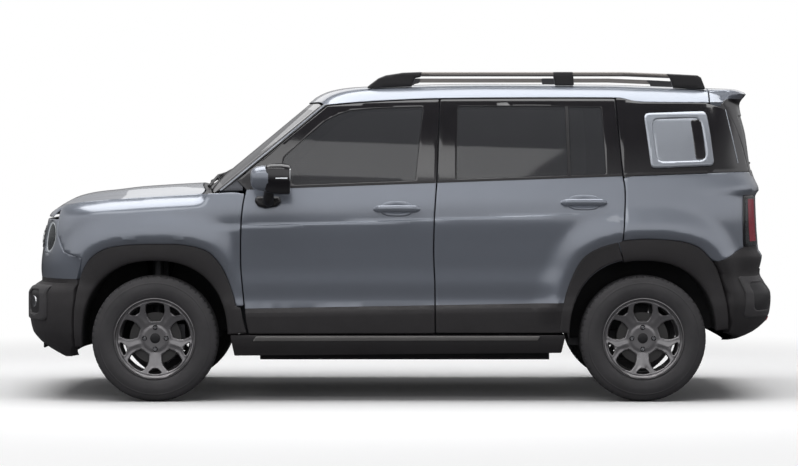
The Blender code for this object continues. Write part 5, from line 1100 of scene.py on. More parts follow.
def make_roof():
    half = []
    for share in [i / 12 for i in range(13)]:
        x = ROOF_FRONT_X + BOW * share ** 2 + SEAT * 2
        half.append((x, -share * side_y(x, roof_edge_z(x))))
    for x in [across(ROOF_START_X + 0.03, ROOF_REAR_X, i / 30) for i in range(31)]:
        half.append((x, -side_y(x, roof_edge_z(x))))
    half += [(ROOF_REAR_X, -0.4403), (ROOF_REAR_X - 0.040, -0.4403), (ROOF_REAR_X - 0.040, -0.3997),
             (ROOF_REAR_X, -0.3997)]
    loop = mirrored_loop(half[1:])
    loop.insert(0, half[0])

    def lift(x, y, inner):
        share = clamped(abs(y) / side_y(x, roof_edge_z(x)))
        ahead = x - BOW * share ** 2 - ROOF_FRONT_X
        fade = max(0.12, min(clamped((1.0 - share) / 0.05), clamped(ahead / 0.03)))
        return (x, y, roof_z(x, y) - (0.020 * fade if inner else 0.0))
    panel("roof_skin", [loop], lift, "body", (PAINT, TRIM), step=0.03, corner=0.004,
          rings=((0.0, 0.0012), (0.001, 0.0004), (0.003, 0.0)), grid=(0.03, 0.025), slot="paint",
          replaces=("roof_panel",), pick=inside_second)


BONNET_BACK = ((0.0, 0.0), (0.29, 0.083), (0.58, 0.333), (0.71, 0.45), (0.80, 0.43), (0.90, 0.35))


def bonnet_back_x(y):
    return BONNET_REAR_X + BOW * read_table(BONNET_BACK, abs(y) / HALF_WIDTH)


def make_bonnet():
    half = [(-1.892, 0.0)]
    for y in (0.1, 0.2, 0.3, 0.4, 0.47, 0.54, 0.60):
        half.append((max(front_x(y, 0.962) + 0.004, -1.892), -y))
    corner = bonnet_side_y(-1.788)
    half.append((front_x(corner, 0.962) + 0.004, -corner))
    for x in [across(-1.75, -1.06, i / 22) for i in range(23)]:
        half.append((x, -bonnet_side_y(x)))
    corner = bonnet_side_y(-1.060)
    for y in [corner] + [corner * (1 - i / 14) for i in range(1, 15)]:
        half.append((bonnet_back_x(y), -y))
    loop = half + [(x, -y) for x, y in reversed(half[1:-1])]

    def lift(x, y, inner):
        fade = max(0.28, clamped((x - front_x(y, 0.962)) / 0.08))
        ridge = 0.006 * smooth((abs(y) - 0.36) / 0.04) * (1 - smooth((abs(y) - 0.42) / 0.16))
        ridge *= smooth((x + 1.86) / 0.15) * smooth((-1.10 - x) / 0.10)
        return (x, y, bonnet_z(x, y) - (0.028 * fade if inner else 0.0) + (0.0 if inner else ridge * 0.8))
    panel("bonnet_skin", [loop], lift, "bonnet", (PAINT, SHADED_PAINT), step=0.02, corner=0.006, slot="paint",
          rings=((0.0, 0.003), (0.0012, 0.001), (0.004, 0.0)), replaces=("bonnet",),
          pick=inside_second)


def windscreen_half(z):
    return side_y(pillar_x(z), z) - 0.012


def windscreen_base(y):
    share = y / windscreen_half(SCREEN_CORNER_Z)
    return windscreen_x(SCREEN_LOW_Z - SCREEN_SAG * share ** 2) + BOW * share ** 2


def make_cowl():
    corner = bonnet_side_y(-1.060)
    half = [(bonnet_back_x(y) + SHUT, -y) for y in [corner * i / 14 for i in range(15)]]
    for x in (bonnet_back_x(corner) + SHUT, -1.000, -0.968):
        half.append((x, -(bonnet_side_y(x) + SHUT - 3 * SEAT)))
    half += [(windscreen_base(y) - 0.004, -y) for y in (0.78, 0.72, 0.66, 0.58, 0.5, 0.37, 0.25, 0.12, 0.0)]
    loop = half + [(x, -y) for x, y in reversed(half[1:-1])]

    def lift(x, y, inner):
        groove = 0.0015 if not inner and (x * 140) % 1.0 < 0.5 and abs(y) < 0.6 else 0.0
        return (x, y, bonnet_z(x, y) - 0.004 - (0.020 if inner else groove))
    panel("cowl_skin", [loop], lift, "body", (SATIN_BLACK,), step=0.02, corner=0.002, slot="black_panel",
          replaces=("cowl",))


def make_windscreen():
    low, high = SCREEN_LOW_Z, SCREEN_TOP_Z
    side, top, foot = 0.955, high - 0.03, low + 0.035
    loop = [(-1.0, low), (1.0, low), (1.0, high), (-1.0, high)]

    def lift(u, v, inner):
        share = (v - low) / (high - low)
        crown = 0.020 * read_table(ROOF_SECTION, abs(u))
        z = v - SCREEN_SAG * u * u * (1.0 - share) - crown * share
        return (windscreen_x(z) + BOW * u * u + (SCREEN_THICK if inner else 0.0), u * windscreen_half(z), z)

    def edge(u, v, inner):
        return 1 if abs(u) > side or v > top or v < foot else 0
    seams = [((s * side, 0.0), (1.0, 0.0)) for s in (-1, 1)] + [((0.0, v), (0.0, 1.0)) for v in (top, foot)]
    panel("windscreen_pane", [loop], lift, "body", (GLASS, BLACK), step=0.05, corner=0.004,
          rings=((0.0, 0.0),), slot="glass", replaces=("windscreen",), pick=edge, seams=seams)


GATE_OUTER = ((1.648, 1.660), (1.72, 1.656), (1.806, 1.650), (1.855, 1.637), (1.882, 1.621), (1.858, 1.592),
              (1.844, 1.565), (1.876, 1.404), (1.898, 1.230), (1.914, 1.176), (1.941, 1.107), (1.921, 1.076),
              (1.937, 0.792), (1.958, 0.755), (1.946, 0.692))
GATE_INNER = ((1.648, 1.630), (1.70, 1.626), (1.76, 1.618), (1.785, 1.606), (1.79, 1.59), (1.79, 1.575),
              (1.792, 1.555), (1.816, 1.404), (1.838, 1.230), (1.846, 1.176), (1.85, 1.107), (1.85, 1.076),
              (1.85, 0.792), (1.85, 0.755), (1.85, 0.692))
GATE_RUN = [0.0]
for a, b in zip(GATE_OUTER, GATE_OUTER[1:]):
    GATE_RUN.append(GATE_RUN[-1] + math.dist(a, b))
GATE_TABLES = [tuple(zip(GATE_RUN, [row[k] for row in rows])) for rows in (GATE_OUTER,
        GATE_INNER) for k in (0, 1)]
GATE_ROW = tuple((float(i), run) for i, run in enumerate(GATE_RUN))
GATE_BACK = tuple((run, float(i)) for i, run in enumerate(GATE_RUN))


def gate_run(row):
    return linear(GATE_ROW, row)


def gate_place(y, run, inner):
    x, z = (read_table(GATE_TABLES[2 * int(inner) + k], run) for k in (0, 1))
    share = clamped(abs(y) / half_width(z)) ** REAR_POWER
    bowed = REAR_X + (x - REAR_X) * (1.0 - share) ** (1.0 / REAR_POWER)
    top = clamped((4.0 - linear(GATE_BACK, run)) / 4.0)
    sag = roof_z(ROOF_REAR_X, 0.0) - roof_z(ROOF_REAR_X, y)
    return (across(bowed, x, top), y, z - sag * top)


def gate_window(shrink=0.0):
    top, low = gate_run(6.4) + shrink, gate_run(8.3) - shrink
    return [(-0.56 + shrink, top), (-0.565 + shrink, low), (0.565 - shrink, low), (0.56 - shrink, top)]


def gate_pick(y, run, inner):
    if inner:
        return 2
    row = linear(GATE_BACK, run)
    return 1 if row > 5.0 and run < gate_run(8.9) else 0


def make_tailgate():
    half = [(-0.40, 0.0), (-0.44, 0.0), (-0.60, 0.0), (-0.60, gate_run(4.0)), (-0.605, gate_run(5.0)),
            (-TAILGATE_HIGH, gate_run(6.0)), (-TAILGATE_HIGH, gate_run(7.0))]
    half += [(-tailgate_half(GATE_OUTER[row][1]), gate_run(float(row))) for row in (8, 9, 10, 11)]
    half += [(-TAILGATE_LOW, gate_run(14.0))]
    loop = half + [(-y, s) for y, s in reversed(half)]
    panel("tailgate_skin", [loop, gate_window()], gate_place, "tailgate", (PAINT, BLACK, TRIM), step=0.018,
          slot="paint", replaces=("tailgate",), pick=gate_pick, corner=0.006,
          seams=[((0.0, gate_run(8.9)), (0.0, 1.0)), ((0.0, gate_run(5.0)), (0.0, 1.0))])

    def pane(y, run, inner):
        x, across_y, z = gate_place(y, run, False)
        return (x - PANE_IN - (PANE_THICK if inner else 0.0), across_y, z)
    panel("tailgate_pane", [gate_window(0.002)], pane, "tailgate", (GLASS,), step=0.04, rings=((0.0, 0.0),),
          slot="glass", replaces=("tailgate_glass",))
    for side in (-1, 1):
        a, b = sorted((side * 0.40, side * 0.44))
        top = roof_z(ROOF_REAR_X, (a + b) / 2)
        soft_box("tailgate_ear_" + ("left" if side < 0 else "right"), (1.606, a + 0.001, top - 0.026),
                 (1.68, b - 0.001, top - 0.006), 0.003, "tailgate", (PAINT,), "paint")


# Cladding round the wheels, sills
def make_arch(name, body, nodes):
    front = name.startswith("front")
    centre_x, table = (FRONT_X, FRONT_ARCH) if front else (REAR_X, REAR_ARCH)
    liner_y, hidden = (0.462, 0) if front else (0.610, 7)
    rows_parts = ((0.999, 0.0005), (0.992, 0.0045), (0.96, 0.0085), (0.90, 0.0100), (0.60, 0.0125),
                  (0.30, 0.0125), (0.12, 0.0105), (0.05, 0.0075), (0.0, 0.0))
    hidden_parts = (0.26, 0.24, 0.20, 0.16, 0.13, 0.10, 0.08, 0.04, 0.0)
    count = (len(table) - 1) * 8
    rings = []
    for k in range(count + 1):
        i = k / 8
        sx, sz = arch_share(table, i)
        along, up = sx * REACH, sz * HEIGHT
        inner, hub = (liner_point(centre_x, along, up, g) for g in (0.0, -0.160))
        row = []
        under = i <= hidden - 1
        for (part, proud), hidden_part in zip(rows_parts, hidden_parts):
            share = hidden_part if under else part
            x, z = across(inner[0], centre_x + along, share), across(inner[1], TYRE_R + up, share)
            deep = 0.112 + share * PANEL_WALL if under else -proud
            row.append(Vector((x, -(side_y(x, z) - deep), z)))
        last = row[-1].y
        for share in (0.04, 0.12, 0.3, 0.5, 0.75, 1.0):
            wave = 0.0 if share < 0.2 else 0.0015 * math.sin(i * 9.0)
            out = liner_point(centre_x, along, up, wave)
            row.append(Vector((out[0], across(last, -liner_y, share), out[1])))
        row.append(Vector((hub[0], -liner_y, hub[1])))
        rings.append(row)
    bm = bmesh.new()
    verts = [[bm.verts.new(p) for p in row] for row in rings]
    for k, (a, b) in enumerate(zip(verts, verts[1:])):
        for j in range(len(a) - 1):
            if front and 8 <= k / 8 < 10 and j >= len(a) - 4:
                continue
            face = bm.faces.new((a[j], a[j + 1], b[j + 1], b[j]))
            face.material_index = 0 if j < 9 else 1
    loose_verts = [v for v in bm.verts if not v.link_faces]
    bmesh.ops.delete(bm, geom=loose_verts, context="VERTS")
    bmesh.ops.recalc_face_normals(bm, faces=bm.faces[:])
    mesh = finished(bm, name)
    obj = loose(name, mesh, body, (CLAD, UNDER), "cladding", 50)
    wall = obj.modifiers.new("wall", "SOLIDIFY")
    wall.thickness, wall.offset = 0.005, -1.0
    applied(obj)
    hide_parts(*nodes)
    return obj


def make_door_arch(name, body, nodes):
    """The rear door's share of the arch cladding."""
    loop = arch_points(REAR_X, REAR_ARCH, 0.985, 0.4, 6.0) + arch_points(REAR_X, REAR_ARCH, 0.12, 6.0, 0.4)

    def lift(x, z, inner):
        return (x, -(side_y(x, z) + max(flare(x, z), cladding(x, z)) + (0.0 if inner else 0.0065)), z)
    return panel(name, [loop], lift, body, (CLAD,), step=0.012, corner=0.004, slot="cladding",
                 rings=((0.0, 0.005), (0.002, 0.0015), (0.005, 0.0)))


def make_rocker(name, body, nodes):
    front, rear = -0.884, 0.872
    loop = [(front + 0.02, 0.240), (rear - 0.02, 0.255), (rear, ROCKER_TOP), (front, ROCKER_TOP)]

    def lift(x, z, inner):
        if inner:
            return (x, -(side_y(x, z) - 0.112 + 2 * SEAT), z)
        lean = 0.010 * smooth((0.300 - z) / 0.055)
        return (x, -(side_y(x, z) + 0.008 - lean), z)
    return panel(name, [loop], lift, body, (CLAD,), step=0.02, slot="cladding", replaces=nodes)


def make_sill_strip(name, body, nodes):
    """Bright strip along the top of the sill."""
    loop = [(-0.765, 0.318), (0.725, 0.322), (0.739, 0.344), (-0.748, 0.343)]
    return panel(name, [loop], lambda x, z, inner: (x, -(side_y(x, z) + (0.0085 if inner else 0.0115)), z),
                 body,
                 (SILVER,), step=0.03, corner=0.003, rings=((0.0, 0.0018), (0.0015, 0.0004), (0.003, 0.0)),
                 slot="steel")


# Wheels
TRACK, RIM_R = 0.7575, 0.2125
DISH = ((0.0, 0.046), (0.06, 0.047), (0.10, 0.050), (0.14, 0.058), (0.18, 0.068), (0.205, 0.074))


def wheel_point(centre, side, r, a, place):
    return Vector((centre[0] + r * math.cos(a), centre[1] + side * place, centre[2] + r * math.sin(a)))


def make_tyre(end, hand, side, x):
    """Tyre as a height field round the wheel: grooves, sipes, shoulder blocks and sidewall rings."""
    profile = [(0.2035, 0.0805), (0.2085, 0.0885), (0.2135, 0.0905), (0.2165, 0.0915), (0.2185, 0.0918),
               (0.221, 0.0940),
               (0.226, 0.0962), (0.236, 0.0990), (0.246, 0.1010), (0.256, 0.1020), (0.262, 0.1024),
               (0.270, 0.1020),
               (0.280, 0.1004), (0.2885, 0.0984), (0.2905, 0.0990), (0.2935, 0.0982), (0.2955, 0.0965),
               (0.302, 0.0945), (0.310, 0.0915), (0.318, 0.0870), (0.3245, 0.0805), (0.3282, 0.0740)]
    crown = [(0.3295, 0.066), (0.3300, 0.0575), (0.3302, 0.0540), (0.3225, 0.0525), (0.3225, 0.0475),
             (0.3304, 0.0460),
             (0.3308, 0.034), (0.3309, 0.0225), (0.3225, 0.0210), (0.3225, 0.0150), (0.3309, 0.0135),
             (0.3310, 0.0)]
    half = profile + crown
    points = half + [(r, -w) for r, w in reversed(half[:-1])]
    steps = 360
    centre = (x, side * TRACK, TYRE_R)
    bm = bmesh.new()
    rows = []
    for i in range(steps):
        a = 2 * math.pi * i / steps
        row = []
        for r, w in points:
            depth = 0.0
            if 0.312 < r and abs(w) > 0.055 and (i + (0 if w > 0 else 2)) % 6 == 0:
                depth = 0.0045 * smooth((r - 0.312) / 0.012)
            elif abs(w) < 0.05 and r > 0.326 and (i + int(abs(w) * 260)) % 9 == 0:
                depth = 0.0035
            if 0.2995 < r < 0.312 and i % 12 < 6:
                depth -= 0.0008
            row.append(bm.verts.new(wheel_point(centre, side, r - depth, a, w)))
        rows.append(row)
    for i in range(steps):
        first, second = rows[i], rows[(i + 1) % steps]
        for j in range(len(points) - 1):
            bm.faces.new((first[j], first[j + 1], second[j + 1], second[j]))
        bm.faces.new((first[-1], first[0], second[0], second[-1]))
    bmesh.ops.recalc_face_normals(bm, faces=bm.faces[:])
    mesh = finished(bm, "tyre")
    obj = loose(f"tyre_rubber_{end}_{hand}", mesh, f"wheel_{end}_{hand}", TYRE, "tyre", 28)
    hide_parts(f"tyre_{end}_{hand}")


def wheel_face_loops():
    radius = 0.1985
    loops = [[(radius * math.cos(2 * math.pi * i / 120),
               radius * math.sin(2 * math.pi * i / 120)) for i in range(120)]]
    for k in range(5):
        spoke = math.radians(-90 + 72 * k)
        gap = spoke + math.radians(36)
        large = [(0.094, -15), (0.122, -19.5), (0.150, -19), (0.184, -14.5), (0.186, -7), (0.187, 0),
                 (0.186, 7), (0.184, 14.5), (0.150, 19), (0.122, 19.5), (0.094, 15)]
        small = [(0.160, -5), (0.184, -11.5), (0.186, -6), (0.187, 0), (0.186, 6), (0.184, 11.5), (0.160, 5)]
        loops.append([(r * math.cos(gap + math.radians(a)), r * math.sin(gap + math.radians(a)))
                      for r, a in large])
        loops.append([(r * math.cos(spoke + math.radians(a)), r * math.sin(spoke + math.radians(a)))
                      for r, a in small])
    return loops


NUT_RING, NUT_R = 0.057, 0.010


def make_rim(end, hand, side, x):
    centre = (x, side * TRACK, TYRE_R)
    body = f"wheel_{end}_{hand}"
    tag = f"{end}_{hand}"
    well = 0.187
    outer = [(RIM_R, 0.0945), (RIM_R + 0.0005, 0.0900), (0.2105, 0.0880), (0.2030, 0.0820),
             (0.2010, 0.0600), (well, 0.030),
             (well, -0.040), (0.2010, -0.0700), (0.2027, -0.0815), (0.2105, -0.0880), (RIM_R, -0.0945),
             (0.2060, -0.0925), (0.1960, -0.080), (0.1935, -0.0600), (well - 0.008, -0.035),
             (well - 0.008, 0.030),
             (0.1925, 0.055), (0.1950, 0.068), (0.1985, 0.0745), (0.2020, 0.0765), (0.2060, 0.0880),
             (0.2095, 0.0950)]
    barrel = spun(f"rim_barrel_{tag}", outer, centre, side, body, ALLOY, 120, "alloy")
    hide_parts(f"rim_{end}_{hand}")

    def lift(u, v, inner):
        r, a = math.hypot(u, v), math.atan2(v, u)
        place = read_table(DISH, r)
        turn = math.degrees(a) + 90
        turn = abs((turn + 36) % 72 - 36)
        if inner:
            place -= 0.024
        elif r > 0.07:
            ridge = math.radians(turn) * r
            arm = abs(ridge - max(0.0, (r - 0.138) * 0.62))
            ends = smooth((r - 0.07) / 0.03) * (1 - smooth((r - 0.185) / 0.015))
            place += 0.004 * (1 - smooth(arm / 0.020)) * ends
        else:
            place += 0.003 * (1 - smooth((r - 0.062) / 0.008))
        return wheel_point(centre, side, r, a, place)
    panel(f"rim_face_{tag}", wheel_face_loops(), lift, body, ALLOY, step=0.007, corner=0.007,
          rings=((0.0, 0.007), (0.0012, 0.0035), (0.003, 0.0012), (0.0055, 0.0)), slot="alloy")
    cap = [(0.0, 0.0535), (0.012, 0.0533), (0.022, 0.0522), (0.0265, 0.0505), (0.028, 0.048),
           (0.028, 0.040), (0.0, 0.040)]
    spun(f"wheel_cap_{tag}", cap, centre, side, body, SATIN_BLACK, 48, "alloy", closed=False)
    hub = [(0.0, 0.035), (0.062, 0.034), (0.066, 0.028), (0.066, 0.002), (0.040, 0.0), (0.040, -0.020),
           (0.0, -0.020)]
    spun(f"wheel_hub_{tag}", hub, centre, side, body, STEEL, 48, "steel", closed=False)
    disc = [(0.066, 0.028), (0.135, 0.028), (0.1365, 0.0265), (0.1365, 0.0215), (0.133, 0.020),
            (0.133, 0.016), (0.1365, 0.0145), (0.1365, 0.0095), (0.135, 0.008), (0.066, 0.008)]
    spun(f"brake_disc_{tag}", disc, centre, side, body, DISC, 72, "steel")
    bm = bmesh.new()
    for k in range(4):
        a = math.radians(90 * k)
        spot = wheel_point(centre, side, NUT_RING, a, 0.049)
        turn = Vector((0, side, 0)).to_track_quat("Z", "Y").to_matrix().to_4x4()
        for r0, r1, depth, shift, sides in ((NUT_R, NUT_R * 0.95, 0.010, 0.004, 6),
                                            (NUT_R * 0.8, NUT_R * 0.45, 0.004, 0.011, 18),
                                            (0.0150, 0.0135, 0.003, -0.0006, 24)):
            bmesh.ops.create_cone(bm, cap_ends=True, segments=sides, radius1=r0, radius2=r1, depth=depth,
                                  matrix=Matrix.Translation(spot + Vector((0, side * shift, 0))) @ turn)
    mesh = finished(bm, "nuts")
    for face in mesh.polygons:
        face.material_index = 1 if len(face.vertices) == 24 else 0
    loose(f"wheel_nuts_{tag}", mesh, body, (CHROME, BLACK), "steel")
    bar(f"tyre_valve_{tag}", [wheel_point(centre, side, 0.190, math.radians(-54), 0.062),
                              wheel_point(centre, side, 0.176, math.radians(-54), 0.070)], 0.0035, body,
                              STEEL, 10, "steel")


def make_wheels():
    for end, x in (("front", FRONT_X), ("rear", REAR_X)):
        for hand, side in (("left", -1), ("right", 1)):
            make_tyre(end, hand, side, x)
            make_rim(end, hand, side, x)


# Rails, mirrors, handles, wipers
RAIL_Y, RAIL_T, RAIL_TOP = 0.585, 0.028, 1.735


def plate_lift(centre_y, half):
    return lambda x, z, inner: (x, -centre_y + (half if inner else -half), z)


def make_roof_rail(name, body, nodes):
    """Metal bar over three black feet."""
    under = RAIL_TOP - 0.024
    loop = [(0.0, RAIL_TOP - 0.017), (0.10, RAIL_TOP - 0.001), (1.20, RAIL_TOP - 0.001),
            (1.50, RAIL_TOP - 0.013),
            (1.50, under - 0.012), (1.20, under), (0.10, under), (0.0, under - 0.004)]
    return panel(name, [loop], plate_lift(RAIL_Y, RAIL_T / 2), body, (RAIL,), step=0.03, corner=0.006,
                 slot="rail",
                 rings=((0.0, 0.007), (0.0015, 0.003), (0.004, 0.0008), (0.007, 0.0)), replaces=nodes)


def rail_seat(x):
    return roof_z(x, RAIL_Y - RAIL_T / 2) + 0.0009


def make_rail_feet(name, body, nodes):
    under = RAIL_TOP - 0.024
    front = [(-0.180, rail_seat(-0.180)), (-0.11, RAIL_TOP - 0.034), (-0.07, RAIL_TOP - 0.018),
             (0.02, RAIL_TOP - 0.004),
             (0.125, RAIL_TOP), (0.115, under - 0.003), (0.085, under - 0.010), (0.068, rail_seat(0.068))]
    mid = [(0.83, rail_seat(0.83)), (0.815, RAIL_TOP), (0.925, RAIL_TOP), (0.93, rail_seat(0.93))]
    rear = [(1.457, rail_seat(1.457)), (1.44, under - 0.010), (1.412, RAIL_TOP - 0.009),
            (1.585, RAIL_TOP - 0.018), (1.605, RAIL_TOP - 0.030), (1.630, rail_seat(1.630))]
    made = [panel(f"{name}_{k}", [loop], plate_lift(RAIL_Y, RAIL_T / 2 + 0.0015), body, (SATIN_BLACK,),
                  step=0.02, corner=0.008,
                  slot="black_panel", rings=((0.0, 0.006), (0.0015, 0.0025), (0.004, 0.0005), (0.006, 0.0)))
            for k, loop in (("front", front), ("mid", mid), ("rear", rear))]
    for piece in made[:-1]:
        flipped(piece, piece.name.replace("_left_", "_right_"), body)
    return made[-1]


def ring_section(centre, half_y, half_z, power, count=28):
    pts = []
    for i in range(count):
        a = 2 * math.pi * i / count
        c, s = math.cos(a), math.sin(a)
        pts.append(Vector((centre[0], centre[1] + half_y * math.copysign(abs(c) ** (2 / power), c),
                           centre[2] + half_z * math.copysign(abs(s) ** (2 / power), s))))
    return pts


def make_mirror_head(name, body, nodes):
    """Black mirror housing: sections along the car."""
    rows = ((-0.694, 0.056, 0.064, 1.170), (-0.684, 0.066, 0.074, 1.170), (-0.665, 0.0695, 0.079, 1.170),
            (-0.610, 0.0695, 0.0820, 1.168), (-0.572, 0.068, 0.0790, 1.166), (-0.564, 0.065, 0.075, 1.166))
    sections = [ring_section((x, -0.960, z), hy, hz, 4.5) for x, hy, hz, z in rows]
    shell = lofted(name, sections, body, (BLACK,), slot="mirror_body")
    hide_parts(*nodes)
    return shell


def make_mirror_cap(name, body, nodes):
    rows = ((-0.770, 0.022, 0.020, 1.172), (-0.767, 0.038, 0.036, 1.172), (-0.756, 0.054, 0.052, 1.172),
            (-0.738, 0.063, 0.061, 1.172), (-0.710, 0.0690, 0.0665, 1.172), (-0.676, 0.0695, 0.0675, 1.172))
    sections = [ring_section((x, -0.959, z), hy, hz, 2.8) for x, hy, hz, z in rows]
    return lofted(name, sections, body, (PAINT,), slot="paint")


def make_mirror_glass(name, body, nodes):
    sections = [ring_section((x, -0.960, 1.160), 0.060, 0.066, 4.5) for x in (-0.565, -0.5625)]
    return lofted(name, sections, body, (CHROME,), slot="steel")


def make_mirror_light(name, body, nodes):
    return soft_box(name, (-0.638, -1.0298, 1.170), (-0.576, -1.026, 1.176), 0.0012, body, (WHITE_LIGHT,),
                    "lamp_clear")


def make_mirror_stalk(name, body, nodes):
    points = [(-0.680, -0.880, 1.052), (-0.680, -0.915, 1.056), (-0.678, -0.940, 1.076),
              (-0.672, -0.950, 1.108)]
    return bar(name, points, [0.030, 0.030, 0.028, 0.026], body, (SATIN_BLACK,), 20, "mirror_body")


def make_mirror_foot(name, body, nodes):
    loop = [(-0.756, 1.052), (-0.736, 1.026), (-0.70, 1.016), (-0.64, 1.024), (-0.612, 1.046),
            (-0.626, 1.078), (-0.745, 1.078)]
    return panel(name, [loop], lambda x, z, inner: (x, -(body_y(x, z) + (0.0005 if inner else 0.032)), z),
                 body, (SATIN_BLACK,), step=0.012, corner=0.02, slot="mirror_body",
                 rings=((0.0, 0.016), (0.003, 0.008), (0.009, 0.002), (0.016, 0.0)))


def make_handle(end):
    """Pull handle: a cup in the skin, an oval plate round it and a bar over it."""
    x0, x1, z = (-0.134, 0.111, 1.011) if end == "front" else (0.845, 1.088, 1.044)
    centre = (x0 + x1) / 2

    def make_bar(name, body, nodes):
        rings = []
        for k in range(25):
            t = k / 24
            x = across(x0, x1, t)
            ends = min(t, 1 - t)
            h = 0.0175 * (0.35 + 0.65 * smooth(ends / 0.07))
            out = body_y(x, z) + 0.010 + 0.022 * smooth(ends / 0.14)
            rings.append([Vector((x, -(out + 0.0075 * math.cos(2 * math.pi * i / 20)),
                                  z + h * math.sin(2 * math.pi * i / 20)
                                  + 0.002 * math.sin(math.pi * t))) for i in range(20)])
        return lofted(name, rings, body, (PAINT,), slot="paint")

    def make_cup(name, body, nodes):
        loop = [(centre + 0.088 * math.copysign(abs(math.cos(a)) ** 0.7, math.cos(a)),
                 z + 0.040 * math.copysign(abs(math.sin(a)) ** 0.8, math.sin(a)))
                for a in angles(48)]

        def lift(x, v, inner):
            out = math.hypot((x - centre) / 0.088, (v - z) / 0.040)
            deep = 0.0022 - 0.006 * (1 - smooth(out / 0.9))
            return (x, -(body_y(x, v) + (-0.008 if inner else deep)), v)
        return panel(name, [loop], lift, body, (PAINT,), step=0.008, corner=0.0, loops_rounded=False,
                     slot="paint", rings=((0.0, 0.0022), (0.003, 0.0008), (0.006, 0.0)))
    left = f"{end}_door_left"
    pair(make_bar, f"{end}_handle_bar", left)
    pair(make_cup, f"{end}_handle_cup", left)


def surface_strip(name, points, width, thick, out, body, mats, slot=None):
    """A strip that lies on the side surface along (x, z) points."""
    rings = []
    for i, (x, z) in enumerate(points):
        a, b = Vector(points[max(i - 1, 0)]), Vector(points[min(i + 1, len(points) - 1)])
        way = (b - a).normalized()
        nx, nz = -way.y * width / 2, way.x * width / 2
        ring = []
        for s, o in ((-1, 0.0), (-0.85, 1.0), (0.85, 1.0), (1, 0.0)):
            px, pz = x + nx * s, z + nz * s
            ring.append(Vector((px, -(side_y(px, pz) + out(px, pz) + thick * o), pz)))
        rings.append(ring)
    return lofted(name, rings, body, mats, slot=slot)


def make_belt_strip(end, x0, x1):
    points = [(across(x0, x1, i / 20), belt_z(across(x0, x1, i / 20)) + 0.007) for i in range(21)]

    def make(name, body, nodes):
        return surface_strip(name, points, 0.013, 0.003, lambda x, z: -0.0005, body, (SATIN_BLACK,),
                             "black_panel")
    pair(make, f"{end}_belt_strip", "body" if end == "quarter" else f"{end}_door_left")


def make_divider():
    def make(name, body, nodes):
        points = [(across(0.892, 0.884, i / 10), across(belt_z(0.89) + 0.016, 1.551,
                                                        i / 10)) for i in range(11)]
        return surface_strip(name, points, 0.016, 0.004, lambda x, z: -0.0045, body, (SATIN_BLACK,),
                             "black_panel")
    pair(make, "rear_window_divider", "rear_door_left")


def make_pillar_strip(name, body, nodes):
    """Painted windscreen pillar in front of the door."""
    loop = [(pillar_x(z), z) for z in (1.108, 1.2, 1.3, 1.4, 1.5, 1.56)]
    loop += [(pillar_x(z) + PILLAR_WIDTH - SHUT, z) for z in (1.56, 1.5, 1.4, 1.3, 1.2, 1.108)]
    return panel(name, [loop], lambda x, z, inner: (x, -(side_y(x, z) - (0.006 if inner else 0.0002)), z),
                 body, (BLACK,), step=0.02, corner=0.002, slot="black_panel")


def make_pillar_line(name, body, nodes):
    """Thin bright line along the windscreen pillar."""
    points = [(pillar_x(z) + 0.012, z) for z in (1.108, 1.2, 1.3, 1.4, 1.5, 1.558)]
    return surface_strip(name, points, 0.007, 0.002, lambda x, z: -0.0004, body, (HATCH,), "paint")


def make_spoiler_cheek(name, body, nodes):
    """Painted side of the roof spoiler, between the roof's end and the rear glass."""
    sections = []
    for x in (1.648, 1.652, 1.67, 1.69, 1.71, 1.725, 1.735):
        edge = max(0.608, side_y(x, 1.572) - 0.001)
        tops = [(across(0.598, edge, t), roof_z(ROOF_REAR_X, across(0.598, edge,
                t) * 0.668 / edge)) for t in (0.0, 0.4, 0.7, 0.9)]
        ring = tops + [(edge, 1.574), (edge - 0.002, 1.552), (0.598, 1.552)]
        trim = 0.0015 if x in (1.648, 1.735) else 0.0
        sections.append([Vector((x, -(y - trim), z - trim)) for y, z in ring])
    return lofted(name, sections, "tailgate", (PAINT,), slot="paint")


def make_wipers():
    for k, (y0, y1) in enumerate(((-0.52, 0.10), (0.05, 0.62))):
        start = Vector((windscreen_base(y0) - 0.012, y0, bonnet_z(windscreen_base(y0) - 0.012, y0) + 0.006))
        end_z = 1.200
        share = y1 / windscreen_half(end_z)
        end = Vector((windscreen_x(end_z) + BOW * share ** 2 - 0.012, y1, end_z))
        middle = (start + end) / 2 + Vector((-0.004, 0, 0.020))
        bar(f"wiper_arm_{k}", [start, across(start, middle, 0.5), middle, across(middle, end, 0.5), end],
            [0.009, 0.008, 0.006, 0.005, 0.0045], "body", (SATIN_BLACK,), 10, "black_panel")
        blade = []
        for i in range(9):
            y = y1 - 0.30 + 0.52 * i / 8
            z = 1.165 + 0.075 * i / 8
            share = y / windscreen_half(z)
            blade.append(Vector((windscreen_x(z - 0.035 * share ** 2) + BOW * share ** 2 - 0.010, y,
                                 z - 0.035 * share ** 2)))
        bar(f"wiper_blade_{k}", blade, 0.006, "body", (SATIN_BLACK,), 8, "black_panel")
    arm = [gate_place(y, gate_run(8.2 - 0.25 * t), False)
           for y, t in ((0.02, 0.0), (-0.08, 0.5), (-0.18, 1.0), (-0.30, 1.3))]
    bar("rear_wiper_arm", [Vector(p) + Vector((0.008, 0, 0)) for p in arm], [0.012, 0.008, 0.006, 0.005],
        "tailgate", (SATIN_BLACK,), 10, "black_panel")


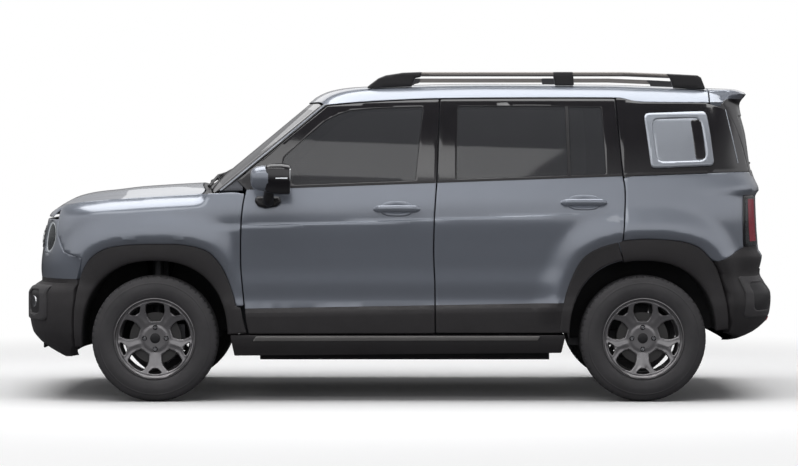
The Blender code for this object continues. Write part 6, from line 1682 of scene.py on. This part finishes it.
# Bumper trim
def strip_on(lift, points, name, body, mats, width, slot):
    """A raised strip along (u, v) points of a wrapped panel."""
    rings = []
    for i, (u, v) in enumerate(points):
        a, b = points[max(i - 1, 0)], points[min(i + 1, len(points) - 1)]
        way = Vector(((b[0] - a[0]) * WRAP, b[1] - a[1])).normalized()
        nu, nv = -way.y * width / 2 / WRAP, way.x * width / 2
        rings.append([Vector(lift[k](u + nu * s, v + nv * s, False))
                      for s, k in ((-1, 0), (-0.8, 1), (0.8, 1), (1, 0))])
    return lofted(name, rings, body, mats, slot=slot)


def oblong(place, y0, y1, z0, z1):
    """Four corners on the nose or the tail."""
    return [place(y=y, z=z) for y, z in ((y0, z1), (y1, z1), (y1, z0), (y0, z0))]


def make_front_hook(name, body, nodes):
    """Corner frame of the front bumper with a dark window."""
    outer = oblong(nose_place, 0.715, 0.47, 0.420, 0.606)
    hole = oblong(nose_place, 0.668, 0.51, 0.454, 0.578)
    return panel(name, [outer, hole], nose_lift(-0.001, 0.012), body, (CLAD_LIGHT,), step=0.012,
                 corner=0.022, scale=WRAP,
                 rings=((0.0, 0.010), (0.003, 0.003), (0.007, 0.0)), slot="cladding")


def make_front_hook_window(name, body, nodes):
    """Dark window in the front corner frame."""
    hole = oblong(nose_place, 0.672, 0.506, 0.452, 0.580)
    return panel(name, [hole], nose_lift(-0.001, 0.0015), body, (SATIN_BLACK,), step=0.015, corner=0.018,
                 scale=WRAP, slot="black_panel")


def make_fog_lamp(name, body, nodes):
    spot = nose_place(y=0.59, z=0.516)
    ring = [(spot[0] + 0.030 / WRAP * math.cos(a), spot[1] + 0.030 * math.sin(a)) for a in angles(32)]
    return panel(name, [ring], nose_lift(0.0, 0.005), body, (CHROME,), step=0.008, corner=0.0,
                 loops_rounded=False, scale=WRAP, slot="lamp_clear", rings=((0.0, 0.003), (0.003, 0.0)))


def make_rear_hook(name, body, nodes):
    """Corner frame of the rear bumper with a dark window."""
    outer = oblong(tail_place, 0.80, 0.55, 0.440, 0.655)
    hole = oblong(tail_place, 0.765, 0.59, 0.475, 0.622)
    return panel(name, [outer, hole], tail_lift(-0.001, 0.0045), body, (CLAD_LIGHT,), step=0.012,
                 corner=0.022, scale=WRAP,
                 rings=((0.0, 0.0045), (0.002, 0.0015), (0.005, 0.0)), slot="cladding")


def make_rear_hook_window(name, body, nodes):
    hole = oblong(tail_place, 0.768, 0.588, 0.473, 0.624)
    return panel(name, [hole], tail_lift(-0.001, 0.0015), body, (SATIN_BLACK,), step=0.015, corner=0.018,
                 scale=WRAP, slot="black_panel")


def make_reflector(name, body, nodes):
    loop = oblong(tail_place, 0.56, 0.36, 0.408, 0.430)
    return panel(name, [loop], tail_lift(-0.001, 0.003), body, (RED,), step=0.02, corner=0.006, scale=WRAP,
                 slot="lamp_red")


def make_plates():
    """Blank number plates, the bars between the lamps and the front intake's slats."""
    low, high = gate_run(12.05), gate_run(12.45)
    panel("rear_plate", [[(-0.26, low), (0.26, low), (0.26, high), (-0.26, high)]],
          lambda y, run, inner: tuple(Vector(gate_place(y, run,
                                                        False)) + Vector((0.0005 if inner else 0.004, 0, 0))),
          "tailgate", (PLATE,), step=0.03, corner=0.008, slot="paint")
    panel("front_plate", [[(-0.25, 0.668), (0.25, 0.668), (0.25, 0.766), (-0.25, 0.766)]],
          lambda y, z, inner: (front_x(y, z) - (0.0008 if inner else 0.0045), y, z), "body", (PLATE,),
          step=0.03, corner=0.008, slot="paint")
    half = [nose_place(y=0.505, z=0.915), nose_place(y=0.505, z=0.800)]
    loop = [(half[0][0], 0.915), (2 - half[0][0], 0.915), (2 - half[1][0], 0.800), (half[1][0], 0.800)]
    panel("grille_panel", [loop], nose_lift(-0.0008, 0.0045), "body", (BLACK,), step=0.02, corner=0.02,
          scale=WRAP, slot="black_panel")
    for k in range(3):
        z = 0.832 + 0.026 * k
        ends = nose_place(y=0.47, z=z)[0]
        strip_on((nose_lift(0, 0.004), nose_lift(0, 0.0085)),
                 [(across(ends, 2 - ends, i / 40), z) for i in range(41)],
                 f"grille_bar_{k}", "body", (SATIN_BLACK if k != 1 else HATCH,), 0.008, "black_panel")
    soft_box("intake_screen", (-1.905, -0.50, 0.262), (-1.893, 0.50, 0.470), 0.003, "body", (SATIN_BLACK,),
             "black_panel")
    for k in range(3):
        z = 0.318 + 0.036 * k
        ends = nose_place(y=0.42, z=z)[0]
        points = [(across(ends, 2 - ends, i / 30), z) for i in range(31)]
        strip_on((nose_lift(0, -0.026), nose_lift(0, -0.012)), points, f"intake_slat_{k}", "body",
                 (SATIN_BLACK,), 0.010, "black_panel")


# Cabin
def cushion(name, low, high, radius, crown, body, mats, lean=None, channels=0, nodes=()):
    """A padded block: rounded, crowned, pulled in at its seams, with sewn channels."""
    bm = bmesh.new()
    size = Vector(high) - Vector(low)
    centre = (Vector(high) + Vector(low)) / 2
    bmesh.ops.create_cube(bm, size=1.0, matrix=Matrix.Translation(centre) @ Matrix.Diagonal((*size, 1.0)))
    for axis in range(3):
        cuts = max(2, int(size[axis] / 0.035))
        for i in range(1, cuts):
            place = centre.copy()
            place[axis] = low[axis] + size[axis] * i / cuts
            normal = Vector((0, 0, 0))
            normal[axis] = 1.0
            bmesh.ops.bisect_plane(bm, geom=bm.verts[:] + bm.edges[:] + bm.faces[:], dist=1e-5,
                                   plane_co=place, plane_no=normal)
    for vert in bm.verts:
        local = [(vert.co[k] - centre[k]) / (size[k] / 2) for k in range(3)]
        inner = [centre[k] + max(-size[k] / 2 + radius,
                                 min(size[k] / 2 - radius, vert.co[k] - centre[k])) for k in range(3)]
        way = vert.co - Vector(inner)
        if way.length > 1e-6:
            vert.co = Vector(inner) + way.normalized() * radius
        thin = min(range(3), key=lambda k: size[k])
        others = [k for k in range(3) if k != thin]
        swell = (1 - local[others[0]] ** 2) * (1 - local[others[1]] ** 2) * crown
        if channels and abs(local[thin]) > 0.6:
            swell -= 0.006 * max(0.0, 1 - abs(((local[others[0]] * 0.5 + 0.5) * channels) % 1.0 - 0.5) / 0.10)
        vert.co[thin] += math.copysign(swell, local[thin]) * abs(local[thin])
        vert.co += noise.noise_vector(vert.co * 9.0) * 0.0015
    if lean:
        bmesh.ops.transform(bm, matrix=lean, verts=bm.verts)
    mesh = finished(bm, name)
    obj = loose(name, mesh, body, mats, "fabric", 180)
    soft = obj.modifiers.new("soft", "SUBSURF")
    soft.levels = soft.render_levels = 1
    applied(obj)
    for face in obj.data.polygons:
        face.use_smooth = True
    if nodes:
        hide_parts(*nodes)
    return obj


def lean_about(x, z, degrees):
    place = Matrix.Translation((x, 0, z))
    return place @ Matrix.Rotation(math.radians(degrees), 4, "Y") @ place.inverted()


def make_seats():
    for hand, side in (("left", -1), ("right", 1)):
        y0, y1 = sorted((side * 0.125, side * 0.595))
        seat_x = -0.35
        lean = lean_about(seat_x + 0.44, 0.60, 22)
        cushion(f"seat_cushion_{hand}", (seat_x - 0.055, y0, 0.505), (seat_x + 0.46, y1, 0.628), 0.045,
                0.012, "body", FABRIC, lean_about(seat_x, 0.55, 3), 4, (f"seat_{hand}",))
        cushion(f"seat_back_{hand}", (seat_x + 0.385, y0 + 0.01, 0.60), (seat_x + 0.49, y1 - 0.01, 1.09),
                0.045, 0.010, "body", FABRIC, lean, 4)
        cushion(f"head_rest_{hand}", (seat_x + 0.395, (y0 + y1) / 2 - 0.13, 1.115),
                (seat_x + 0.475, (y0 + y1) / 2 + 0.13, 1.255),
                0.035, 0.006, "body", FABRIC, lean)
        soft_box(f"seat_base_{hand}", (seat_x + 0.0, y0 + 0.03, 0.332), (seat_x + 0.44, y1 - 0.03, 0.52),
                 0.02, "body", (TRIM,), "trim")
        for k, dy in enumerate((-0.06, 0.06)):
            a = lean @ Vector((seat_x + 0.435, (y0 + y1) / 2 + dy, 1.06))
            b = lean @ Vector((seat_x + 0.435, (y0 + y1) / 2 + dy, 1.14))
            bar(f"head_rest_post_{hand}_{k}", [a, b], 0.006, "body", STEEL, 10, "steel")
    lean = lean_about(0.80, 0.62, 20)
    cushion("rear_cushion", (0.445, -0.55, 0.52), (0.86, 0.55, 0.655), 0.045, 0.012, "body", FABRIC,
            None, 6, ("rear_seat",))
    cushion("rear_back", (0.775, -0.55, 0.62), (0.875, 0.55, 1.07), 0.04, 0.010, "body", FABRIC, lean, 6)
    for k, y in enumerate((-0.35, 0.0, 0.35)):
        cushion(f"rear_head_rest_{k}", (0.785, y - 0.11, 1.075), (0.855, y + 0.11, 1.165), 0.03, 0.005,
                "body", FABRIC, lean)
    soft_box("rear_seat_base", (0.50, -0.54, 0.462), (0.83, 0.54, 0.54), 0.02, "body", (TRIM,), "trim")


def make_dashboard():
    outline = [(-0.872, 0.66), (-0.70, 0.62), (-0.612, 0.70), (-0.590, 0.80), (-0.585, 0.93),
               (-0.612, 1.00), (-0.66, 1.045), (-0.80, 1.066), (-0.880, 1.050)]
    panel("dashboard_shell", [outline], lambda x, z, inner: (x, 0.678 if inner else -0.678, z), "body",
          (TRIM,), step=0.03,
          corner=0.03, rings=((0.0, 0.012), (0.003, 0.005), (0.008, 0.001), (0.012, 0.0)), slot="trim",
          replaces=("dashboard",))
    soft_box("instrument_hood", (-0.70, -0.50, 1.02), (-0.612, -0.22, 1.085), 0.018, "body", (SATIN_BLACK,),
             "trim")
    soft_box("centre_screen", (-0.612, -0.14, 0.90), (-0.594, 0.14, 1.06), 0.006, "body", (BLACK,),
             "black_panel")
    soft_box("centre_console", (-0.60, -0.10, 0.345), (0.16, 0.10, 0.56), 0.03, "body", (TRIM,), "trim",
             shape=lambda p: Vector((p.x, p.y,
                                     p.z - 0.06 * smooth((p.x + 0.1) / 0.2) * smooth((p.z - 0.4) / 0.1))))
    for k, y in enumerate((-0.62, -0.19, 0.19, 0.62)):
        soft_box(f"air_vent_{k}", (-0.600, y - 0.045, 0.93), (-0.585, y + 0.045, 0.975), 0.004, "body",
                 (SATIN_BLACK,), "trim")
    axis = Vector((math.cos(math.radians(25)), 0.0, math.sin(math.radians(25))))
    centre = Vector((-0.475, -0.360, 1.085))
    bar("steering_column", [centre - axis * 0.245, centre - axis * 0.0605], [0.035, 0.033], "body",
        (SATIN_BLACK,), 20, "trim")
    turn = axis.to_track_quat("Z", "Y").to_matrix().to_4x4()
    bm = bmesh.new()
    major, minor = 72, 14
    for i in range(major):
        for j in range(minor):
            a, b = 2 * math.pi * i / major, 2 * math.pi * j / minor
            r = 0.180 + 0.0145 * math.cos(b)
            bm.verts.new((r * math.cos(a), r * math.sin(a), 0.0145 * math.sin(b)))
    bm.verts.ensure_lookup_table()
    for i in range(major):
        for j in range(minor):
            bm.faces.new([bm.verts[(p % major) * minor + q % minor]
                          for p, q in ((i, j), (i + 1, j), (i + 1, j + 1), (i, j + 1))])
    bmesh.ops.recalc_face_normals(bm, faces=bm.faces[:])
    bmesh.ops.transform(bm, matrix=Matrix.Translation(centre) @ turn, verts=bm.verts)
    mesh = finished(bm, "ring")
    ring = loose("wheel_ring", mesh, "hand_wheel", (SATIN_BLACK,), "trim")
    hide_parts("steering_wheel")
    soft_box("wheel_pad", (-0.055, -0.075, -0.055), (0.05, 0.075, 0.012), 0.018, "hand_wheel", (TRIM,),
             "trim", shape=lambda p: (Matrix.Translation(centre) @ turn) @ Vector(p))
    for k, (dx, dy) in enumerate(((0, 1), (0, -1), (-1, 0))):
        a = Matrix.Translation(centre) @ turn @ Vector((dx * 0.04, dy * 0.06, -0.012))
        b = Matrix.Translation(centre) @ turn @ Vector((dx * 0.175, dy * 0.175, 0.0))
        bar(f"wheel_spoke_{k}", [a, b], [0.016, 0.010], "hand_wheel", (SATIN_BLACK,), 12, "trim")


def make_door_cards():
    """Arm rest and pocket on each door's inner side."""
    for end, x0, x1 in (("front", -0.62, 0.02), ("rear", 0.36, 0.84)):
        def rest(name, body, nodes):
            y = side_y(0.0, 0.75) - 0.100
            return soft_box(name, (x0, -(y + 0.002), 0.74), (x1, -(y - 0.045), 0.80), 0.014, body,
                            (PIPING,), "trim")

        def pocket(name, body, nodes):
            y = side_y(0.0, 0.5) - 0.100
            return soft_box(name, (x0 + 0.04, -(y + 0.002), 0.47), (x1 - 0.02, -(y - 0.028), 0.60), 0.012,
                            body, (TRIM,), "trim")
        pair(rest, f"{end}_arm_rest", f"{end}_door_left")
        pair(pocket, f"{end}_door_pocket", f"{end}_door_left")


# Carried-over solids
def dress_nodes():
    for names, mat in ((("front_frame", "rear_axle", "knuckle_left", "knuckle_right"), STEEL),
                       (("battery_pack", "drive_unit"), UNDER), (("floor_pan",), CARPET),
                       # The side frames take the darkened body paint: painted shade behind the shut lines
                       (("side_frame_left", "side_frame_right"), SHADED_PAINT)):
        for name in names:
            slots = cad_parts[name].data.materials
            slots.clear()
            slots.append(mat)


# Stage
FLOOR_HALF, FLOOR_MOTTLE, FLOOR_TONES, FLOOR_UNSEEN = 30.0, 3.0, (0.90, 0.93), (0.12, 0.12, 0.125, 1)
FLOOR_ROUGH, FLOOR_GLOSS, FLOOR_FADE = 0.9, 0.1, (2.6, 5.5)
SKY_STOPS = ((0.0, 0.03), (0.48, 0.06), (0.51, 0.22), (0.55, 0.95), (0.67, 1.0), (0.74, 0.36), (0.82, 0.12),
             (1.0, 0.14))
SKY_BLUE, SKY_FAR, SKY_FAR_SHARE, SKY_SOFT = 1.02, 0.7, 0.42, (0.11, 0.11, 0.115, 1)
# Name, place, size, power and the point aimed at
LIGHTS = (("top_light", (0.0, -0.3, 5.2), (9.0, 5.0), 470, (0, 0, 0.6)),
          ("side_light", (-3.0, -7.0, 6.0), (9.0, 2.0), 110, (-0.4, 0, 0.8)),
          ("back_light", (2.0, 8.0, 4.5), (10.0, 3.0), 60, (0, 0, 0.8)))
CAMERA_LENS, CAMERA_PLACE, CAMERA_DIP, CAMERA_REACH = 125.2, (0.0, -15.36, 1.267), 1.507, 200.0


def make_floor():
    bm = bmesh.new()
    bmesh.ops.create_grid(bm, x_segments=2, y_segments=2, size=FLOOR_HALF)
    mesh = finished(bm, "floor")
    floor = bpy.data.objects.new("studio_floor", mesh)
    bpy.context.scene.collection.objects.link(floor)
    mat = bpy.data.materials.new("floor")
    mat.use_nodes = True
    nodes, links = mat.node_tree.nodes, mat.node_tree.links
    shader = nodes["Principled BSDF"]
    shader.inputs["Roughness"].default_value = FLOOR_ROUGH
    shader.inputs["Specular IOR Level"].default_value = FLOOR_GLOSS
    noise_node, ramp = nodes.new("ShaderNodeTexNoise"), nodes.new("ShaderNodeValToRGB")
    noise_node.inputs["Scale"].default_value = FLOOR_MOTTLE
    for stop, tone in zip(ramp.color_ramp.elements, FLOOR_TONES):
        stop.color = (tone, tone, tone, 1)
    links.new(noise_node.outputs["Fac"], ramp.inputs["Fac"])
    ray, seen = nodes.new("ShaderNodeLightPath"), nodes.new("ShaderNodeMixRGB")
    links.new(ray.outputs["Is Camera Ray"], seen.inputs["Fac"])
    seen.inputs["Color1"].default_value = FLOOR_UNSEEN
    links.new(ramp.outputs["Color"], seen.inputs["Color2"])
    links.new(seen.outputs["Color"], shader.inputs["Base Color"])
    place, length, reach = (nodes.new(kind) for kind in ("ShaderNodeTexCoord", "ShaderNodeVectorMath",
                                                         "ShaderNodeMapRange"))
    length.operation = "LENGTH"
    links.new(place.outputs["Object"], length.inputs[0])
    links.new(length.outputs["Value"], reach.inputs["Value"])
    reach.interpolation_type = "SMOOTHSTEP"
    reach.inputs["From Min"].default_value, reach.inputs["From Max"].default_value = FLOOR_FADE
    plain, blend, both = (nodes.new(kind) for kind in ("ShaderNodeEmission", "ShaderNodeMixShader",
                                                       "ShaderNodeMath"))
    both.operation = "MULTIPLY"
    links.new(reach.outputs["Result"], both.inputs[0])
    links.new(ray.outputs["Is Camera Ray"], both.inputs[1])
    links.new(both.outputs[0], blend.inputs["Fac"])
    links.new(shader.outputs["BSDF"], blend.inputs[1])
    links.new(plain.outputs["Emission"], blend.inputs[2])
    links.new(blend.outputs["Shader"], nodes["Material Output"].inputs["Surface"])
    mesh.materials.append(mat)


def make_sky():
    world = bpy.data.worlds.new("studio")
    bpy.context.scene.world = world
    world.use_nodes = True
    nodes, links = world.node_tree.nodes, world.node_tree.links
    back = nodes["Background"]
    place = nodes.new("ShaderNodeTexCoord")
    split = nodes.new("ShaderNodeSeparateXYZ")
    links.new(place.outputs["Generated"], split.inputs["Vector"])
    ramp = nodes.new("ShaderNodeValToRGB")
    span = nodes.new("ShaderNodeMapRange")
    span.inputs["From Min"].default_value, span.inputs["From Max"].default_value = -1.0, 1.0
    links.new(split.outputs["Z"], span.inputs["Value"])
    links.new(span.outputs["Result"], ramp.inputs["Fac"])
    elements = ramp.color_ramp.elements
    for k, (at, value) in enumerate(SKY_STOPS):
        stop = elements[k] if k < 2 else elements.new(at)
        stop.position = at
        stop.color = (value, value, value * SKY_BLUE, 1)
    light = nodes.new("ShaderNodeLightPath")
    far, dim = nodes.new("ShaderNodeMapRange"), nodes.new("ShaderNodeMixRGB")
    far.inputs["From Min"].default_value, far.inputs["From Max"].default_value = 0.0, SKY_FAR
    far.inputs["To Min"].default_value, far.inputs["To Max"].default_value = 1.0, SKY_FAR_SHARE
    links.new(split.outputs["Y"], far.inputs["Value"])
    dim.blend_type = "MULTIPLY"
    dim.inputs["Fac"].default_value = 1.0
    links.new(ramp.outputs["Color"], dim.inputs["Color1"])
    links.new(far.outputs["Result"], dim.inputs["Color2"])
    mix = nodes.new("ShaderNodeMixRGB")
    links.new(light.outputs["Is Camera Ray"], mix.inputs["Fac"])
    links.new(dim.outputs["Color"], mix.inputs["Color1"])
    mix.inputs["Color2"].default_value = (1, 1, 1, 1)
    soft = nodes.new("ShaderNodeMixRGB")
    links.new(light.outputs["Is Diffuse Ray"], soft.inputs["Fac"])
    links.new(mix.outputs["Color"], soft.inputs["Color1"])
    soft.inputs["Color2"].default_value = SKY_SOFT
    links.new(soft.outputs["Color"], back.inputs["Color"])
    back.inputs["Strength"].default_value = 1.0


def make_lights():
    for name, place, size, energy, aim in LIGHTS:
        lamp = bpy.data.lights.new(name, "AREA")
        lamp.shape, lamp.size, lamp.size_y, lamp.energy = "RECTANGLE", *size, energy
        obj = bpy.data.objects.new(name, lamp)
        obj.location = place
        obj.rotation_mode = "QUATERNION"
        obj.rotation_quaternion = (Vector(aim) - Vector(place)).to_track_quat("-Z", "Y")
        bpy.context.scene.collection.objects.link(obj)


def make_camera():
    camera = bpy.data.objects.new("camera", bpy.data.cameras.new("camera"))
    camera.data.sensor_width = 36.0
    camera.data.lens = CAMERA_LENS
    camera.location = CAMERA_PLACE
    camera.rotation_euler = (math.radians(90 - CAMERA_DIP), 0.0, 0.0)
    camera.data.clip_end = CAMERA_REACH
    bpy.context.scene.collection.objects.link(camera)
    bpy.context.scene.camera = camera


# Make it all
make_camera()
make_floor()
make_sky()
make_lights()
bpy.context.scene.view_settings.view_transform = "Standard"
make_doors()
for make, name, body, nodes in (
        (make_fender, "fender_skin", "body", ("fender",)),
        (make_quarter, "quarter_skin", "body", ("quarter",)),
        (make_pillar_panel, "rear_panel", "body", ("pillar_panel",)),
        (make_hatch_frame, "hatch_frame", "body", ()),
        (make_hatch_plate, "hatch_plate", "body", ()), (make_hatch_slot_shade, "hatch_slot", "body", ()),
        (make_rear_line, "rear_panel_line", "body", ()),
        (make_tail_lamp, "tail_lamp_body", "body", ("tail_lamp",)),
        (make_tail_lens, "tail_lens", "body", ()), (make_tail_strips, "tail_light_bar", "body", ()),
        (make_headlamp, "headlamp_bowl", "body", ("headlamp",)),
        (make_head_lens, "headlamp_lens", "body", ()),
        (make_head_ring, "headlamp_ring", "body", ()), (make_arch, "front_arch_skin", "body", ("front_arch",
                )),
        (make_arch, "rear_arch_skin", "body", ("rear_arch",)),
        (make_rocker, "sill_skin", "body", ("rocker",)),
        (make_sill_strip, "sill_strip", "body", ()), (make_roof_rail, "rail_bar", "body", ("roof_rail",)),
        (make_rail_feet, "rail_foot", "body", ()), (make_mirror_head, "mirror_shell", "front_door_left",
                                                    ("mirror",)),
        (make_mirror_cap, "mirror_cap", "front_door_left", ()),
        (make_mirror_glass, "mirror_glass", "front_door_left", ()),
        (make_mirror_light, "mirror_light", "front_door_left", ()),
        (make_mirror_stalk, "mirror_stalk", "front_door_left", ()),
        (make_mirror_foot, "mirror_foot", "front_door_left", ()),
        (make_door_arch, "door_arch", "rear_door_left", ()),
        (make_pillar_strip, "pillar_strip", "body", ()), (make_pillar_line, "pillar_line", "body", ()),
        (make_spoiler_cheek, "spoiler_cheek", "tailgate", ()), (make_front_hook, "bumper_frame", "body", ()),
        (make_front_hook_window, "bumper_window", "body", ()), (make_fog_lamp, "fog_lamp", "body", ()),
        (make_rear_hook, "rear_bumper_frame", "body", ()),
        (make_rear_hook_window, "rear_bumper_window", "body", ()),
        (make_reflector, "rear_reflector", "body", ())):
    pair(make, name, body, nodes)
for build in (make_rear_bumper, make_nose, make_front_bumper, make_roof, make_bonnet, make_cowl,
              make_windscreen,
              make_tailgate, make_wheels, make_wipers, make_plates, make_seats, make_dashboard,
              make_door_cards, make_divider, dress_nodes):
    build()
for end, x0, x1 in (("front", -0.78, 0.188), ("rear", 0.205, 1.165), ("quarter", 1.187, 1.62)):
    make_belt_strip(end, x0, x1)
for end in ("front", "rear"):
    make_handle(end)
